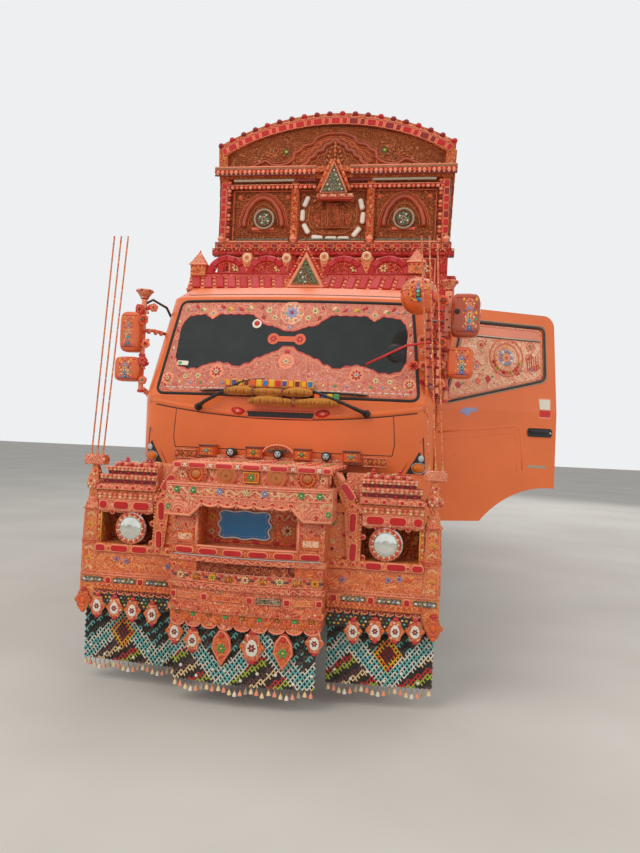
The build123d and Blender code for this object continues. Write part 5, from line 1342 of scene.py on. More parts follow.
def parapet_ends(p, slope, wall):
    """A kiosk and a row of bosses at each end, and the rail at the arches' feet."""
    for s in (-1, 1):
        kiosk(p, s * 0.893 + (0.01 if s > 0 else 0), 0.690, 2.930 + (0.028 if s > 0 else 0),
              0.130, 0.090, 0.110)
        for k in range(6):
            dome(p, slope, s * 0.944, 0.014 + 0.028 * k, 0.012, 0.012, ("pink", "orange")[k % 2], 0.0, 6)
    ridge(p, wall, level(-0.83, 0.83, 2.957), 0.018, 0.022, "rose")
    block(p, -0.83, 0.83, 0.704, 0.716, 2.950, 2.972, "maroon")


def parapet_gable(p):
    """The gable in the middle: a silver triangle framed in brass, with beads up its edges."""
    gable = flat((0, 0.566, 0))
    outer = [(-0.123, 2.826), (0.182, 2.826), (0.030, 3.112)]
    plate(p, gable, outer, -0.11, 0.0, "rim")
    plate(p, gable, [(-0.082, 2.850), (0.142, 2.850), (0.030, 3.062)], 0.0, 0.006, "silver", 0.002)
    ridge(p, gable, [(-0.082, 2.850), (0.142, 2.850), (0.030, 3.062)], 0.010, 0.012, "brass", 0.0, True)
    heap(p, gable, 0.030, 2.868, 0.038, 0.036, 0.013, ("gilt", "green", "white"), 30)
    for s in (-1, 1):
        beads(p, gable, line(0.030 + s * 0.176, 2.84, 0.030 + s * 0.014, 3.130),
              0.026, 0.012, ["orange", "pink", "orange"], -0.012)


def build_parapet():
    p = Piece("parapet_balcony", slot="roof_parapet")
    slope = Skin(lambda x, s: Vector((x, 0.580 + s * 0.545, 2.797 + s * 0.839)))
    wall = flat((0, 0.670, 0))
    back = flat((0, 0.7897, 0), (-1, 0, 0))
    parapet_base(p, slope)
    parapet_arches(p, wall)
    parapet_rosettes(p, wall)
    parapet_ends(p, slope, wall)
    parapet_gable(p)
    for k in range(12):
        medallion(p, back, -0.88 + 0.16 * k, 2.87, 0.045, "pink", "tape_red", "yellow", "red")
    p.done("roof_parapet")


# Cab face.
def screen_half(z):
    return 0.957 - (z - 1.973) / 0.695 * 0.070


def build_cab_face():
    c = Piece("cab_face_trim", slot="cab_front")
    ridge(c, FACE, rounded([(-0.972, 1.916), (0.972, 1.916), (0.897, 2.655), (-0.897, 2.655)], 0.062),
          0.022, 0.012, "rubber", 0.0, True)
    # Seams of the pressed panels, with the swell over the belt seam.
    belt = [(x, 1.750 + 0.070 * (x / 0.9) ** 2) for x in [0.06 * k - 1.02 for k in range(35)]]
    ridge(c, FACE, belt, 0.008, 0.0014, "rubber")
    ridge(c, FACE, [(x, z + 0.024) for x, z in belt], 0.040, 0.006, "cab")
    ridge(c, FACE, level(-0.80, 0.80, 1.522, 24), 0.006, 0.0012, "rubber")
    for s in (-1, 1):
        ridge(c, FACE, [(s * 0.80, 1.522), (s * 0.815, 1.60), (s * 0.800, 1.800)], 0.006, 0.0012, "rubber")
    ridge(c, FACE, level(-1.02, 1.02, 1.24, 24), 0.007, 0.0012, "rubber")
    for s in (-1, 1):
        ridge(c, FACE, [(s * 1.012, 1.660), (s * 1.034, 1.392), (s * 0.850, 1.384)], 0.010, 0.003, "black")
        ridge(c, FACE, [(s * 1.000, 1.640), (s * 0.862, 1.392)], 0.007, 0.003, "rose")
        plate(c, FACE, [(s * 0.900, 1.402), (s * 1.028, 1.402), (s * 1.018, 1.500), (s * 0.990, 1.560)],
              0, 0.010, "black", 0.004)
        dome(c, FACE, s * 0.985, 1.444, 0.046, 0.024, "amber", 0.004, 14, 3, 0.78)
        ridge(c, FACE, circle(s * 0.985, 1.444, 0.048, 18, 0.78), 0.008, 0.012, "chrome", 0.004, True)
        dome(c, FACE, s * 1.000, 1.512, 0.022, 0.014, "clear", 0.004, 10, 2, 1.3)
    # Hand grip with painted bows.
    slot = rounded([(-0.262, 1.806), (0.250, 1.806), (0.236, 1.758), (-0.246, 1.758)], 0.020, 0.05)
    ridge(c, FACE, slot, 0.012, 0.010, "salmon", 0.0, True)
    band(c, FACE, level(-0.248, 0.238, 1.800, 10), level(-0.240, 0.230, 1.763, 10), 0, 0.0085, "black")
    beads(c, FACE, level(-0.240, 0.230, 1.812, 10), 0.014, 0.005, ["red", "pink"], 0.002, 5)
    for x, turn in ((-0.340, 1), (0.320, -1)):
        dome(c, FACE, x + 0.020 * turn, 1.800, 0.052, 0.006, "red", 0.005, 12, 2, 0.52, -8 * turn)
        dome(c, FACE, x + 0.020 * turn, 1.800, 0.020, 0.006, "pink", 0.008, 8, 2, 0.7)
    ridge(c, FACE, level(-0.92, 0.92, 2.716, 30), 0.008, 0.0015, "rubber")
    # Vents under the belt on both sides.
    for s in (-1, 1):
        for k in range(4):
            x, z = s * 0.50, 1.36 - 0.024 * k
            band(c, FACE, level(x - 0.10, x + 0.10, z, 4), level(x - 0.10, x + 0.10, z - 0.011, 4),
                 0, 0.004, "black")
    c.done()


def edge_height(knots, x, ripple):
    """The height of an edge at a place, from knots on one side, with small lobes."""
    x = abs(x)
    for (a, za), (b, zb) in zip(knots, knots[1:]):
        if x <= b:
            t = (x - a) / (b - a)
            return za + (zb - za) * t * t * (3 - 2 * t) + ripple * abs(math.sin(x * 46))
    return knots[-1][1]


def transfer_bands(s, lift):
    """The bands across the head and the foot of the screen, each with a wavy edge."""
    drop = [(0, 2.415), (0.06, 2.424), (0.10, 2.447), (0.15, 2.458),
            (0.205, 2.468), (0.235, 2.505), (0.27, 2.520), (0.30, 2.549), (0.57, 2.549), (0.59, 2.530),
            (0.62, 2.508), (0.65, 2.530), (0.69, 2.549), (0.80, 2.538), (0.845, 2.500), (0.875, 2.430)]
    climb = [(0, 2.292), (0.03, 2.286), (0.107, 2.240), (0.213, 2.200),
             (0.292, 2.152), (0.372, 2.124), (0.45, 2.148), (0.524, 2.158),
             (0.605, 2.138), (0.68, 2.106), (0.76, 2.102), (0.83, 2.122), (0.875, 2.190)]
    spread = [0.875 * k / 110 for k in range(-110, 111)]
    top = [(x, 2.642) for x in spread]
    hem = [(x, edge_height(drop, x, -0.007)) for x in spread]
    head = [(x, edge_height(climb, x, 0.008)) for x in spread]
    low = [(x, 1.934) for x in spread]
    band(s, FACE, top, hem, 0.0, lift, "sticker")
    band(s, FACE, head, low, 0.0, lift, "sticker")
    for edge in (hem, head):
        ridge(s, FACE, edge, 0.007, 0.003, "rose", lift * 0.5)
        ridge(s, FACE, [(x, z + (0.022 if edge is hem else -0.022)) for x, z in edge],
              0.006, 0.002, "rim", lift)


def transfer_sides(s, lift):
    """The strips down the screen's sides, with leaves on them."""
    for sx in (-1, 1):
        heights = [1.940 + 0.035 * k for k in range(21)]
        outer = [(sx * (screen_half(z) - 0.003), z) for z in heights]
        inner = [(sx * (0.866 + 0.006 * abs(math.sin(z * 40))), z) for z in heights]
        band(s, FACE, *((outer, inner) if sx > 0 else (inner, outer)), 0.0, lift * 1.2, "sticker")
        for k in range(9):
            z = 1.98 + 0.072 * k
            dome(s, FACE, sx * (screen_half(z) + 0.868) / 2, z, 0.018,
                 0.004, ("rose", "cream", "pink")[k % 3], lift, 8, 2, 0.5, 60 * sx)


def transfer_crest(s, lift):
    """The lobed frame at the middle of the upper band."""
    plate(s, FACE, round_outline(0, 2.556, 0.088, 36, 0.07, 9), lift, lift + 0.003, "lining", 0.001)
    ridge(s, FACE, round_outline(0, 2.556, 0.090, 36, 0.07, 9), 0.009, 0.004, "pink", lift, True)
    flower(s, FACE, 0, 2.560, 0.050, 8, "lilac", "rose", lift + 0.003, 0.004)
    pearls_round(s, FACE, 0, 2.557, 0.066, 12, 0.011, 0.004, ("grey", "pink"), lift + 0.003)
    flower(s, FACE, 0, 2.444, 0.022, 6, "lilac", "cream", lift, 0.004)


def transfer_upper(s, sx, lift):
    """Flowers, a stem, leaves and a lozenge on one half of the upper band."""
    for dx, dz, r in ((0.128, 2.520, 0.026), (0.175, 2.578, 0.030),
                      (0.215, 2.520, 0.022), (0.238, 2.604, 0.022)):
        flower(s, FACE, sx * dx, dz, r, 6, "cream" if r > 0.025 else "rose", "green", lift, 0.004)
    ridge(s, FACE, flow([(sx * 0.12, 2.625), (sx * 0.16, 2.560), (sx * 0.13, 2.490), (sx * 0.20, 2.480),
                         (sx * 0.26, 2.545), (sx * 0.235, 2.628)]), 0.008, 0.004, "pink", lift)
    for x, key in ((0.32, "cream"), (0.40, "rose"), (0.48, "yellow"),
                   (0.55, "rose"), (0.70, "cream"), (0.76, "rose"), (0.82, "pink")):
        dome(s, FACE, sx * x, 2.596 + 0.012 * math.sin(x * 60),
             0.026, 0.004, key, lift, 8, 2, 0.5, 40 * sx)
        dome(s, FACE, sx * (x + 0.022), 2.580, 0.010, 0.004, "lilac" if key == "rose" else "green",
             lift, 6)
    ridge(s, FACE, [(sx * (0.28 + 0.02 * k), 2.606 + 0.014 * math.sin(k * 1.05)) for k in range(29)],
          0.007, 0.003, "rim", lift)
    gem_outline = [(sx * 0.62, 2.502), (sx * 0.665, 2.548), (sx * 0.62, 2.600), (sx * 0.575, 2.548)]
    plate(s, FACE, gem_outline, lift, lift + 0.002, "rim", 0.001)
    flower(s, FACE, sx * 0.62, 2.552, 0.024, 6, "cream", "blue", lift + 0.002, 0.004)


def transfer_lower(s, sx, lift):
    """Flowers and small arches on one half of the lower band."""
    for x, z, r in ((0.52, 2.088, 0.040), (0.90, 2.030, 0.034)):
        plate(s, FACE, round_outline(sx * x, z, r + 0.012, 28, 0.09, 7), lift, lift + 0.002, "rim", 0.001)
        flower(s, FACE, sx * x, z, r, 8, "rose", "lilac", lift + 0.002, 0.004)
        flower(s, FACE, sx * x, z, r * 0.55, 6, "cream", "blue", lift + 0.005, 0.003)
    for x, z, r in ((0.40, 2.060, 0.024), (0.66, 2.052, 0.024),
                    (0.28, 2.095, 0.026), (0.76, 2.046, 0.022), (0.17, 2.150, 0.020)):
        flower(s, FACE, sx * x, z, r, 6, "cream" if x > 0.5 else "pink", "green", lift, 0.004)
    for k in range(10):
        x = sx * (0.12 + 0.085 * k)
        ridge(s, FACE, arc(x, 1.990, 0.030, 20, 160, 6, 1.1), 0.006, 0.003, "rim", lift)
        dome(s, FACE, x, 2.003, 0.012, 0.004, ("green", "lilac", "cream")[k % 3], lift, 6)
    for k in range(14):
        x = sx * (0.26 + 0.048 * k)
        plate(s, FACE, oblong(x, 1.962, 0.030, 0.006), lift, lift + 0.002, "white", 0.001)


def transfer_rosette(s, lift):
    """The rosette at the middle of the lower band."""
    plate(s, FACE, round_outline(0, 2.176, 0.058, 32, 0.10), lift, lift + 0.002, "rim", 0.001)
    flower(s, FACE, 0, 2.176, 0.046, 8, "pink", "lilac", lift + 0.002, 0.004)
    flower(s, FACE, 0, 2.176, 0.024, 6, "cream", "violet", lift + 0.005, 0.003)
    dome(s, FACE, 0, 2.250, 0.020, 0.004, "rose", lift)


def transfer_loose(s, lift):
    """Small loose transfers on the glass."""
    for x in (-0.118, 0.082):
        plate(s, FACE, round_outline(x, 2.351, 0.044, 22), 0, lift, "salmon", 0.001)
        flower(s, FACE, x, 2.351, 0.028, 6, "rose", "pink", lift, 0.003)
    band(s, FACE, level(-0.09, 0.054, 2.372, 6), level(-0.09, 0.054, 2.330, 6), 0, lift, "salmon")
    plate(s, FACE, round_outline(-0.260, 2.470, 0.036, 24, 0.10), 0, lift, "white", 0.001)
    dome(s, FACE, -0.260, 2.472, 0.022, 0.005, "red", lift, 10)
    plate(s, FACE, oblong(-0.80, 2.150, 0.090, 0.034, -3, 0.008), 0.002, 0.005, "white", 0.001)
    plate(s, FACE, oblong(-0.822, 2.150, 0.030, 0.022, -3, 0.006), 0.004, 0.006, "green", 0.001)


def build_transfers():
    """Cut stickers on the windscreen."""
    s = Piece("screen_transfers", slot="windscreen")
    lift = 0.0025
    transfer_bands(s, lift)
    transfer_sides(s, lift)
    transfer_crest(s, lift)
    for sx in (-1, 1):
        transfer_upper(s, sx, lift)
        transfer_lower(s, sx, lift)
    transfer_rosette(s, lift)
    transfer_loose(s, lift)
    s.done()


def build_wiper_rolls():
    """Straw rolls tied over the wipers, with fringes and a row of painted blocks."""
    for name, x0, x1, z, parts in (("wiper_roll_upper", -0.414, 0.227, 1.940, 3),
                                   ("wiper_roll_lower", -0.229, 0.430, 1.872, 2)):
        w = Piece(name, slot="wipers")
        count, seg = 40, 12
        rings = []
        for k in range(count + 1):
            t = k / count
            x = x0 + (x1 - x0) * t
            pinch = abs(math.sin(math.pi * t * parts)) ** 0.22
            fat = 0.035 * max(0.30, pinch) * (1 + 0.03 * math.sin(t * 60))
            y = cab_face(x, z).y - 0.050
            sag = z + 0.006 * math.sin(t * 9)
            rings.append([Vector((x, y + math.cos(TAU * i / seg) * fat * 0.85,
                                  sag + math.sin(TAU * i / seg) * fat)) for i in range(seg)])
        walls = [[i * seg + j, (i + 1) * seg + j, (i + 1) * seg + (j + 1) % seg, i * seg + (j + 1) % seg]
                 for i in range(count) for j in range(seg)]
        w.put([v for ring in rings for v in ring], walls, "straw", True)
        w.put(rings[0], [list(reversed(range(seg)))], "straw")
        w.put(rings[-1], [list(range(seg))], "straw")
        roll = w.done()
    w = Piece("wiper_roll_fringe", slot="wipers")
    for x0, x1, z in ((-0.41, 0.22, 1.940), (-0.225, 0.425, 1.872)):
        n = round((x1 - x0) / 0.011)
        for k in range(n):
            x = x0 + 0.011 * k
            front = flat((0, cab_face(x, z).y - 0.0815, 0))
            dome(w, front, x, z - 0.006 + 0.003 * (k % 3), 0.026, 0.004,
                 ("straw", "amber", "straw", "gilt", "straw")[k % 5], 0, 4, 1, 0.16, 90)
    keys = ("yellow", "violet", "yellow", "maroon", "orange", "yellow",
            "blue", "yellow", "red", "violet", "yellow", "maroon", "yellow", "blue")
    for k in range(14):
        x = -0.396 + 0.0465 * k
        y = cab_face(x, 2.0).y - 0.050
        block(w, x - 0.0235, x + 0.0235, y - 0.020, y + 0.030, 1.974,
              2.030, "yellow" if k % 2 else "orange", 0.005)
        block(w, x - 0.016, x + 0.016, y - 0.0235, y - 0.018, 1.984, 2.022, keys[k], 0.002)
    for k in range(4):
        x = 0.262 + 0.045 * k
        y = cab_face(x, 1.92).y - 0.042
        block(w, x - 0.021, x + 0.021, y - 0.018, y + 0.030, 1.900,
              1.940, ("orange", "violet", "yellow", "green")[k], 0.005)
    for x, z0, z1 in ((-0.200, 1.900, 1.985), (0.013, 1.900, 1.985), (0.100, 1.835, 1.905)):
        ridge(w, flat((0, cab_face(x, 1.93).y - 0.083, 0)), line(x, z0, x, z1), 0.014, 0.007, "brown")
    w.done()


def build_wiper_arms():
    wipes = Piece("wiper_arms", slot="wipers")
    for run in (((-0.623, 1.820), (-0.560, 1.858), (-0.281, 2.018), (-0.125, 2.033)),
                ((0.611, 1.812), (0.560, 1.832), (0.413, 1.893), (0.233, 1.956))):
        path = [cab_face(x, z) + Vector((0, -0.070 if i else -0.030, 0)) for i, (x, z) in enumerate(run)]
        turned(wipes, cab_face(*run[0]) + Vector((0, 0.004, 0)), (0, -1, 0),
               [(0.028, 0), (0.028, 0.018), (0.022, 0.034), (0.020, 0.046), (0.006, 0.052)], "black")
        tube(wipes, path, 0.010, "black", 8, [0.017, 0.014, 0.010, 0.007])
        side = 1 if run[0][0] > 0 else -1
        blade = [cab_face(side * (0.10 + 0.052 * k), 1.953 - 0.002 * abs(k - 4)) + Vector((0, -0.018, 0))
                 for k in range(11)]
        tube(wipes, blade, 0.008, "rubber", 6, [0.004] + [0.008] * 9 + [0.004])
    wipes.done("wipers")


# Bumper: centre, shelf, wings, tiers, posts and lamps.
def centre_bars(b):
    """The sill of reflectors over the chrome lip, three proud bars and the fields between them."""
    strip(b, BULGE, -0.462, 0.462, 0.894, 0.948, 0.004, "tape_apron")
    for k in range(6):
        gem(b, BULGE, -0.385 + 0.154 * k, 0.921, 0.112, 0.032, "tile", 0, 0.004, 0.5)
    ridge(b, BULGE, level(-0.46, 0.46, 0.897, 24), 0.010, 0.022, "chrome")
    bar = on(BULGE, 0.014)
    vine(b, bar, -0.455, 0.455, 0.876, 0.009, 14, "pink", "amber")
    vine(b, bar, -0.455, 0.455, 0.717, 0.009, 16, "pink", "red")
    beads(b, bar, level(-0.455, 0.455, 0.577, 24), 0.030, 0.008, ["pink", "salmon", "red", "salmon"])
    # The dark embossed strip under the lip stands for a recessed band: brown sheet darkened with painted
    # shade of the recess.
    strip(b, BULGE, -0.300, 0.300, 0.800, 0.859, 0.004, "emboss_dark")
    for s in (-1, 1):
        strip(b, BULGE, *sorted((s * 0.300, s * 0.462)), 0.800, 0.859, 0.006, "tape_apron", 4)
        stud(b, BULGE, s * 0.447, 0.830, 0.011, "red", 0.006)
    for k in range(9):
        fan(b, BULGE, -0.240 + 0.060 * k, 0.806, 0.026, "copper", "pink", 0.004, 2)
    for z in (0.797, 0.738):
        ridge(b, BULGE, level(-0.46, 0.46, z, 24), 0.006, 0.005, "pink")
    for k, x in enumerate((-0.404, -0.198, 0.008, 0.214, 0.420)):
        flower(b, BULGE, x, 0.768, 0.026, 8, ("cream", "yellow", "cream")[k % 3],
               ("red", "green")[k % 2], 0.0, 0.012)
        for sx in (-1, 1):
            dome(b, BULGE, x + sx * 0.038, 0.768, 0.018, 0.008, "plum", 0.0, 8, 2, 0.45)
            dome(b, BULGE, x + sx * 0.060, 0.782, 0.010, 0.007, "red", 0.0, 6)
    for x in (-0.301, -0.095, 0.111, 0.317):
        plate(b, BULGE, oblong(x, 0.765, 0.046, 0.034, 0, 0.004), 0, 0.008, "gilt")
        dome(b, BULGE, x, 0.765, 0.011, 0.010, "amber", 0.004)
        fan(b, BULGE, x, 0.786, 0.022, "white", "pink", 0.0, 2)


def centre_rows(b):
    """A row of plates with red squares between them, and an apron of leaves with a scalloped hem."""
    plate_z = 0.650
    for x, width, key in ((-0.355, 0.132, "tape_orange"), (-0.107, 0.198, "tape_apron"),
                          (0.155, 0.148, "silver"), (0.355, 0.132, "tape_orange")):
        plate(b, BULGE, oblong(x, plate_z, width, 0.046, 0, 0.008), 0, 0.007, key, 0.004)
        moulding(b, BULGE, x - width / 2 + 0.008, x + width / 2 - 0.008,
                 0.635, 0.665, 0.005, 0.005, "pink", 0.006)
    for x in (-0.243, 0.038, 0.260, 0.447, -0.447):
        gem(b, BULGE, x, plate_z, 0.030, 0.032, "tile", corner=0.2)
    for z in (0.688, 0.610):
        beads(b, BULGE, level(-0.455, 0.455, z, 20), 0.020, 0.0045, ["pink", "orange"], 0, 5)
    strip(b, BULGE, -0.462, 0.462, 0.500, 0.559, 0.004, "tape_apron")
    for k in range(9):
        x = -0.413 + 0.1033 * k
        green = k % 2
        for a in (60, 120, 90):
            dome(b, BULGE, x + 0.016 * math.cos(math.radians(a)), 0.522 + 0.020 * math.sin(math.radians(a)),
                 0.015, 0.009, "green" if green else "gilt", 0.004, 8, 2, 0.45, a)
        stud(b, BULGE, x, 0.520, 0.009, "red", 0.004)
        ridge(b, BULGE, arc(x, 0.494, 0.046, 190, 350, 8, 0.62), 0.008, 0.008, "pink")
        if k < 8:
            dome(b, BULGE, x + 0.0516, 0.506, 0.010, 0.009, "amber", 0.004)


def centre_recess(b):
    """The framed recess, lined with gold, around the blank panel's white edge."""
    ridge(b, BULGE, level(-0.312, 0.312, 0.952, 20), 0.014, 0.012, "rim")
    for s in (-1, 1):
        ridge(b, BULGE, line(s * 0.312, 0.952, s * 0.312, 1.128), 0.014, 0.012, "rim")
        plate(b, BULGE, oblong(s * 0.386, 0.998, 0.116, 0.070, 0, 0.006), 0, 0.008, "tape_apron")
        plate(b, BULGE, oblong(s * 0.386, 1.000, 0.094, 0.040, 0, 0.005), 0.006, 0.011, "lining")
        fan(b, BULGE, s * 0.386, 1.066, 0.048, "pink", "red")
        for x, z in ((0.330, 1.048), (0.448, 1.105), (0.330, 1.110)):
            stud(b, BULGE, s * x, z, 0.012)
        wall = flat((s * 0.2996, 0, 0), (0, -s, 0))
        lo, hi = sorted((s * 0.680, s * 0.800))
        plate(b, wall, frame_line(lo, hi, 0.956, 1.184), 0, 0.003, "tape_apron", 0.001)
    back = flat((0, -0.6703, 0))
    for x0, x1, z0, z1 in ((-0.296, -0.235, 0.955, 1.186), (0.125, 0.296, 0.955, 1.186),
                           (-0.235, 0.125, 0.955, 0.976), (-0.235, 0.125, 1.164, 1.186)):
        plate(b, back, frame_line(x0, x1, z0, z1), 0, 0.003, "tape_apron", 0.001)
    tiles(b, back, level(-0.29, 0.29, 0.966), 0.018, 14, 0.006, 0.003, 0.009, ["salmon", "rose", "salmon"])
    vine(b, back, 0.145, 0.275, 1.130, 0.018, 2, "cream", "red", 0.003)
    flower(b, back, 0.215, 1.050, 0.040, 8, "cream", "red", 0.003)
    flower(b, back, -0.266, 1.110, 0.022, 6, "yellow", "red", 0.003)
    flower(b, back, -0.266, 1.020, 0.022, 6, "cream", "red", 0.003)
    label = flat((-0.055, -0.6786, 1.070))
    outline = []
    for k in range(64):
        a = TAU * k / 64
        grow = (1 + 0.06 * math.cos(8 * a)) / max(abs(math.cos(a)), abs(math.sin(a)), 0.8)
        outline.append((0.165 * grow * math.cos(a), 0.088 * grow * math.sin(a)))
    ridge(b, label, [(x * 0.97, z * 0.96) for x, z in outline], 0.009, 0.004, "white", 0.0, True)
    ridge(b, label, [(x * 0.84, z * 0.78) for x, z in outline], 0.003, 0.002, "lilac", 0.0, True)
    for sx, sz in CORNERS:
        dome(b, label, sx * 0.135, sz * 0.066, 0.007, 0.005, "chrome")


def build_bumper_centre():
    b = Piece("bumper_centre_trim", slot="bumper_centre")
    for part in (centre_bars, centre_rows, centre_recess):
        part(b)
    b.done()


def canopy_face(b):
    """Mouldings and flowers over five shells, a lobed hem with little drops, and shells at both ends."""
    for z in (1.322, 1.309, 1.252):
        ridge(b, CANOPY, level(-0.505, 0.505, z, 24), 0.008, 0.007, "pink")
    beads(b, CANOPY, level(-0.50, 0.50, 1.2625, 24), 0.020, 0.005, ["red", "cream"], 0, 5)
    vine(b, CANOPY, -0.50, 0.50, 1.285, 0.012, 13, "cream", "salmon", 0.0, 0.006)
    for k in range(5):
        x = -0.216 + 0.108 * k
        fan(b, CANOPY, x, 1.204, 0.042, "pink", "red")
    for x, key in ((-0.435, "green"), (-0.327, "green"), (-0.158, "lilac"),
                   (0.0, "cream"), (0.113, "lilac"), (0.327, "green"), (0.435, "green")):
        flower(b, CANOPY, x, 1.286, 0.023, 6, key, "white", 0.002, 0.012)
    hem = [(-0.508, 1.136), (-0.345, 1.136), (-0.302, 1.176)]
    for k in range(5):
        hem += arc(-0.27 + 0.108 * (k + 0.5), 1.222, 0.052, 180, 360, 8, 0.46)
    hem += [(0.302, 1.176), (0.345, 1.136), (0.508, 1.136)]
    ridge(b, CANOPY, hem, 0.016, 0.014, "rim")
    for k in range(6):
        x = -0.27 + 0.108 * k
        stud(b, CANOPY, x, 1.222, 0.015, "tile", 0.003)
        turned(b, CANOPY.at(x, 1.190, 0.004), (0, 0, 1), [(0.002, 0), (0.006, 0.006), (0.003, 0.016)],
               "pink", 6)
    for s in (-1, 1):
        fan(b, CANOPY, s * 0.418, 1.150, 0.062, "pink", "red", 0.0, 4)
        fan(b, CANOPY, s * 0.480, 1.222, 0.030, "cream", "salmon", 0.0, 2)
        fan(b, CANOPY, s * 0.350, 1.222, 0.026, "cream", "salmon", 0.0, 2)
        flower(b, CANOPY, s * 0.487, 1.180, 0.022, 5, "green", "cream", 0.0, 0.010)


def canopy_riser(b):
    """The riser under the shelf: ringed discs, dotted arches and a green flower."""
    rail_z = 1.432
    disc_z = 1.378
    riser, edge, disc = flat((0, -0.770, 0)), flat((0, -0.790, 0)), flat((0, -0.7865, 0))
    for s in (-1, 1):
        plate(b, disc, round_outline(s * 0.155, disc_z, 0.056), 0, 0.004, "copper", 0.002)
        for r, key in ((0.058, "salmon"), (0.036, "copper")):
            ridge(b, disc, circle(s * 0.155, disc_z, r, 24), 0.009, 0.008, key, 0, True)
        dome(b, disc, s * 0.155, disc_z, 0.013, 0.010, "gilt", 0, 10)
        plate(b, disc, round_outline(s * 0.345, disc_z, 0.060), 0, 0.004, "tape_apron", 0.002)
        pearls_round(b, disc, s * 0.345, disc_z, 0.050, 16, 0.0065, 0.004, ("maroon",), 0.0035)
        ridge(b, disc, arc(s * 0.345, disc_z, 0.067, 0, 180), 0.010, 0.007, "tape_hood")
        dome(b, disc, s * 0.345, disc_z, 0.034, 0.007, "copper", 0.003, 14)
        for k in range(3):
            flower(b, riser, s * 0.250, 1.350 + 0.028 * k, 0.013, 5, ("red", "cream", "lime")[k], "yellow")
        flower(b, riser, s * 0.436, 1.372, 0.026, 6, "cream", "red")
        ridge(b, riser, line(s * 0.455, 1.338, s * 0.455, 1.418), 0.008, 0.006, "pink")
    block(b, -0.050, 0.050, -0.790, -0.765, 1.338, 1.404, "tape_apron", 0.006)
    moulding(b, edge, -0.046, 0.046, 1.342, 1.400, 0.007, 0.005, "yellow")
    flower(b, edge, 0, 1.371, 0.026, 6, "green", "cream")
    strip(b, edge, -0.494, 0.494, 1.414, 1.450, 0.003, "tape_hood", 2)
    for k in range(-2, 3):
        gem(b, edge, 0.170 * k, rail_z, 0.104, 0.026, "rose", 0, 0.003, 0.45)
    for s in (-1, 1):
        gem(b, edge, s * 0.462, rail_z, 0.044, 0.026, "rose", 0, 0.003, 0.45)
        for x in (0.085, 0.255, 0.415):
            for a in (45, 135):
                plate(b, edge, oblong(s * x, rail_z, 0.028, 0.007, a), 0.003, 0.008, "white", 0.002)
        cheek = flat((s * 0.4955, 0, 0), (0, s, 0))
        for k in range(4):
            gem(b, cheek, s * (-0.700 + 0.18 * k), 1.4375, 0.100, 0.014, "rose")
        for y in (-0.70, -0.52):
            medallion(b, flat((s * 0.4655, 0, 0), (0, s, 0)), s * y,
                      disc_z, 0.042, "salmon", "gilt", "cream", "red")


def canopy_shelf(b):
    """The shelf's top, and an embossed leaf panel at each end of the lamp row."""
    shelf = flat((0, 0, 1.450), (1, 0, 0), (0, 1, 0))
    for k in range(9):
        y = -0.71 + 0.075 * k
        if k % 2:
            beads(b, shelf, level(-0.42, 0.42, y), 0.04, 0.008, ["pink", "red"], 0, 5)
        else:
            garland(b, shelf, level(-0.40, 0.40, y), 0.10, 0.022, ["cream", "red", "green"],
                    "yellow", 0, 6, "pink")
    moulding(b, shelf, -0.470, 0.470, -0.765, -0.045, 0.014, 0.008, "pink")
    for s in (-1, 1):
        lo, hi = sorted((s * 0.600, s * 0.772))
        block(b, lo, hi, -0.030, -0.016, 1.436, 1.512, "emboss_orange", 0.006)
        leaf = flat((0, -0.030, 0))
        moulding(b, leaf, lo + 0.008, hi - 0.008, 1.444, 1.504, 0.007, 0.005, "pink")
        for k in range(5):
            dome(b, leaf, s * (0.622 + 0.032 * k), 1.474, 0.022, 0.008,
                 ("salmon", "gilt")[k % 2], 0, 8, 2, 0.5, 60 * s)
        block(b, *sorted((s * 0.585, s * 0.615)), -0.016, 0.020, 1.4505, 1.480, "orange", 0.003)


def build_canopy():
    b = Piece("bumper_canopy_trim", slot="bumper_canopy")
    for part in (canopy_face, canopy_riser, canopy_shelf):
        part(b)
    b.done()


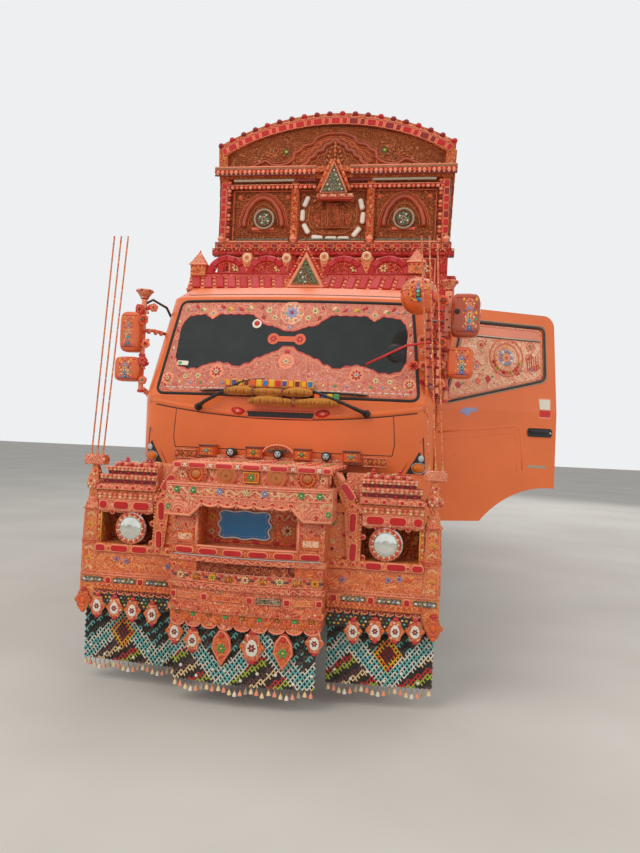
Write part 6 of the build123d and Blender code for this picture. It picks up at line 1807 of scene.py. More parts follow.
def build_lamp_row():
    """Dressed boxes with three round lamps between them, under a shell."""
    r = Piece("lamp_row_dressed", slot="lamp_row")
    block(r, -0.600, 0.600, -0.024, 0.030, 1.4503, 1.480, "tape_hood")
    front = flat((0, -0.0245, 0))
    beads(r, front, level(-0.585, 0.585, 1.465), 0.039, 0.007, ["red", "cream", "pink"])
    for x in (-0.521, -0.174, 0.174, 0.521):
        block(r, x - 0.060, x + 0.060, -0.060, 0.030, 1.462, 1.540, "orange", 0.005)
        face = flat((x, -0.060, 1.501))
        moulding(r, face, -0.053, 0.053, -0.032, 0.032, 0.008, 0.005, "brown")
        for a in range(0, 360, 45):
            dome(r, face, 0.030 * math.cos(math.radians(a)), 0.020 * math.sin(math.radians(a)),
                 0.015, 0.007, "yellow" if a % 90 else "salmon", 0, 6, 2, 0.4, a)
        flower(r, face, 0, 0.004, 0.017, 6, "green" if abs(x) < 0.3 else "turquoise", "white", 0.004, 0.009)
        block(r, x - 0.063, x + 0.063, -0.064, 0.020, 1.538, 1.548, "brown", 0.003)
    for x in (-0.345, 0.0, 0.345):
        turned(r, (x, 0.025, 1.500), (0, -1, 0),
               [(0.030, 0), (0.033, 0.070), (0.033, 0.084), (0.026, 0.090)], "black", 18)
        lamp = flat((x, -0.0645, 1.500))
        dome(r, lamp, 0, 0, 0.023, 0.007, "clear", 0.0, 14, 3)
        for a in (30, 150, 270):
            dome(r, lamp, 0.012 * math.cos(math.radians(a)), 0.012 * math.sin(math.radians(a)),
                 0.006, 0.006, "black", 0.004, 6)
    brow = flat((0, -0.050, 0))
    for k in range(11):
        a = math.radians(24 + 13.2 * k)
        ridge(r, brow, [(0.050 * math.cos(a), 1.496 + 0.030 * math.sin(a)),
                        (0.098 * math.cos(a), 1.496 + 0.058 * math.sin(a))], 0.009, 0.005, "silver")
    ridge(r, brow, arc(0, 1.496, 0.112, 12, 168, 16, 0.62), 0.014, 0.012, "rim")
    fan_shape = arc(0, 1.496, 0.106, 14, 166, 14, 0.62) + arc(0, 1.496, 0.045, 166, 14, 14, 0.62)
    plate(r, brow, fan_shape, -0.010, -0.001, "orange", 0.002)
    r.done("lamp_row")


def headlamp(piece, x, z=1.000):
    """A deep bright bowl with a bulged lens, in a wide collar of pink studs, on a short foot."""
    y = -0.635
    turned(piece, (x, y + 0.140, z), (0, -1, 0),
           [(0.046, 0), (0.088, 0.070), (0.104, 0.132), (0.105, 0.140), (0.098, 0.146), (0.080, 0.140)],
           ["black", "black", "chrome", "chrome", "rim"], 40)
    collar = flat((x, y, z))
    beads(piece, collar, arc(0, 0, 0.090, 0, 360, 40), 0.0188, 0.0085,
          ["pink", "rose", "salmon", "rose"], 0.004)
    pearls_round(piece, collar, 0, 0, 0.080, 30, 0.010, 0.010, ("cream", "salmon"), 0.002)
    turned(piece, (x, y - 0.001, z), (0, -1, 0),
           [(0.070, 0), (0.068, 0.008), (0.052, 0.015), (0.026, 0.019), (0.003, 0.020)], "lampglass", 32)
    turned(piece, (x, y, z), (0, -1, 0), [(0.076, 0), (0.076, 0.006), (0.070, 0.010), (0.066, 0.006)],
           "chrome", 32)
    tube(piece, [(x, y + 0.100, 0.892), (x, y + 0.100, z - 0.085)], 0.015, "black", 10)


def across(s, x0, z0, x1, z1):
    """A line on one side of the truck."""
    return line(s * x0, z0, s * x1, z1)


def wing_hood(b, s, raised):
    """The board over the alcove, with long reflectors, a scalloped edge and a slat."""
    lo, hi = sorted((s * 0.668, s * 1.040))
    # Hood board over the alcove, with long reflectors and a scalloped edge.
    plate(b, WING, frame_line(lo, hi, 1.104, 1.184), -0.014, 0.016, "tape_hood", 0.004)
    for x, width in ((1.005, 0.050), (0.884, 0.098), (0.748, 0.104)):
        gem(b, raised, s * x, 1.143, width, 0.046)
    for k in range(4):
        x = s * (0.714 + 0.093 * k)
        dome(b, WING, x, 1.106, 0.040, 0.015, "tape_hood", -0.004, 12, 2, 0.45)
    for x in (0.760, 0.853, 0.946):
        stud(b, WING, s * x, 1.098, 0.013, "tile", 0.006)
    ridge(b, raised, across(s, 0.668, 1.176, 1.040, 1.176), 0.007, 0.006, "pink")
    # Lumpy scalloped bead row on the slat, then small upright tiles.
    for k in range(11):
        x = s * (0.684 + 0.0345 * k)
        dome(b, raised, x, 1.212, 0.0185, 0.014, ("pink", "rim", "pink", "salmon")[k % 4], 0, 8, 2, 0.7)
        dome(b, raised, x, 1.194, 0.012, 0.011, ("cream", "pink")[k % 2], 0, 6)


def wing_sill(b, s, raised):
    """Reflectors on the sill and the foot, and the alcove's inner end and back."""
    sill_z = 0.866
    lo, hi = sorted((s * 0.668, s * 1.040))
    # Sill and foot.
    for x, width in ((1.012, 0.062), (0.884, 0.112), (0.748, 0.096)):
        gem(b, raised, s * x, sill_z, width, 0.038)
    stud(b, raised, s * 0.955, sill_z, 0.010)
    for x in (0.500, 0.560, 0.680):
        stud(b, raised, s * x, 0.868, 0.012)
    beads(b, WING, across(s, 1.034, 0.910, 1.034, 1.090), 0.024, 0.008, ["red", "yellow", "orange", "cream"])
    ridge(b, WING, across(s, 1.020, 0.905, 1.020, 1.095), 0.007, 0.007, "yellow")
    inner = flat((0, -0.4552, 0))
    plate(b, inner, frame_line(lo + 0.004, hi - 0.022, 0.90, 1.175), 0, 0.004, "emboss_orange")


def wing_rib(b, s):
    """The rib beside the centre and the tape field next to it."""
    # Rib of long reflectors with studs, leaning in at the top.
    for x, z, tall, turn in ((0.612, 1.122, 0.112, 2), (0.619, 0.942, 0.108, 3)):
        gem(b, RIB, s * x, z, 0.036, tall, "tile", -s * turn, 0, 0.5)
    gem(b, RIB, s * 0.576, 1.305, 0.040, 0.112, "rose", s * 35, 0, 0.5)
    dome(b, RIB, s * 0.520, 1.392, 0.045, 0.014, "rim", -0.004, 10, 2, 0.5, 90 + s * 50)
    for x, z in ((0.606, 1.222), (0.640, 1.200), (0.604, 1.034), (0.626, 0.868)):
        stud(b, RIB, s * x, z, 0.012)
    spine = [(s * 0.627, 0.880), (s * 0.622, 1.20), (s * 0.535, 1.405)]
    for dx in (-0.033, 0.033):
        beads(b, RIB, [(x + dx, z) for x, z in spine], 0.020, 0.006, ["rim", "cream", "rim"], -0.001)
    # The tape field between the centre and the rib.
    for x, z in ((0.676, 1.036), (0.560, 1.040), (0.677, 0.912), (0.565, 0.905),
                 (0.552, 1.175), (0.664, 1.172), (0.492, 0.955)):
        stud(b, WING, s * x, z, 0.013, ("tile", "darktile")[x < 0.56])
    for z in (0.935, 1.005, 1.075, 1.145):
        fan(b, WING, s * 0.520, z, 0.030, "pink", "cream")
    flower(b, WING, s * 0.490, 1.120, 0.024, 5, "green", "cream", 0, 0.010)
    flower(b, WING, s * 0.488, 1.000, 0.018, 6, "cream", "yellow", 0, 0.008)


def wing_apron(b, s):
    """From the vines over the embossed sheet down to the hem and its pendants."""
    plate_z = 0.656
    # Apron: fine vines over the embossed sheet, a row of silver plates, a dotted band and the hem.
    for z in (0.832, 0.706):
        ridge(b, WING, across(s, 0.475, z, 1.040, z), 0.006, 0.005, "pink")
    for k in range(12):
        for r in range(2):
            fan(b, WING, s * (0.500 + 0.0465 * k), 0.776 - 0.056 * r,
                0.021, ("salmon", "orange", "pink")[(k + r) % 3], "amber", 0, 2)
    for x, z in ((0.905, 0.795), (0.838, 0.785), (0.560, 0.770)):
        flower(b, WING, s * x, z, 0.020, 6, "lilac", "red", 0.002, 0.008)
    ridge(b, WING, across(s, 0.470, 0.690, 1.150, 0.690), 0.008, 0.008, "pink")
    for x, width in ((1.064, 0.140), (0.848, 0.150), (0.630, 0.150)):
        plate(b, WING, oblong(s * x, plate_z, width, 0.036, 0, 0.008), 0, 0.008, "silver")
        for k in range(5):
            dome(b, WING, s * (x - width * 0.38 + width * 0.19 * k),
                 plate_z, 0.012, 0.007, ("white", "grey", "cream", "lilac")[k % 4], 0.006, 6, 2, 0.7)
    for x in (0.956, 0.738, 0.512):
        gem(b, WING, s * x, plate_z, 0.030, 0.034, "tile", corner=0.25)
    plate(b, WING, frame_line(*sorted((s * 0.468, s * 1.046)), 0.592, 0.640), 0, 0.015, "tape_apron", 0.004)
    for z, step, keys in ((0.628, 0.016, ["cream", "red"]), (0.606, 0.022, ["yellow", "pink"])):
        beads(b, on(WING, 0.015), across(s, 0.480, z, 1.036, z), step, 0.005, keys, 0, 5)
    # Dark chain work behind the hem, on the wing's foot.
    plate(b, WING, frame_line(*sorted((s * 0.472, s * 1.044)), 0.492, 0.592), 0, 0.0135, "black", 0.002)
    for k in range(22):
        for r in range(4):
            x, z = s * (0.482 + 0.0258 * k + 0.0129 * (r % 2)), 0.572 - 0.022 * r
            dome(b, on(WING, 0.0135), x, z, 0.011, 0.005,
                 ("green", "cream", "yellow", "plum", "turquoise", "brown")[(k + 2 * r) % 6], 0, 4, 1, 0.9)
    swags(b, on(WING, 0.014), *sorted((s * 0.470, s * 1.043)), 0.600,
          11, 0.034, "emboss_dark", None, 0, 0.006, "pink")
    for x, z in ((1.012, 0.495), (0.894, 0.489), (0.773, 0.482), (0.640, 0.468)):
        pendant(b, s * x, -0.647, z)
        tube(b, [(s * x, -0.645, z + 0.07), (s * x, -0.643, 0.600)], 0.003, "steel", 5)
    pendant(b, s * 1.118, -0.636, 0.520, "boss")


def wing_eaves(b, s):
    """Stepped tiers over the wing: beaded edges over rows of small upright tiles."""
    # Stepped eaves: beaded edges over rows of small upright tiles.
    for z, front, x1, kind in ((1.258, 0.659, 1.045, "tile"), (1.294, 0.631, 1.015, "dark"),
                               (1.328, 0.651, 1.025, "bead"), (1.354, 0.627, 0.985, "dark"),
                               (1.380, 0.645, 0.995, "bead"), (1.406, 0.605, 0.955, "cap")):
        tier = flat((0, -front, 0))
        lo, hi = sorted((s * 0.662, s * x1))
        span = x1 - 0.662
        if kind == "tile":
            strip(b, tier, lo, hi, 1.2435, 1.2725, 0.004, "tape_hood", 1)
            for k in range(7):
                gem(b, tier, s * (0.690 + 0.054 * k), 1.258, 0.022,
                    0.020, ("tile", "salmon")[k % 2], 0, 0.004)
        elif kind == "bead":
            for k in range(13):
                x = s * (0.670 + (span - 0.016) * k / 12)
                dome(b, tier, x, z + 0.004, 0.0165, 0.013, ("pink", "rim", "salmon", "pink")[k % 4],
                     0, 8, 2, 0.62)
                dome(b, tier, x, z - 0.009, 0.010, 0.010, ("cream", "pink")[k % 2], 0, 6)
        elif kind == "dark":
            strip(b, tier, lo, hi, z - 0.010, z + 0.010, 0.003, "maroon", 1)
            for k in range(6):
                dome(b, tier, s * (0.690 + (span - 0.06) * k / 5), z, 0.012, 0.010, "rose", 0.002, 6)
        else:
            for k in range(9):
                dome(b, tier, s * (0.674 + (span - 0.024) * k / 8), z, 0.014, 0.016, ("pink", "rose")[k % 2])
            for x in (0.72, 0.882):
                turned(b, (s * x, -front + 0.030, 1.419), (0, 0, 1),
                       [(0.016, 0), (0.018, 0.008), (0.008, 0.016), (0.013, 0.024), (0.002, 0.036)],
                       "rose", 8)
        end = flat((s * x1, 0, z), (0, s, 0))
        beads(b, end, level(-s * front + s * 0.015, -s * 0.46, 0), 0.030, 0.010, ["pink", "rose"])
    roof = flat((0, 0, 1.4195), (1, 0, 0), (0, 1, 0))
    garland(b, roof, across(s, 0.70, -0.53, 0.93, -0.53), 0.076, 0.026, ["cream", "red"], "yellow")


def build_wings():
    lamps = Piece("headlamp_pair", slot="headlamps")
    b = Piece("bumper_wing_trim", slot="bumper_wings")
    raised = on(WING, 0.016)
    for s in (-1, 1):
        headlamp(lamps, s * 0.815)
        wing_hood(b, s, raised)
        wing_sill(b, s, raised)
        wing_rib(b, s)
        wing_apron(b, s)
        wing_eaves(b, s)
    b.done()
    lamps.done("headlamps")


def build_posts():
    """The posts at the bumper's ends: four dressed faces, a turned finial and a little hull with pins."""
    p = Piece("bumper_post_trim", slot="bumper_posts")
    for s in (-1, 1):
        x, y = s * 1.0977, -0.5725
        for dirx, diry in ((0, -1), (s, 0), (0, 1), (-s, 0)):
            for z0, z1, h0, h1, n in ((0.700, 0.885, 0.0512, 0.0502, 3), (0.915, 1.105, 0.0500, 0.0445, 3)):
                if diry == 0 and dirx == -s and z0 < 0.9:
                    continue

                def leaning(u, z):
                    reach = h0 + (h1 - h0) * (z - z0) / (z1 - z0)
                    return Vector((x + dirx * reach - diry * u, y + diry * reach + dirx * u, z))

                side = Skin(leaning)
                moulding(p, side, -0.038, 0.038, z0 + 0.008, z1 - 0.008, 0.006, 0.005, "pink")
                for k in range(n):
                    z = z0 + (z1 - z0) * (k + 0.5) / n
                    fan(p, side, 0, z - 0.012, 0.024, "yellow" if k % 2 else "cream",
                        "green" if k == 1 else "salmon", 0, 2)
                    for u in (-0.026, 0.026):
                        dome(p, side, u, z + 0.020, 0.005, 0.005, "pink", 0, 6)
        for z in (0.893, 0.906, 1.112):
            for dirx, diry in ((0, -1), (s, 0), (0, 1)):
                side = flat((x + dirx * 0.052, y + diry * 0.052, z), (-diry, dirx, 0))
                ridge(p, side, level(-0.046, 0.046, 0), 0.008, 0.006, "salmon")
        turned(p, (x, y, 1.105), (0, 0, 1), [(0.046, 0.0), (0.052, 0.008), (0.048, 0.018),
                                             (0.036, 0.060), (0.044, 0.070), (0.030, 0.080)],
               ["rim", "tape_hood", "tape_hood", "rim", "pink"])
        turned(p, (x, y, 1.228), (0, 0, 1), [(0.030, 0), (0.047, 0.020), (0.052, 0.040),
                                             (0.044, 0.066), (0.026, 0.088)], "tape_hood", 16)
        turned(p, (x, y, 1.312), (0, 0, 1), [(0.032, 0), (0.030, 0.020), (0.024, 0.045), (0.016, 0.070),
                                             (0.014, 0.086)], ["tape_hood", "rim", "tape_hood", "rim"], 12)
        for row, (z, r) in enumerate(((1.250, 0.046), (1.268, 0.050),
                                      (1.288, 0.046), (1.330, 0.029), (1.350, 0.024))):
            for k in range(10):
                a = TAU * (k + 0.5 * (row % 2)) / 10
                dome(p, beside(x, y, z, r, a), 0, 0, 0.010, 0.007,
                     ("rose", "cream", "pink")[(k + row) % 3], 0, 6)
        hull = [(-0.062, 1.396), (0.066, 1.396), (0.074, 1.430), (0.058, 1.458),
                (-0.054, 1.458), (-0.070, 1.430)]
        plate(p, flat((x, y - 0.0345, 0)), hull, 0, 0.006, "tape_hood", 0.004)
        plate(p, flat((x, y + 0.0345, 0), (-1, 0, 0)), [(-a, b_) for a, b_ in hull],
              0, 0.006, "tape_hood", 0.004)
        for dx in (-0.040, 0.0, 0.040):
            turned(p, (x + dx, y, 1.452), (0, 0, 1), [(0.009, 0), (0.010, 0.012), (0.006, 0.030),
                                                      (0.0045, 0.05)], ["pink", "brass", "brass"], 8)
    p.done()


# Chain curtain under the bumper.
def chain_key(x, z, strand):
    """The colour of a strand of the net: pale bands, yellow lozenges, dark and coloured fields."""
    lozenge_x, lozenge_z, half_width, half_height = 0.85, 0.325, 0.095, 0.110
    lozenge = abs(abs(x) - lozenge_x) / half_width + abs(z - lozenge_z) / half_height
    if lozenge < 1:
        return "maroon" if lozenge < 0.55 else ("yellow", "yellow", "orange")[strand % 3]
    shift, wave, middle, swing = 0.12, 0.49, 0.285, 0.115
    turn = (x + shift) / wave
    centre = middle + swing * (4 * abs(turn - math.floor(turn + 0.5)) - 1)
    off = abs(z - centre)
    if off < 0.050:
        return ("turquoise", "turquoise", "white")[strand % 3]
    if off < 0.072:
        return "white"
    if z > centre:
        return ("black", "chassis", "turquoise", "black")[(strand + math.floor(turn)) % 4]
    return ("plum", "cream", "black", "rose", "lime", "black")[(strand // 2 + 2 * math.floor(turn)) % 6]


def build_skirt():
    k = Piece("chain_curtain", slot="chain_skirt")
    runs = [(-1.125, -0.565, -0.480, -0.613), (-0.436, -0.776, -0.154, -0.8192),
            (-0.150, -0.8188, 0.150, -0.8188), (0.154, -0.8192, 0.436, -0.776),
            (0.480, -0.613, 1.125, -0.565)]
    pitch, rise, head = 0.0285, 0.0185, 0.486
    for x0, y0, x1, y1 in runs:
        length = math.hypot(x1 - x0, y1 - y0)
        ahead = Vector(((x1 - x0) / length, (y1 - y0) / length, 0))
        out = Vector((ahead.y, -ahead.x, 0))
        skin = flat(Vector((x0, y0, 0)) + out * 0.006, ahead)
        ridge(k, skin, level(0, length, 0.488), 0.020, 0.007, "steel")
        plate(k, skin, frame_line(0, length, 0.135, 0.490), -0.011, -0.008, "chassis", 0.001)
        columns, rows = round(length / pitch), 19
        step = length / columns
        for r in range(rows):
            z = head - rise * r
            for c in range(columns + 1):
                u = step * (c + (0.5 if r % 2 else 0))
                for turn in (-0.5, 0.5):
                    v = u + step * turn
                    if not 0 <= v <= length or u > length:
                        continue
                    key = chain_key(x0 + ahead.x * (u + v) / 2, z - rise / 2, c + r)
                    w = 0.0052
                    points = [skin.at(u - w, z, 0), skin.at(u + w, z, 0),
                              skin.at(u, z, 0.004), skin.at(v - w, z - rise, 0),
                              skin.at(v + w, z - rise, 0), skin.at(v, z - rise, 0.004)]
                    k.put(points, [[0, 3, 5, 2], [2, 5, 4, 1], [1, 4, 3, 0]], key)
        # Bells along the foot, on a waved line.
        count = round(length / 0.034)
        for c in range(count):
            u = length * (c + 0.5) / count
            place = skin.at(u, 0.124 + 0.012 * math.cos(TAU * c / 6) - 0.004, 0.0)
            key = ("cream", "pink", "cream", "white", "rim", "grey")[c % 6]
            turned(k, place - Vector((0, 0, 0.034)), (0, 0, 1),
                   [(0.014, 0), (0.011, 0.012), (0.005, 0.026), (0.0025, 0.038)], [key, key, "brass"], 8)
            tube(k, [place, Vector((place.x, place.y, 0.145))], 0.0022, "steel", 4)
            if c % 3 == 1:
                dome(k, skin, u, 0.168 + 0.05 * (c % 2), 0.012, 0.010, "white", 0.002)
    # Pendants on the bowed middle.
    for x, z, kind, size in ((-0.430, 0.420, "egg", 1.0), (-0.308, 0.383, "egg", 1.0),
                             (-0.121, 0.360, "lozenge", 1.0), (0.064, 0.375, "egg", 1.3),
                             (0.250, 0.360, "lozenge", 1.0), (0.430, 0.420, "egg", 1.0)):
        y = BULGE.at(x, z).y + 0.006
        tube(k, [(x, y + 0.004, z + 0.06), (x, y + 0.008, 0.492)], 0.0035, "steel", 5)
        pendant(k, x, y, z, kind, size)
    k.done("chain_skirt")


# Mirrors.
def mirror_pole(m, px, py, top):
    """A pole of pale sleeves with collars, under a flared capital."""
    height = top - 1.920
    rows, keys, d, k = [], [], 0.0, 0
    while d < height - 0.20:
        for r, step, key in ((0.018, 0.0, "salmon"), (0.026, 0.006, "rose"), (0.026, 0.018, "salmon"),
                             (0.019, 0.026, ("rim", "salmon", "tape_hood")[k % 3]),
                             (0.019, 0.086, "maroon")):
            if d + step < height - 0.16:
                rows.append((r, d + step))
                keys.append(key)
        d += 0.092
        k += 1
    rows += [(0.018, height - 0.150), (0.020, height - 0.142), (0.021, height - 0.075),
             (0.031, height - 0.066), (0.034, height - 0.056), (0.062, height - 0.014),
             (0.064, height - 0.002), (0.050, height)]
    keys += ["salmon", "rim", "rose", "tape_hood", "tape_hood", "rim", "salmon"]
    turned(m, (px, py, 1.920), (0, 0, 1), rows, keys)
    for k in range(12):
        a = TAU * k / 12
        dome(m, beside(px, py, top - 0.010, 0.060, a), 0, 0, 0.011, 0.008, "rose" if k % 2 else "rim", 0, 6)


def mirror_brackets(m, s, px, py):
    """Bars from the pole to the cab, with collars."""
    for z0, x1, y1, z1 in ((1.960, 1.032, 0.310, 1.900), (2.400, 0.992, 0.465, 2.400)):
        start = Vector((px, py, z0))
        end = Vector((s * (cab_level(z1, 2) + 0.004), y1 - 0.012, z1))
        end.y = py + (y1 - py) * (abs(px) - abs(end.x)) / (abs(px) - x1)
        tube(m, [start, start.lerp(end, 0.5) + Vector((0, 0, 0.012)), end], 0.013, "salmon", 10)
        for t in (0.25, 0.55, 0.8):
            spot = start.lerp(end, t)
            turned(m, spot - (end - start).normalized() * 0.012, end - start,
                   [(0.013, 0), (0.021, 0.006), (0.021, 0.018), (0.013, 0.024)], "pink", 10)


def mirror_rosettes(m, s, px, py):
    """Rosettes round the pole, on short stalks."""
    spots = ([(1.063, 2.497), (1.029, 2.583), (1.115, 2.343), (0.976, 2.363), (1.050, 2.400),
              (0.990, 2.270), (0.922, 2.175), (0.991, 2.176), (1.052, 2.194), (1.121, 2.188),
              (0.989, 2.052), (1.119, 2.048), (1.046, 1.953), (0.960, 1.972), (1.115, 2.640),
              (1.060, 2.300)] if s > 0 else [(1.168, 2.553), (1.050, 2.564), (1.120, 2.470),
                                             (1.110, 2.290), (1.120, 2.160), (1.105, 2.010)])
    for i, (x, z) in enumerate(spots):
        y = 0.150 - 0.018 * (i % 3)
        size = 0.032 if i % 2 else 0.037
        face = flat((s * x, y, z))
        plate(m, face, round_outline(0, 0, size, 20, 0.16, 5, 18 * i),
              -0.008, 0.002, ("rose", "salmon", "orange", "pink")[i % 4])
        flower(m, face, 0, 0, size * 0.80, 6, ("salmon", "rim", "rose", "orange")[i % 4],
               ("maroon", "red", "green")[i % 3], 0.002, 0.012)
        tube(m, [(px, py, z - 0.010), (s * x, y + 0.004, z)], 0.005, "maroon", 5)


def mirror_head(m, s, px, py, head):
    """A mirror's housing with a painted band down its front, its glass behind and flowers outside."""
    z, out, width, tall, depth, key = head
    x, y = px + s * out, py - 0.020
    lump(m, (x, y, z), (width, depth, tall), key, 0.42, 28, 14)
    tube(m, [(px, py, z), (px + s * (out - width / 2 + 0.01), py, z)], 0.011, "rim")
    front = flat((x, y - depth / 2 - 0.0005, z))
    hw, hh = width * 0.34, tall * 0.38
    shift = s * width * (0.13 if key == "umber" else 0.04)
    # A painted band down the front: pale ground, flowers, and scalloped sides.
    plate(m, front, oblong(shift, 0, hw * 0.92, hh * 1.92, 0, hw * 0.3, 4), -0.010, 0.001, "tape", 0.002)
    for k in range(5):
        dz = hh * (0.80 - 0.40 * k)
        flower(m, front, shift, dz, hw * 0.30, 6, ("pink", "lilac", "cream", "turquoise", "blue")[k],
               ("rose", "cream", "red")[k % 3], 0.001, 0.006)
        for sx in (-1, 1):
            dome(m, front, shift + sx * hw * 0.62, dz + hh * 0.10,
                 hw * 0.24, 0.006, ("yellow", "rose", "yellow", "green", "pink")[k], -0.006, 8, 2, 0.6, 90)
            dome(m, front, shift + sx * hw * 0.40, dz - hh * 0.16,
                 hw * 0.12, 0.005, ("cream", "blue", "white")[k % 3], 0.0, 6)
    for sz in (-1, 1):
        ridge(m, front, level(-hw, hw, sz * hh), 0.008, 0.006, "rose", -0.008)
    if key == "umber":
        turned(m, (x - s * width * 0.30, y - depth / 2 + 0.012, z + 0.02),
               (0, -1, 0), [(0.020, 0), (0.020, 0.014), (0.008, 0.018)], "black", 12)
    rear = flat((x, y + depth / 2 + 0.0005, z), (-1, 0, 0))
    plate(m, rear, oblong(0, 0, width * 0.80, tall * 0.84, 0, width * 0.16, 5),
          -0.014, 0.001, "mirror", 0.004)
    ridge(m, rear, oblong(0, 0, width * 0.86, tall * 0.88, 0, width * 0.18, 5),
          0.012, 0.006, "black", -0.008, True)
    outer = flat((x + s * width / 2, y, z), (0, s, 0))
    for k in (-1, 0, 1):
        flower(m, outer, 0, k * tall * 0.26, 0.022, 6, "cream" if k else "red", "yellow", -0.001)


def ball_mirror(m, px, py):
    """The painted ball, the round mirror under it and two slim spindles."""
    centre = Vector((0.943, -0.050, 2.634))
    lump(m, centre, (0.250, 0.250, 0.254), "gloss", 1.0, 36, 20)
    cap = []
    for k in range(7):
        a = math.radians(90 * k / 6)
        cap.append((0.1266 * math.cos(a) + 0.0006, 0.1286 * math.sin(a)))
    turned(m, centre + Vector((0, 0, 0.026)), (0, 0, 1), [(r, d * 0.80) for r, d in cap], "tape_orange", 32)
    ball = Skin(lambda u, v, c=centre: c
                + 0.1262 * Vector((math.sin(u) * math.cos(v), -math.cos(u) * math.cos(v), math.sin(v))))
    plate(m, ball, oval(-0.10, -0.05, 0.40, 0.42, 24), -0.002, 0.003, "yellow", 0.001)
    plate(m, ball, oval(-0.02, 0.04, 0.13, 0.50, 20), 0.002, 0.005, "silver", 0.001)
    for k in range(14):
        a = TAU * k / 14
        spot = ball.at(0.42 * math.cos(a) - 0.10, 0.42 * math.sin(a) - 0.05, 0.003)
        lump(m, spot, (0.018, 0.010, 0.018), ("orange", "rose")[k % 2], 1.0, 6, 4)
    for u, v, key in ((-0.02, 0.42, "blue"), (-0.02, 0.24, "lilac"),
                      (-0.02, 0.06, "turquoise"), (-0.02, -0.14, "green"),
                      (0.0, -0.34, "blue"), (-0.30, 0.10, "orange"), (-0.30, -0.18, "red"),
                      (0.20, 0.10, "orange"), (0.20, -0.18, "red"), (0.10, -0.38, "blue")):
        lump(m, ball.at(u, v, 0.004), (0.026, 0.012, 0.022), key, 1.0, 8, 5)
    for k in range(16):
        a = TAU * k / 16
        spot = centre + Vector((0.106 * math.cos(a), 0.106 * math.sin(a), 0.080))
        slope = flat(spot, (-math.sin(a), math.cos(a), 0), (-0.60 * math.cos(a), -0.60 * math.sin(a), 0.80))
        flower(m, slope, 0, 0, 0.014, 5, ("rim", "rose")[k % 2], "red", 0.002)
    turned(m, centre + Vector((0.095, -0.055, -0.010)), (0.8, -0.6, 0),
           [(0.034, 0), (0.040, 0.014), (0.030, 0.028), (0.010, 0.034)], ["orange", "rose", "orange"])
    tube(m, [(px, py, 2.640), centre + Vector((0.08, 0.10, 0))], 0.012, "salmon")
    # The round mirror under it, on a red rod.
    round_face = Vector((0.800, -0.050, 2.235))
    turned(m, round_face, (0.12, -1, 0),
           [(0.064, 0), (0.066, 0.006), (0.050, 0.018), (0.026, 0.024), (0.003, 0.026)], "black", 24)
    turned(m, round_face, (-0.12, 1, 0), [(0.064, 0), (0.058, 0.003), (0.003, 0.005)], "mirror", 24)
    tube(m, [(0.600, -0.085, 2.151), (0.730, -0.088, 2.214), (0.870, -0.070, 2.288),
             (1.00, 0.060, 2.330), (px, py, 2.345)], 0.008, "red")
    # Two slim spindles between the ball and the cab.
    for x, y, z0, z1, key in ((1.020, 0.105, 1.98, 2.58, "salmon"), (1.095, 0.125, 1.98, 2.46, "rim")):
        rows, d = [], 0.0
        while d < z1 - z0 - 0.05:
            rows += [(0.012, d), (0.014, d + 0.040), (0.020, d + 0.046),
                     (0.020, d + 0.056), (0.012, d + 0.062)]
            d += 0.066
        turned(m, (x, y, z0), (0, 0, 1), rows,
               [(key, "rose", "maroon", "rose", key)[k % 5] for k in range(len(rows) - 1)], 9)
        for z in (z0 + 0.04, z1 - 0.08):
            tube(m, [(px, py, z), (x, y, z)], 0.006, "steel", 6)


def pole_flowers(m, px, py):
    """Three rosy flowers and a hooked bar on the right pole."""
    for z, size in ((2.553, 0.052), (2.300, 0.036), (2.120, 0.040)):
        front = flat((px + 0.020, py - 0.034, z))
        for a, r in ((30, 1.0), (150, 1.0), (225, 0.6), (315, 0.6)):
            dome(m, front, size * 0.9 * math.cos(math.radians(a)) * r,
                 size * 0.8 * math.sin(math.radians(a)) * r, size * 0.66 * r,
                 0.010, "rim" if r < 1 else "rose", 0, 8, 2, 0.6, a)
        dome(m, front, 0, 0, 0.010, 0.016, "yellow")
    tube(m, [(px, py, 2.60), (px + 0.06, py + 0.02, 2.64), (px + 0.13, py + 0.13, 2.60),
             (-cab_level(2.55, 2) - 0.004, py + 0.24, 2.55)], 0.010, "chassis")


def build_mirrors():
    for name, s, top, heads in (("left", 1, 2.800, [(2.545, 0.122, 0.205, 0.315, 0.130, "umber"),
                                                    (2.205, 0.098, 0.185, 0.225, 0.110, "gloss")]),
                                ("right", -1, 2.712, [(2.380, 0.078, 0.165, 0.310, 0.130, "gloss"),
                                                      (2.095, 0.092, 0.208, 0.190, 0.110, "gloss")])):
        m = Piece(f"mirror_group_{name}", slot=f"mirrors_{name}")
        px, py = s * 1.154, 0.200
        mirror_pole(m, px, py, top)
        if s > 0:
            board = flat((px, py - 0.028, 0))
            plate(m, board, frame_line(-0.026, 0.026, 2.430, 2.722), -0.012, 0.002, "rim", 0.004)
            for k in range(5):
                dome(m, board, 0.008 * (-1) ** k, 2.460 + 0.055 * k, 0.008, 0.004, "maroon", 0.002, 6)
        mirror_brackets(m, s, px, py)
        mirror_rosettes(m, s, px, py)
        for head in heads:
            mirror_head(m, s, px, py, head)
        if s > 0:
            ball_mirror(m, px, py)
        else:
            pole_flowers(m, px, py)
        m.done(f"mirrors_{name}")


# Doors: outside trim, window panel and inside lining.
def door_matrix(side):
    if side == "right":
        return MIRROR_X
    hinge = Matrix.Translation((1.104, 0.372, 0))
    return hinge @ Matrix.Rotation(math.radians(-64), 4, "Z") @ hinge.inverted()


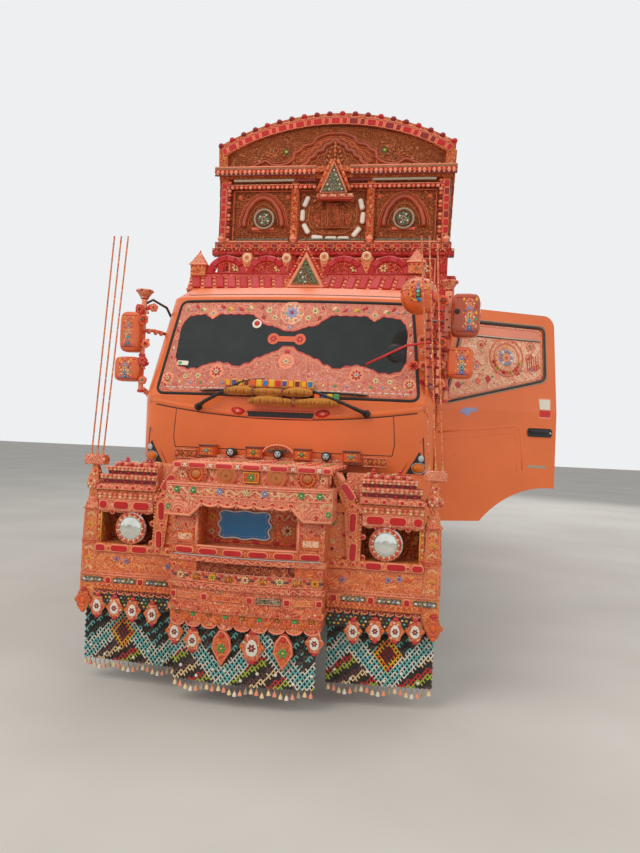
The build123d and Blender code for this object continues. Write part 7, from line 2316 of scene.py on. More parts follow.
def window_line(inset=0.0, front=0.445, rear=1.320):
    """The side window's outline as (y, z), rounded, and pulled in by the inset."""
    y0, y1, head = front + inset, rear - inset, 2.570 - inset
    corners = [(y0, 1.945 + inset + 0.1 * inset), (y1, 2.165 + inset - 0.25 * inset),
               (y1, head), (y0 + 0.168 - 0.1 * inset, head)]
    out = []
    for k, corner in enumerate(corners):
        back, ahead = Vector(corners[k - 1]), Vector(corners[(k + 1) % 4])
        here, r = Vector(corner), 0.045
        a, b = here + (back - here).normalized() * r, here + (ahead - here).normalized() * r
        out += [tuple(a.lerp(here, t).lerp(here.lerp(b, t), t)) for t in (0, 0.25, 0.5, 0.75, 1)]
    return out


def door_panel(d):
    """The panel over the window: fine rings round a wreath, leaves below, a strip along the head."""
    pane = on(CAB_SIDE, -0.0155)
    plate(d, pane, window_line(0.004), 0, 0.007, "lining")
    ridge(d, pane, window_line(0.020), 0.008, 0.008, "pink", 0.007, True)
    cy, cz = 0.985, 2.318
    for r, key in ((0.150, "salmon"), (0.142, "rim"), (0.112, "salmon"), (0.106, "rim")):
        ridge(d, pane, circle(cy, cz, r, 40), 0.005, 0.005, key, 0.007, True)
    for k in range(14):
        a = TAU * k / 14
        dome(d, pane, cy + 0.048 * math.cos(a), cz + 0.052 * math.sin(a),
             0.016, 0.008, ("lilac", "white", "lilac", "grey")[k % 4], 0.007, 8, 2, 0.8, math.degrees(a))
    plate(d, pane, round_outline(cy, cz, 0.034, 24, 0.08, 6), 0.006, 0.010, "rim", 0.002)
    flower(d, pane, cy, cz, 0.024, 6, "pink", "salmon", 0.010, 0.006)
    dome(d, pane, cy, cz + 0.086, 0.014, 0.006, "yellow", 0.007)
    for k in range(11):
        a = math.radians(200 + 14 * k)
        y, z = cy + 0.118 * math.cos(a), cz + 0.118 * math.sin(a)
        flower(d, pane, y, z, 0.020, 6, ("rose", "salmon", "lime", "pink")[k % 4], "rose", 0.007, 0.008)
    for k in range(9):
        y = 0.560 + 0.086 * k
        z = 1.998 + 0.252 * (y - 0.445) + 0.050
        plate(d, pane, round_outline(y, z, 0.024, 16, 0.16, 4), 0.006,
              0.010, ("rose", "pink", "salmon")[k % 3], 0.002)
        dome(d, pane, y + 0.043, z + 0.016, 0.014, 0.006, ("green", "lilac", "lime")[k % 3],
             0.007, 6, 2, 0.5, 40)
    for y, z in ((0.620, 2.150), (0.720, 2.230), (0.760, 2.400), (1.200, 2.420),
                 (1.215, 2.230), (1.190, 2.320)):
        ridge(d, pane, spiral_line(y, z, 0.042), 0.006, 0.005, "salmon", 0.007)
        dome(d, pane, y, z, 0.012, 0.006, ("rose", "lilac", "green")[int(z * 100) % 3], 0.007, 6)
    for k in range(6):
        ridge(d, pane, line(1.175 + 0.020 * k, 2.225 + 0.004 * k, 1.170 + 0.020 * k,
                            2.330 + 0.02 * (k % 3)), 0.006, 0.006, ("rose", "salmon")[k % 2], 0.007)
    head_strip = [(0.655, 2.480), (1.290, 2.480), (1.290, 2.548), (0.690, 2.548)]
    plate(d, pane, head_strip, 0.007, 0.010, "pink", 0.002)
    ridge(d, pane, level(0.650, 1.295, 2.474), 0.008, 0.008, "white", 0.007)
    ridge(d, pane, level(0.650, 1.295, 2.466), 0.006, 0.006, "chassis", 0.007)


def door_outside(d):
    """Pressed lines, swoosh, blank label and handle."""
    label_y = 1.318
    handle_z = 1.742
    ridge(d, CAB_SIDE, [(0.392, 1.712), (0.72, 1.748), (1.05, 1.786),
                        (1.098, 1.770), (1.118, 1.62), (1.128, 1.447)], 0.016, 0.003, "cab")
    ridge(d, CAB_SIDE, flow([(0.420, 1.660), (0.72, 1.695), (1.02, 1.735),
                             (1.060, 1.710), (1.075, 1.60), (1.080, 1.440)]), 0.010, 0.002, "cab")
    swoosh = [(0.560, 1.868), (0.600, 1.905), (0.730, 1.910), (0.690, 1.894),
              (0.735, 1.884), (0.660, 1.874), (0.640, 1.836), (0.600, 1.862)]
    plate(d, CAB_SIDE, swoosh, 0, 0.0016, "lilac", 0.0005)
    plate(d, CAB_SIDE, oblong(label_y, 1.936, 0.112, 0.158, 0, 0.006), 0, 0.0012, "rim", 0.0004)
    plate(d, CAB_SIDE, oblong(label_y, 1.966, 0.098, 0.080), 0.001, 0.0022, "white", 0.0005)
    plate(d, CAB_SIDE, oblong(label_y, 1.892, 0.098, 0.050), 0.001, 0.0022, "red", 0.0005)
    plate(d, CAB_SIDE, oblong(1.275, handle_z, 0.230, 0.070, 0, 0.026, 5), 0, 0.0022, "black", 0.001)
    ridge(d, CAB_SIDE, oblong(1.275, handle_z, 0.236, 0.076, 0, 0.028, 5), 0.009, 0.005, "cab", 0, True)
    lump(d, (1.1005, 1.262, 1.752), (0.018, 0.165, 0.026), "black", 0.5, 14, 8)
    dome(d, CAB_SIDE, 1.372, handle_z, 0.011, 0.006, "chrome", 0.002, 12)
    plate(d, CAB_SIDE, oblong(1.26, 1.475, 0.165, 0.022, 0, 0.004), 0, 0.0014, "grey", 0.0004)


def door_lining(d):
    """The inside: panel, tufts, armrest, pull and winder."""
    inner = Skin(lambda u, z: Vector((cab_level(z, 2) - 0.0452, -u, z)))
    panel = [(-1.36, 1.385), (-1.36, 1.895), (-0.45, 1.895), (-0.45, 1.420),
             (-0.62, 1.385), (-0.86, 1.350), (-1.10, 1.375)]
    plate(d, inner, panel, 0, 0.010, "interior", 0.004)
    ridge(d, inner, [(-1.33, 1.415), (-1.33, 1.865), (-0.48, 1.865), (-0.48, 1.435),
                     (-0.86, 1.375), (-1.10, 1.398)], 0.012, 0.005, "padding_red", 0.010, True)
    for r in range(3):
        for c in range(8):
            dome(d, inner, -1.26 + 0.10 * c + 0.05 * (r % 2), 1.505 + 0.085 * r, 0.012, 0.006, "brass", 0.010)
    lump(d, (1.047 - 0.038, 0.93, 1.700), (0.058, 0.42, 0.046), "padding_red", 0.45, 16, 8)
    tube(d, [(1.036, 0.60, 1.80), (1.006, 0.61, 1.80), (1.006, 0.74, 1.80), (1.036, 0.75, 1.80)],
         0.008, "chrome")
    turned(d, (1.037, 0.69, 1.560), (-1, 0, 0),
           [(0.022, 0), (0.022, 0.008), (0.010, 0.012), (0.009, 0.024)], "black", 12)
    tube(d, [(1.014, 0.69, 1.560), (1.010, 0.72, 1.520), (1.010, 0.735, 1.500)], 0.007, "chrome")
    turned(d, (1.014, 0.737, 1.497), (-1, 0, 0), [(0.010, 0), (0.012, 0.010), (0.008, 0.020)], "black", 10)


def build_doors():
    for side in ("left", "right"):
        d = Piece(f"door_trim_{side}", f"door_{side}", f"door_{side}", door_matrix(side))
        ridge(d, CAB_SIDE, window_line(-0.008), 0.018, 0.007, "chassis", 0, True)
        ridge(d, CAB_SIDE, window_line(-0.022), 0.008, 0.006, "grey", 0, True)
        door_panel(d)
        door_outside(d)
        door_lining(d)
        d.done()


def build_seats():
    for side, x in (("left", 0.610), ("right", -0.610)):
        box = Piece(f"seat_frame_{side}", slot="seats")
        block(box, x - 0.215, x + 0.215, 1.10, 1.54, 1.2305, 1.470, "interior", 0.010)
        block(box, x - 0.235, x + 0.235, 1.075, 1.565, 1.465, 1.500, "black", 0.008)
        for k in range(5):
            ridge(box, flat((x, 1.0995, 1.27)), level(-0.18, 0.18, 0.035 * k), 0.008, 0.004, "black")
        for dx in (-0.06, 0.06):
            tube(box, [(x + dx, 1.655, 2.02), (x + dx, 1.675, 2.12)], 0.007, "chrome")
        box.done(*(("seats",) if side == "left" else ()))
        tilt = Matrix.Rotation(math.radians(4), 4, "X")
        parts = (("squab", (x, 1.280, 1.575), (0.490, 0.470, 0.155), tilt, "fabric", 0.34),
                 ("back", (x, 1.602, 1.840), (0.470, 0.120, 0.520),
                  Matrix.Rotation(math.radians(-11), 4, "X"), "fabric", 0.36),
                 ("headrest", (x, 1.682, 2.150), (0.290, 0.095, 0.150),
                  Matrix.Rotation(math.radians(-11), 4, "X"), "fabric", 0.5))
        for name, centre, size, turn, key, power in parts:
            m = Matrix.Translation(centre) @ turn
            c = Piece(f"seat_{name}_{side}", slot="seats", matrix=m)
            lump(c, (0, 0, 0), size, key, power, 36, 18)
            w, d_, h = (v / 2 for v in size)
            if name != "headrest":
                # Piping round the edge and sewn bolsters along both sides.
                up = name == "back"
                loop = []
                for a in range(36):
                    t = TAU * a / 36
                    ct, st = math.cos(t), math.sin(t)
                    u = (abs(ct) ** power) * (1 if ct > 0 else -1)
                    v = (abs(st) ** power) * (1 if st > 0 else -1)
                    loop.append(Vector((u * w * 1.001, -d_ * 0.15 if up else v * d_,
                                        v * h if up else h * 0.15)))
                tube(c, loop + loop[:1], 0.0045, "straw", 6)
                for s in (-1, 1):
                    edge = s * w * 0.62
                    seam = [Vector((edge, -d_ * 0.985, t * h) if up else (edge, t * d_, h * 0.985))
                            for t in (-0.78, -0.4, 0, 0.4, 0.78)]
                    tube(c, seam, 0.004, "straw", 6)
            c.done()


# Wheels.
def tyre_form(piece, x, y, z=WHEEL_HEIGHT):
    """Carcass with bulged walls, then rows of tread blocks up to the CAD radius."""
    rows = [(0.2543, -0.092), (0.262, -0.103), (0.300, -0.118), (0.340, -0.127),
            (0.390, -0.131), (0.440, -0.128), (0.476, -0.119), (0.499, -0.106), (0.505, -0.088)]
    rows += [(0.506, -0.045), (0.5065, 0.0), (0.506, 0.045)] + [(r, -d) for r, d in reversed(rows)]
    turned(piece, (x, y, z), (1, 0, 0), rows, "tyre", 56)
    for s in (-1, 1):
        for r, out in ((0.285, 0.1125), (0.320, 0.1235), (0.455, 0.1255)):
            loop = [Vector((x + s * out, y + r * math.cos(TAU * k / 40), z + r * math.sin(TAU * k / 40)))
                    for k in range(41)]
            tube(piece, loop, 0.0022, "tyre", 4)
    count = 44
    for k in range(count):
        for row, (d0, d1, skew) in enumerate(((-0.098, -0.058, 0.25), (-0.050, -0.006, -0.2),
                                              (0.006, 0.050, 0.2), (0.058, 0.098, -0.25))):
            a0 = TAU * (k + (0.5 if row % 2 else 0)) / count
            wide = TAU / count * 0.74
            low, high, points = 0.500 if row in (0, 3) else 0.504, 0.520, []
            for r in (low, high):
                for d, t in ((d0, 0), (d1, 0), (d1, 1), (d0, 1)):
                    a = a0 + wide * (t + skew * (d - d0) / (d1 - d0))
                    shoulder = r == high and ((row == 0 and d == d0) or (row == 3 and d == d1))
                    edge = r - 0.004 if shoulder else r
                    points.append(Vector((x + d, y + edge * math.cos(a), z + edge * math.sin(a))))
            piece.put(points, [[4, 5, 6, 7], [0, 1, 5, 4], [1, 2, 6, 5], [2, 3, 7, 6], [3, 0, 4, 7]], "tyre")


def hub_face(piece, x, y, out, face, reach):
    """Ten nuts on a rim's outer face and a painted flower on the hub; out is the side they look to."""
    skin = flat((x + out * face, y, WHEEL_HEIGHT), (0, out, 0))
    for k in range(10):
        a = TAU * k / 10
        foot = skin.at(0.089 * math.cos(a), 0.089 * math.sin(a))
        turned(piece, foot, (out, 0, 0), [(0.0125, 0), (0.0125, 0.010), (0.010, 0.012),
                                          (0.006, 0.013), (0.006, 0.020), (0.004, 0.022)], "steel", 6)
    flower(piece, flat((x + out * reach, y, WHEEL_HEIGHT), (0, out, 0)),
           0, 0, 0.060, 8, "yellow", "red", 0.0, 0.008)


def build_wheels():
    for side, s in (("left", 1), ("right", -1)):
        f = Piece(f"road_tyre_front_{side}", f"wheel_front_{side}", f"tyre_front_{side}")
        tyre_form(f, s * 0.940, FRONT_AXLE)
        f.done(f"tyre_front_{side}")
        r = Piece(f"road_tyres_rear_{side}", f"wheel_rear_{side}", f"tyres_rear_{side}")
        for x in (0.700, 1.010):
            tyre_form(r, s * x, REAR_AXLE)
        r.done(f"tyres_rear_{side}")
        for end, y, x, face, reach, flange in (("front", FRONT_AXLE, 0.940, 0.142, 0.187, 0.0944),
                                               ("rear", REAR_AXLE, 0.855, 0.100, 0.145, 0.2494)):
            h = Piece(f"hub_trim_{end}_{side}", f"wheel_{end}_{side}", f"rim_{end}_{side}")
            hub_face(h, s * x, y, s, face, reach)
            rim_skin = flat((s * (x + flange), y, WHEEL_HEIGHT), (0, s, 0))
            ridge(h, rim_skin, circle(0, 0, 0.247, 48), 0.012, 0.008, "steel", 0, True)
            if end == "front":
                valve = [rim_skin.at(0.0, 0.236, -0.01), rim_skin.at(0.0, 0.222, 0.012),
                         rim_skin.at(0.0, 0.200, 0.020)]
                tube(h, valve, 0.005, "brass", 6)
            h.done()


# Body sides: eight bays between nine ribs.
BAY_HALF = 0.325
BAY_GROUNDS = ("emboss_orange", "tape", "emboss_red", "tape_orange")


def bay_ground(p, wall, z0, z1, key):
    """A bay's ground between two heights, with a frame around it."""
    w = BAY_HALF
    plate(p, wall, frame_line(-w, w, z0, z1), 0, 0.004, key, 0.002)
    moulding(p, wall, -w + 0.016, w - 0.016, z0 + 0.016, z1 - 0.016, 0.022, 0.014, "pink", 0.004)


def bay_lower(p, wall, n):
    """The lower panel: a lozenge with a medallion, and a flower in each corner."""
    w = BAY_HALF
    z0, z1 = 1.245, 2.006
    bay_ground(p, wall, z0, z1, BAY_GROUNDS[n % 4])
    moulding(p, wall, -w + 0.052, w - 0.052, z0 + 0.052, z1 - 0.052,
             0.010, 0.010, ("green", "red")[n % 2], 0.004)
    beads(p, wall, frame_round(-w + 0.035, w - 0.035, z0 + 0.035, z1 - 0.035),
          0.052, 0.011, ["red", "cream", "pink"], 0.004)
    zc = (z0 + z1) / 2
    lozenge = [(0, zc - 0.29), (0.235, zc), (0, zc + 0.29), (-0.235, zc)]
    plate(p, wall, lozenge, 0.004, 0.010, ("green_foil", "tape_red", "blue_foil", "tape_red")[n % 4])
    ridge(p, wall, lozenge, 0.018, 0.014, "salmon", 0.008, True)
    medallion(p, wall, 0, zc, 0.125, "gilt", "tape_orange", ("red", "blue", "green", "rose")[n % 4],
              "yellow", 0.010, 10, "cream")
    flower(p, wall, 0, zc, 0.060, 8, "cream", "red", 0.022, 0.014)
    corner_key = ("red", "cream", "blue", "yellow")[n % 4]
    for sx in (-1, 1):
        for sz in (-1, 1):
            flower(p, wall, sx * 0.205, zc + sz * 0.245, 0.044, 6, corner_key, "yellow", 0.004, 0.014)
            dome(p, wall, sx * 0.150, zc + sz * 0.265, 0.034, 0.010, "green", 0.004, 8, 2, 0.5, sx * sz * 30)
            dome(p, wall, sx * 0.222, zc + sz * 0.175, 0.034, 0.010, "green", 0.004, 8, 2, 0.5, sx * sz * 75)
        scroll(p, wall, sx * 0.250, zc, 0.036, "gilt", "rose", sx, 0.004)


def bay_vase(p, wall, base):
    """A vase of flowers inside the niche."""
    flank = [(0.030, 0.030), (0.085, 0.100), (0.078, 0.150), (0.040, 0.180), (0.052, 0.210)]
    vase = [(-0.045, base), (0.045, base), *((x, base + z) for x, z in flank),
            *((-x, base + z) for x, z in reversed(flank))]
    plate(p, wall, vase, 0.009, 0.022, "gilt", 0.006)
    flower(p, wall, 0, base + 0.115, 0.036, 6, "red", "cream", 0.022, 0.008)
    for a, r, size, key in ((90, 0.34, 0.062, "red"), (62, 0.27, 0.050, "cream"),
                            (118, 0.27, 0.050, "cream"), (38, 0.20, 0.044, "rose"),
                            (142, 0.20, 0.044, "rose"), (80, 0.18, 0.040, "yellow"),
                            (104, 0.185, 0.040, "blue"), (16, 0.15, 0.034, "yellow"),
                            (164, 0.15, 0.034, "yellow")):
        t = math.radians(a)
        fx, fz = r * math.cos(t), base + 0.215 + r * math.sin(t)
        stem = [(0.1 * fx, base + 0.21), (0.55 * fx, base + 0.21 + 0.62 * (fz - base - 0.21)), (fx, fz)]
        ridge(p, wall, stem, 0.008, 0.008, "green", 0.009)
        flower(p, wall, fx, fz, size, 8, key, "yellow" if key != "yellow" else "red", 0.010, 0.014)
        dome(p, wall, 0.62 * fx + 0.02, base + 0.21 + 0.5 * (fz - base - 0.21),
             0.026, 0.008, "green", 0.009, 6, 2, 0.5, a - 50)


def bay_niche(p, wall, n):
    """The upper niche under a cusped arch, with its vase and two medallions."""
    w = BAY_HALF
    z0, z1 = 2.105, 3.196
    bay_ground(p, wall, z0, z1, BAY_GROUNDS[(n + 1) % 4])
    for z in (z0 + 0.052, z1 - 0.052):
        tiles(p, wall, level(-w + 0.05, w - 0.05, z), 0.030, 9, 0.012, 0.004, 0.016, ["tile", "rose"], 0.005)
    spring = z0 + 0.62
    head = ogee(0, spring, 0.235, 0.300)
    niche = [(-0.235, z0 + 0.10), (0.235, z0 + 0.10)] + (head if head[0][0] > 0 else head[::-1])
    plate(p, wall, niche, 0.004, 0.009, ("blue_foil", "green_foil", "tape_red", "gilt")[n % 4])
    ridge(p, wall, niche, 0.026, 0.018, "salmon", 0.006, True)
    beads(p, wall, [(x * 1.13, z + (0.012 if z > spring else 0)) for x, z in niche[2:]],
          0.040, 0.012, ["red", "pink"], 0.004)
    bay_vase(p, wall, z0 + 0.135)
    for sx in (-1, 1):
        medallion(p, wall, sx * 0.225, z1 - 0.135, 0.058, "copper", "tape", "cream", "red", 0.004, 8, "pink")
        flower(p, wall, sx * 0.115, z1 - 0.098, 0.026, 6, "yellow", "red", 0.004)
        scroll(p, wall, sx * 0.265, spring + 0.20, 0.034, "gilt", "green", -sx, 0.004)


def side_bay(p, y, number):
    """One bay's ornament on the left wall, about its middle line: a lower panel and a niche over it."""
    wall = flat((1.205, y, 0), (0, 1, 0))
    bay_lower(p, wall, number)
    bay_niche(p, wall, number)


def load_space(rails, bays):
    """Boards, uprights and rails on the wall's inner face."""
    lining = flat((1.1752, 0, 0), (0, -1, 0))
    for k in range(13):
        z = 1.330 + 0.152 * k
        ridge(rails, lining, level(-2.140, -8.240, z, 2), 0.010, 0.003, "maroon")
    for n in range(bays + 1):
        y = 2.175 + (8.205 - 2.175) * n / bays
        block(rails, 1.1452, 1.1752, y - 0.035, y + 0.035, 1.242, 3.296, "tape_red")
        for k in range(7):
            dome(rails, flat((1.1452, 0, 0), (0, -1, 0)), -y, 1.40 + 0.29 * k, 0.009, 0.005, "steel", 0, 6)
    for z0, z1 in ((3.215, 3.285), (2.060, 2.110)):
        block(rails, 1.1352, 1.1752, 2.150, 8.230, z0, z1, "tape_red", 0.005)


def side_skirt(side, matrix):
    """The painted board between the wheels."""
    board = flat((1.1902, 0, 0), (0, 1, 0))
    skirt = Piece(f"side_skirt_trim_{side}", slot="side_skirts", matrix=matrix)
    moulding(skirt, board, 4.440, 5.540, 0.545, 0.955, 0.022, 0.010, "pink")
    for n in range(4):
        y = 4.595 + 0.265 * n
        medallion(skirt, board, y, 0.750, 0.105, "gilt", "tape_orange" if n % 2 else "green_foil",
                  "cream", "red", 0.0, 10, "pink")
        for dy in (-0.132, 0.132):
            flower(skirt, board, y + dy * 0.86, 0.750 + 0.128, 0.030, 6, "yellow", "red", 0.0, 0.008)
            flower(skirt, board, y + dy * 0.86, 0.750 - 0.128, 0.030, 6, "cream", "blue", 0.0, 0.008)
    for z, keys in ((0.578, ["tile", "rose"]), (0.922, ["rose", "tile"])):
        tiles(skirt, board, level(4.455, 5.525, z), 0.026, 22, 0.012, 0, 0.008, keys)
    skirt.done()


def side_fringe(side, matrix):
    """Bells and chains under the foot rail."""
    hem = Piece(f"body_side_fringe_{side}", slot=f"body_side_{side}", matrix=matrix)
    foot = flat((1.232, 0, 0), (0, 1, 0))
    count = 134
    for k in range(count):
        y = 2.150 + 6.08 * (k + 0.5) / count
        drop = 0.040 + 0.016 * math.cos(TAU * k / 6)
        tube(hem, [(1.232, y, 1.122), (1.232, y, 1.118 - drop)], 0.0022, "steel", 4)
        turned(hem, (1.232, y, 1.118 - drop - 0.024), (0, 0, 1),
               [(0.010, 0), (0.009, 0.010), (0.005, 0.020), (0.002, 0.028)],
               ("white", "pink", "yellow", "rose")[k % 4], 7)
    swags(hem, foot, 2.14, 8.24, 1.118, 52, 0.036, "rose", None, 0, 0.006)
    hem.done()


def build_body_sides():
    for side, matrix in (("left", None), ("right", MIRROR_X)):
        lower = Piece(f"body_side_panels_{side}", slot=f"body_side_{side}", matrix=matrix)
        rails = Piece(f"body_side_borders_{side}", slot=f"body_side_{side}", matrix=matrix)
        bays, first = 8, BODY_START + 0.035
        pitch = (6.120 - 0.070) / bays
        for n in range(bays):
            side_bay(lower, first + pitch * (n + 0.5), n)
        for n in range(bays + 1):
            y = first + pitch * n
            rib = flat((1.245, y, 0), (0, 1, 0))
            for z0, z1, count in ((1.245, 2.005, 7), (2.105, 3.195, 10)):
                for k in range(count):
                    z = z0 + (z1 - z0) * (k + 0.5) / count
                    brick(rails, rib, 0, z, 0.040, (z1 - z0) / count - 0.030, k % 2)
                    dome(rails, rib, 0, z + (z1 - z0) / count / 2, 0.012, 0.010, "cream", 0, 6)
                for u in (-0.028, 0.028):
                    ridge(rails, rib, line(u, z0 - 0.01, u, z1 + 0.01), 0.008, 0.009, "pink")
        rail = flat((1.255, 0, 0), (0, 1, 0))
        for n in range(bays):
            y0, y1 = 2.135 + pitch * n, 2.135 + pitch * (n + 1)
            tiles(rails, rail, level(y0, y1, 1.150), 0.040, 9, 0.010, 0, 0.011, ["tile", "rose"], 0.005)
            garland(rails, rail, level(y0 + 0.03, y1, 1.200), 0.084,
                    0.020, ["cream", "yellow", "blue"], "red")
            tiles(rails, rail, level(y0, y1, 2.055), 0.034, 11, 0.010,
                  0, 0.010, ["tile", "pink", "green"], 0.005)
            garland(rails, rail, level(y0 + 0.03, y1, 3.232), 0.084,
                    0.020, ["cream", "red", "blue"], "yellow")
            tiles(rails, rail, level(y0, y1, 3.277), 0.030, 9, 0.010, 0, 0.011, ["rose", "tile"], 0.005)
        load_space(rails, bays)
        rails.done()
        lower.done()
        side_skirt(side, matrix)
        side_fringe(side, matrix)


# Front wall behind the cab, the rear frame, crest, tailgate and tail.
def build_body_front():
    f = Piece("body_front_trim", slot="body_front")
    wall = flat((0, 2.0844, 0))
    post = flat((0, 2.0544, 0))
    for x0, x1, n in ((-1.075, -0.455, 0), (-0.345, 0.345, 1), (0.455, 1.075, 2)):
        mid = (x0 + x1) / 2
        for z0, z1 in ((2.86, 3.46), (1.16, 1.96), (2.00, 2.82)):
            moulding(f, wall, x0 + 0.02, x1 - 0.02, z0, z1, 0.022, 0.012, "pink")
            medallion(f, wall, mid, (z0 + z1) / 2, 0.15, "gilt", "tape_orange",
                      ("red", "blue", "green")[n], "yellow", 0.0, 10, "cream")
            for sx, sz in CORNERS:
                flower(f, wall, mid + sx * (x1 - x0) * 0.36, (z0 + z1) / 2 + sz * 0.2,
                       0.045, 6, "cream", "red")
    for x in (-1.130, -0.400, 0.400, 1.130):
        for k in range(18):
            brick(f, post, x, 1.18 + 0.128 * k, 0.050, 0.095, k % 2)
    ledge = flat((0, 2.0395, 0))
    tiles(f, ledge, level(-1.23, 1.23, 3.497), 0.028, 34, 0.012, 0, 0.010, ["rose", "tile"], 0.005)
    beads(f, ledge, level(-1.22, 1.22, 3.532), 0.040, 0.012, ["pink", "cream"])
    # The wall's inner face: boards between uprights.
    inside = flat((0, 2.1299, 0), (-1, 0, 0))
    for k in range(14):
        z = 1.330 + 0.152 * k
        ridge(f, inside, level(-1.130, 1.130, z, 2), 0.010, 0.003, "maroon")
    for x in (-0.76, -0.38, 0.0, 0.38, 0.76):
        block(f, x - 0.035, x + 0.035, 2.1299, 2.158, 1.242, 3.540, "tape_red")
    f.done()


def build_rear_frame():
    r = Piece("rear_frame_trim", slot="rear_frame")
    rear = flat((0, 8.3402, 0), (-1, 0, 0))
    for s in (-1, 1):
        for k in range(15):
            z = 1.19 + 0.138 * k
            brick(r, rear, s * 1.2075, z, 0.040, 0.100, k % 2, 0.011)
            dome(r, rear, s * 1.2075, z + 0.069, 0.013, 0.010, "cream", 0, 6)
        for x in (1.183, 1.232):
            ridge(r, rear, line(s * x, 1.13, s * x, 3.235), 0.008, 0.008, "pink")
        cheek = flat((s * 1.2402, 8.295, 0), (0, s, 0))
        for k in range(15):
            brick(r, cheek, 0, 1.19 + 0.138 * k, 0.040, 0.100, k % 2 == 0, 0.009, 0.004)
    for z in (3.255, 3.405):
        ridge(r, rear, level(-1.23, 1.23, z), 0.020, 0.012, "pink")
    tiles(r, rear, level(-1.22, 1.22, 3.282), 0.028, 34, 0.012, 0, 0.011, ["tile", "rose"], 0.005)
    garland(r, rear, level(-1.15, 1.18, 3.335), 0.115, 0.034, ["cream", "red", "blue", "yellow"],
            "yellow", 0, 8)
    beads(r, rear, level(-1.21, 1.21, 3.380), 0.040, 0.010, ["green", "cream"])
    tiles(r, rear, level(-1.22, 1.22, 1.085), 0.036, 28, 0.012, 0, 0.010, ["tile", "rose", "pink"], 0.005)
    swags(r, rear, -1.16, 1.16, 3.232, 14, 0.075, "emboss_red", "green", 0, 0.012, "pink")
    crest = flat((0, 8.3005, 0), (-1, 0, 0))
    tri = [(-0.53, 3.438), (0.53, 3.438), (0.0, 3.660)]
    ridge(r, crest, tri, 0.026, 0.016, "pink", 0, True)
    beads(r, crest, [(-0.49, 3.452), (0.49, 3.452)], 0.045, 0.012, ["red", "cream"])
    medallion(r, crest, 0, 3.528, 0.070, "gilt", "green_foil", "cream", "red", 0.0, 10, "pink")
    for s in (-1, 1):
        medallion(r, crest, s * 0.20, 3.500, 0.042, "copper", "tape", "red", "cream")
        medallion(r, crest, s * 0.335, 3.480, 0.024, "copper", "tape", "blue", "cream", 0.0, 6)
    front_crest = flat((0, 8.2500, 0))
    ridge(r, front_crest, tri, 0.026, 0.010, "pink", 0, True)
    medallion(r, front_crest, 0, 3.528, 0.070, "gilt", "green_foil", "cream", "red", 0.0, 10)
    r.done()


def build_tailgate():
    t = Piece("tailgate_trim", "tailgate", "tailgate")
    leaf, mid_z = flat((0, 8.2985, 0), (-1, 0, 0)), 1.683
    for s in (-1, 1):
        x0, x1 = sorted((s * 0.050, s * 1.057))
        mid = (x0 + x1) / 2
        plate(t, leaf, frame_line(x0, x1, 1.300, 2.066), 0, 0.004, "emboss_orange", 0.002)
        moulding(t, leaf, x0 + 0.018, x1 - 0.018, 1.318, 2.048, 0.024, 0.014, "pink", 0.004)
        beads(t, leaf, frame_round(x0 + 0.045, x1 - 0.045, 1.345, 2.021),
              0.052, 0.012, ["red", "cream", "pink"], 0.004)
        ridge(t, leaf, circle(mid, mid_z, 0.265, 48), 0.020, 0.014, "salmon", 0.004, True)
        medallion(t, leaf, mid, mid_z, 0.235, "gilt", "tape_red", "cream", "red", 0.004, 12, "pink")
        flower(t, leaf, mid, mid_z, 0.110, 8, "blue", "yellow", 0.016, 0.014)
        for sx in (-1, 1):
            for sz in (-1, 1):
                medallion(t, leaf, mid + sx * 0.375, mid_z + sz * 0.235,
                          0.070, "copper", "green_foil", "cream", "red", 0.004, 8, "pink")
                scroll(t, leaf, mid + sx * 0.300, mid_z + sz * 0.130, 0.036, "gilt", "green", sx, 0.004)
            flower(t, leaf, mid + sx * 0.385, mid_z, 0.046, 8, "yellow", "red", 0.004, 0.014)
    rib = flat((0, 8.3285, 0), (-1, 0, 0))
    for x in (-1.107, 0, 1.107):
        for k in range(7):
            brick(t, rib, x, 1.355 + 0.105 * k, 0.042, 0.078, k % 2, corner=0.014)
    bar = flat((0, 8.3185, 0), (-1, 0, 0))
    tiles(t, bar, level(-1.15, 1.15, 2.119), 0.036, 30, 0.012, 0, 0.010, ["tile", "rose", "pink"], 0.005)
    for x in (-0.80, 0.80):
        block(t, x - 0.030, x + 0.030, 8.2985, 8.308, 2.02, 2.075, "steel", 0.003)
    t.done()


def build_tail():
    e = Piece("tail_details", slot="rear_bumper")
    back = flat((0, 8.2805, 0), (-1, 0, 0))
    for k in range(11):
        x = -0.80 + 0.16 * k
        outline = [(x - 0.060, 0.545), (x + 0.020, 0.545), (x + 0.060, 0.615), (x - 0.020, 0.615)]
        plate(e, back, outline, 0, 0.002, "tile" if k % 2 else "white", 0.001)
    lamp = flat((0, 8.3305, 0), (-1, 0, 0))
    for s in (-1, 1):
        for x, key, wide in ((0.905, "amber", 0.07), (0.990, "tile", 0.08), (1.075, "clear", 0.07)):
            plate(e, lamp, oblong(s * x, 0.580, wide, 0.080, 0, 0.012), -0.002, 0.012, key, 0.005)
        moulding(e, lamp, *sorted((s * 0.862, s * 1.118)), 0.532, 0.628, 0.010, 0.006, "black")
    e.done()


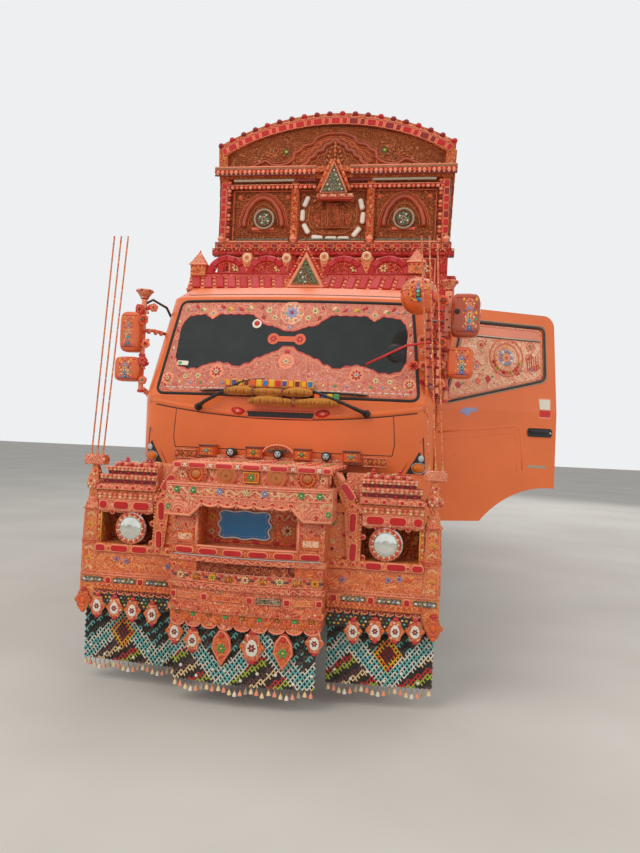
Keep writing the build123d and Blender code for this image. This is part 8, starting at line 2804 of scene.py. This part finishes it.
# Light, floor and background.
def build_stage():
    world = bpy.data.worlds.new("sky")
    bpy.context.scene.world = world
    world.use_nodes = True
    tree = world.node_tree
    dim, bright = tree.nodes["Background"], tree.nodes.new("ShaderNodeBackground")
    dim.inputs["Color"].default_value, dim.inputs["Strength"].default_value = (0.93, 0.96, 1.0, 1), 0.50
    bright.inputs["Color"].default_value, bright.inputs["Strength"].default_value = (0.90,
                                                                                     0.91, 0.92, 1), 0.95
    path = tree.nodes.new("ShaderNodeLightPath")
    first, second = tree.nodes.new("ShaderNodeMath"), tree.nodes.new("ShaderNodeMath")
    seen = path.outputs
    for node, a, b in ((first, seen["Is Camera Ray"], seen["Is Glossy Ray"]),
                       (second, first.outputs[0], seen["Is Transmission Ray"])):
        node.operation, node.use_clamp = "ADD", True
        tree.links.new(a, node.inputs[0])
        tree.links.new(b, node.inputs[1])
    blend = tree.nodes.new("ShaderNodeMixShader")
    tree.links.new(second.outputs[0], blend.inputs[0])
    tree.links.new(dim.outputs[0], blend.inputs[1])
    tree.links.new(bright.outputs[0], blend.inputs[2])
    tree.links.new(blend.outputs[0], tree.nodes["World Output"].inputs["Surface"])

    n = Nodes("pale_floor")
    n.finish(n.ramp(n.noise(0.6, 4), [(0.3, rgb(196, 190, 180)), (0.7, rgb(208, 203, 194))]), 0.85)
    n.bump(n.noise(30, 4), 0.15, 0.002)
    mesh = bpy.data.meshes.new("floor")
    mesh.from_pydata([Vector((x, y, 0)) + SHIFT for x, y in ((-60, -30), (60, -30), (60, 60), (-60, 60))],
                     [], [(0, 1, 2, 3)])
    mesh.materials.append(n.material)
    floor = bpy.data.objects.new("floor", mesh)
    bpy.context.scene.collection.objects.link(floor)

    for name, kind, place, aim, energy, size, tint in (
            ("key", "AREA", (-5.0, -7.5, 9.0), (0, 1.5, 1.6), 620, 7.0, (1.0, 0.985, 0.95)),
            ("fill", "AREA", (8.5, -5.0, 6.0), (0, 2.0, 1.6), 230, 7.0, (0.95, 0.98, 1.0)),
            ("top", "AREA", (0, 4.0, 12.0), (0, 4.0, 0), 380, 10.0, (1, 1, 1)),
            ("back", "AREA", (5.0, 16.0, 7.0), (0, 6, 1.6), 380, 8.0, (1, 1, 1))):
        data = bpy.data.lights.new(name, kind)
        data.energy, data.size, data.color = energy, size, tint
        lamp = bpy.data.objects.new(name, data)
        lamp.visible_glossy = name in ("top", "back")
        spot = Vector(place) + SHIFT
        lamp.location = spot
        lamp.rotation_euler = (Vector(aim) + SHIFT - spot).to_track_quat("-Z", "Y").to_euler()
        bpy.context.scene.collection.objects.link(lamp)
    bpy.context.scene.view_settings.view_transform = "Standard"


build_crown()
build_parapet()
build_cab_face()
build_transfers()
build_wiper_rolls()
build_wiper_arms()
build_bumper_centre()
build_canopy()
build_lamp_row()
build_wings()
build_posts()
build_skirt()
build_mirrors()
build_doors()
build_seats()
build_wheels()
build_body_sides()
build_body_front()
build_rear_frame()
build_tailgate()
build_tail()
build_stage()
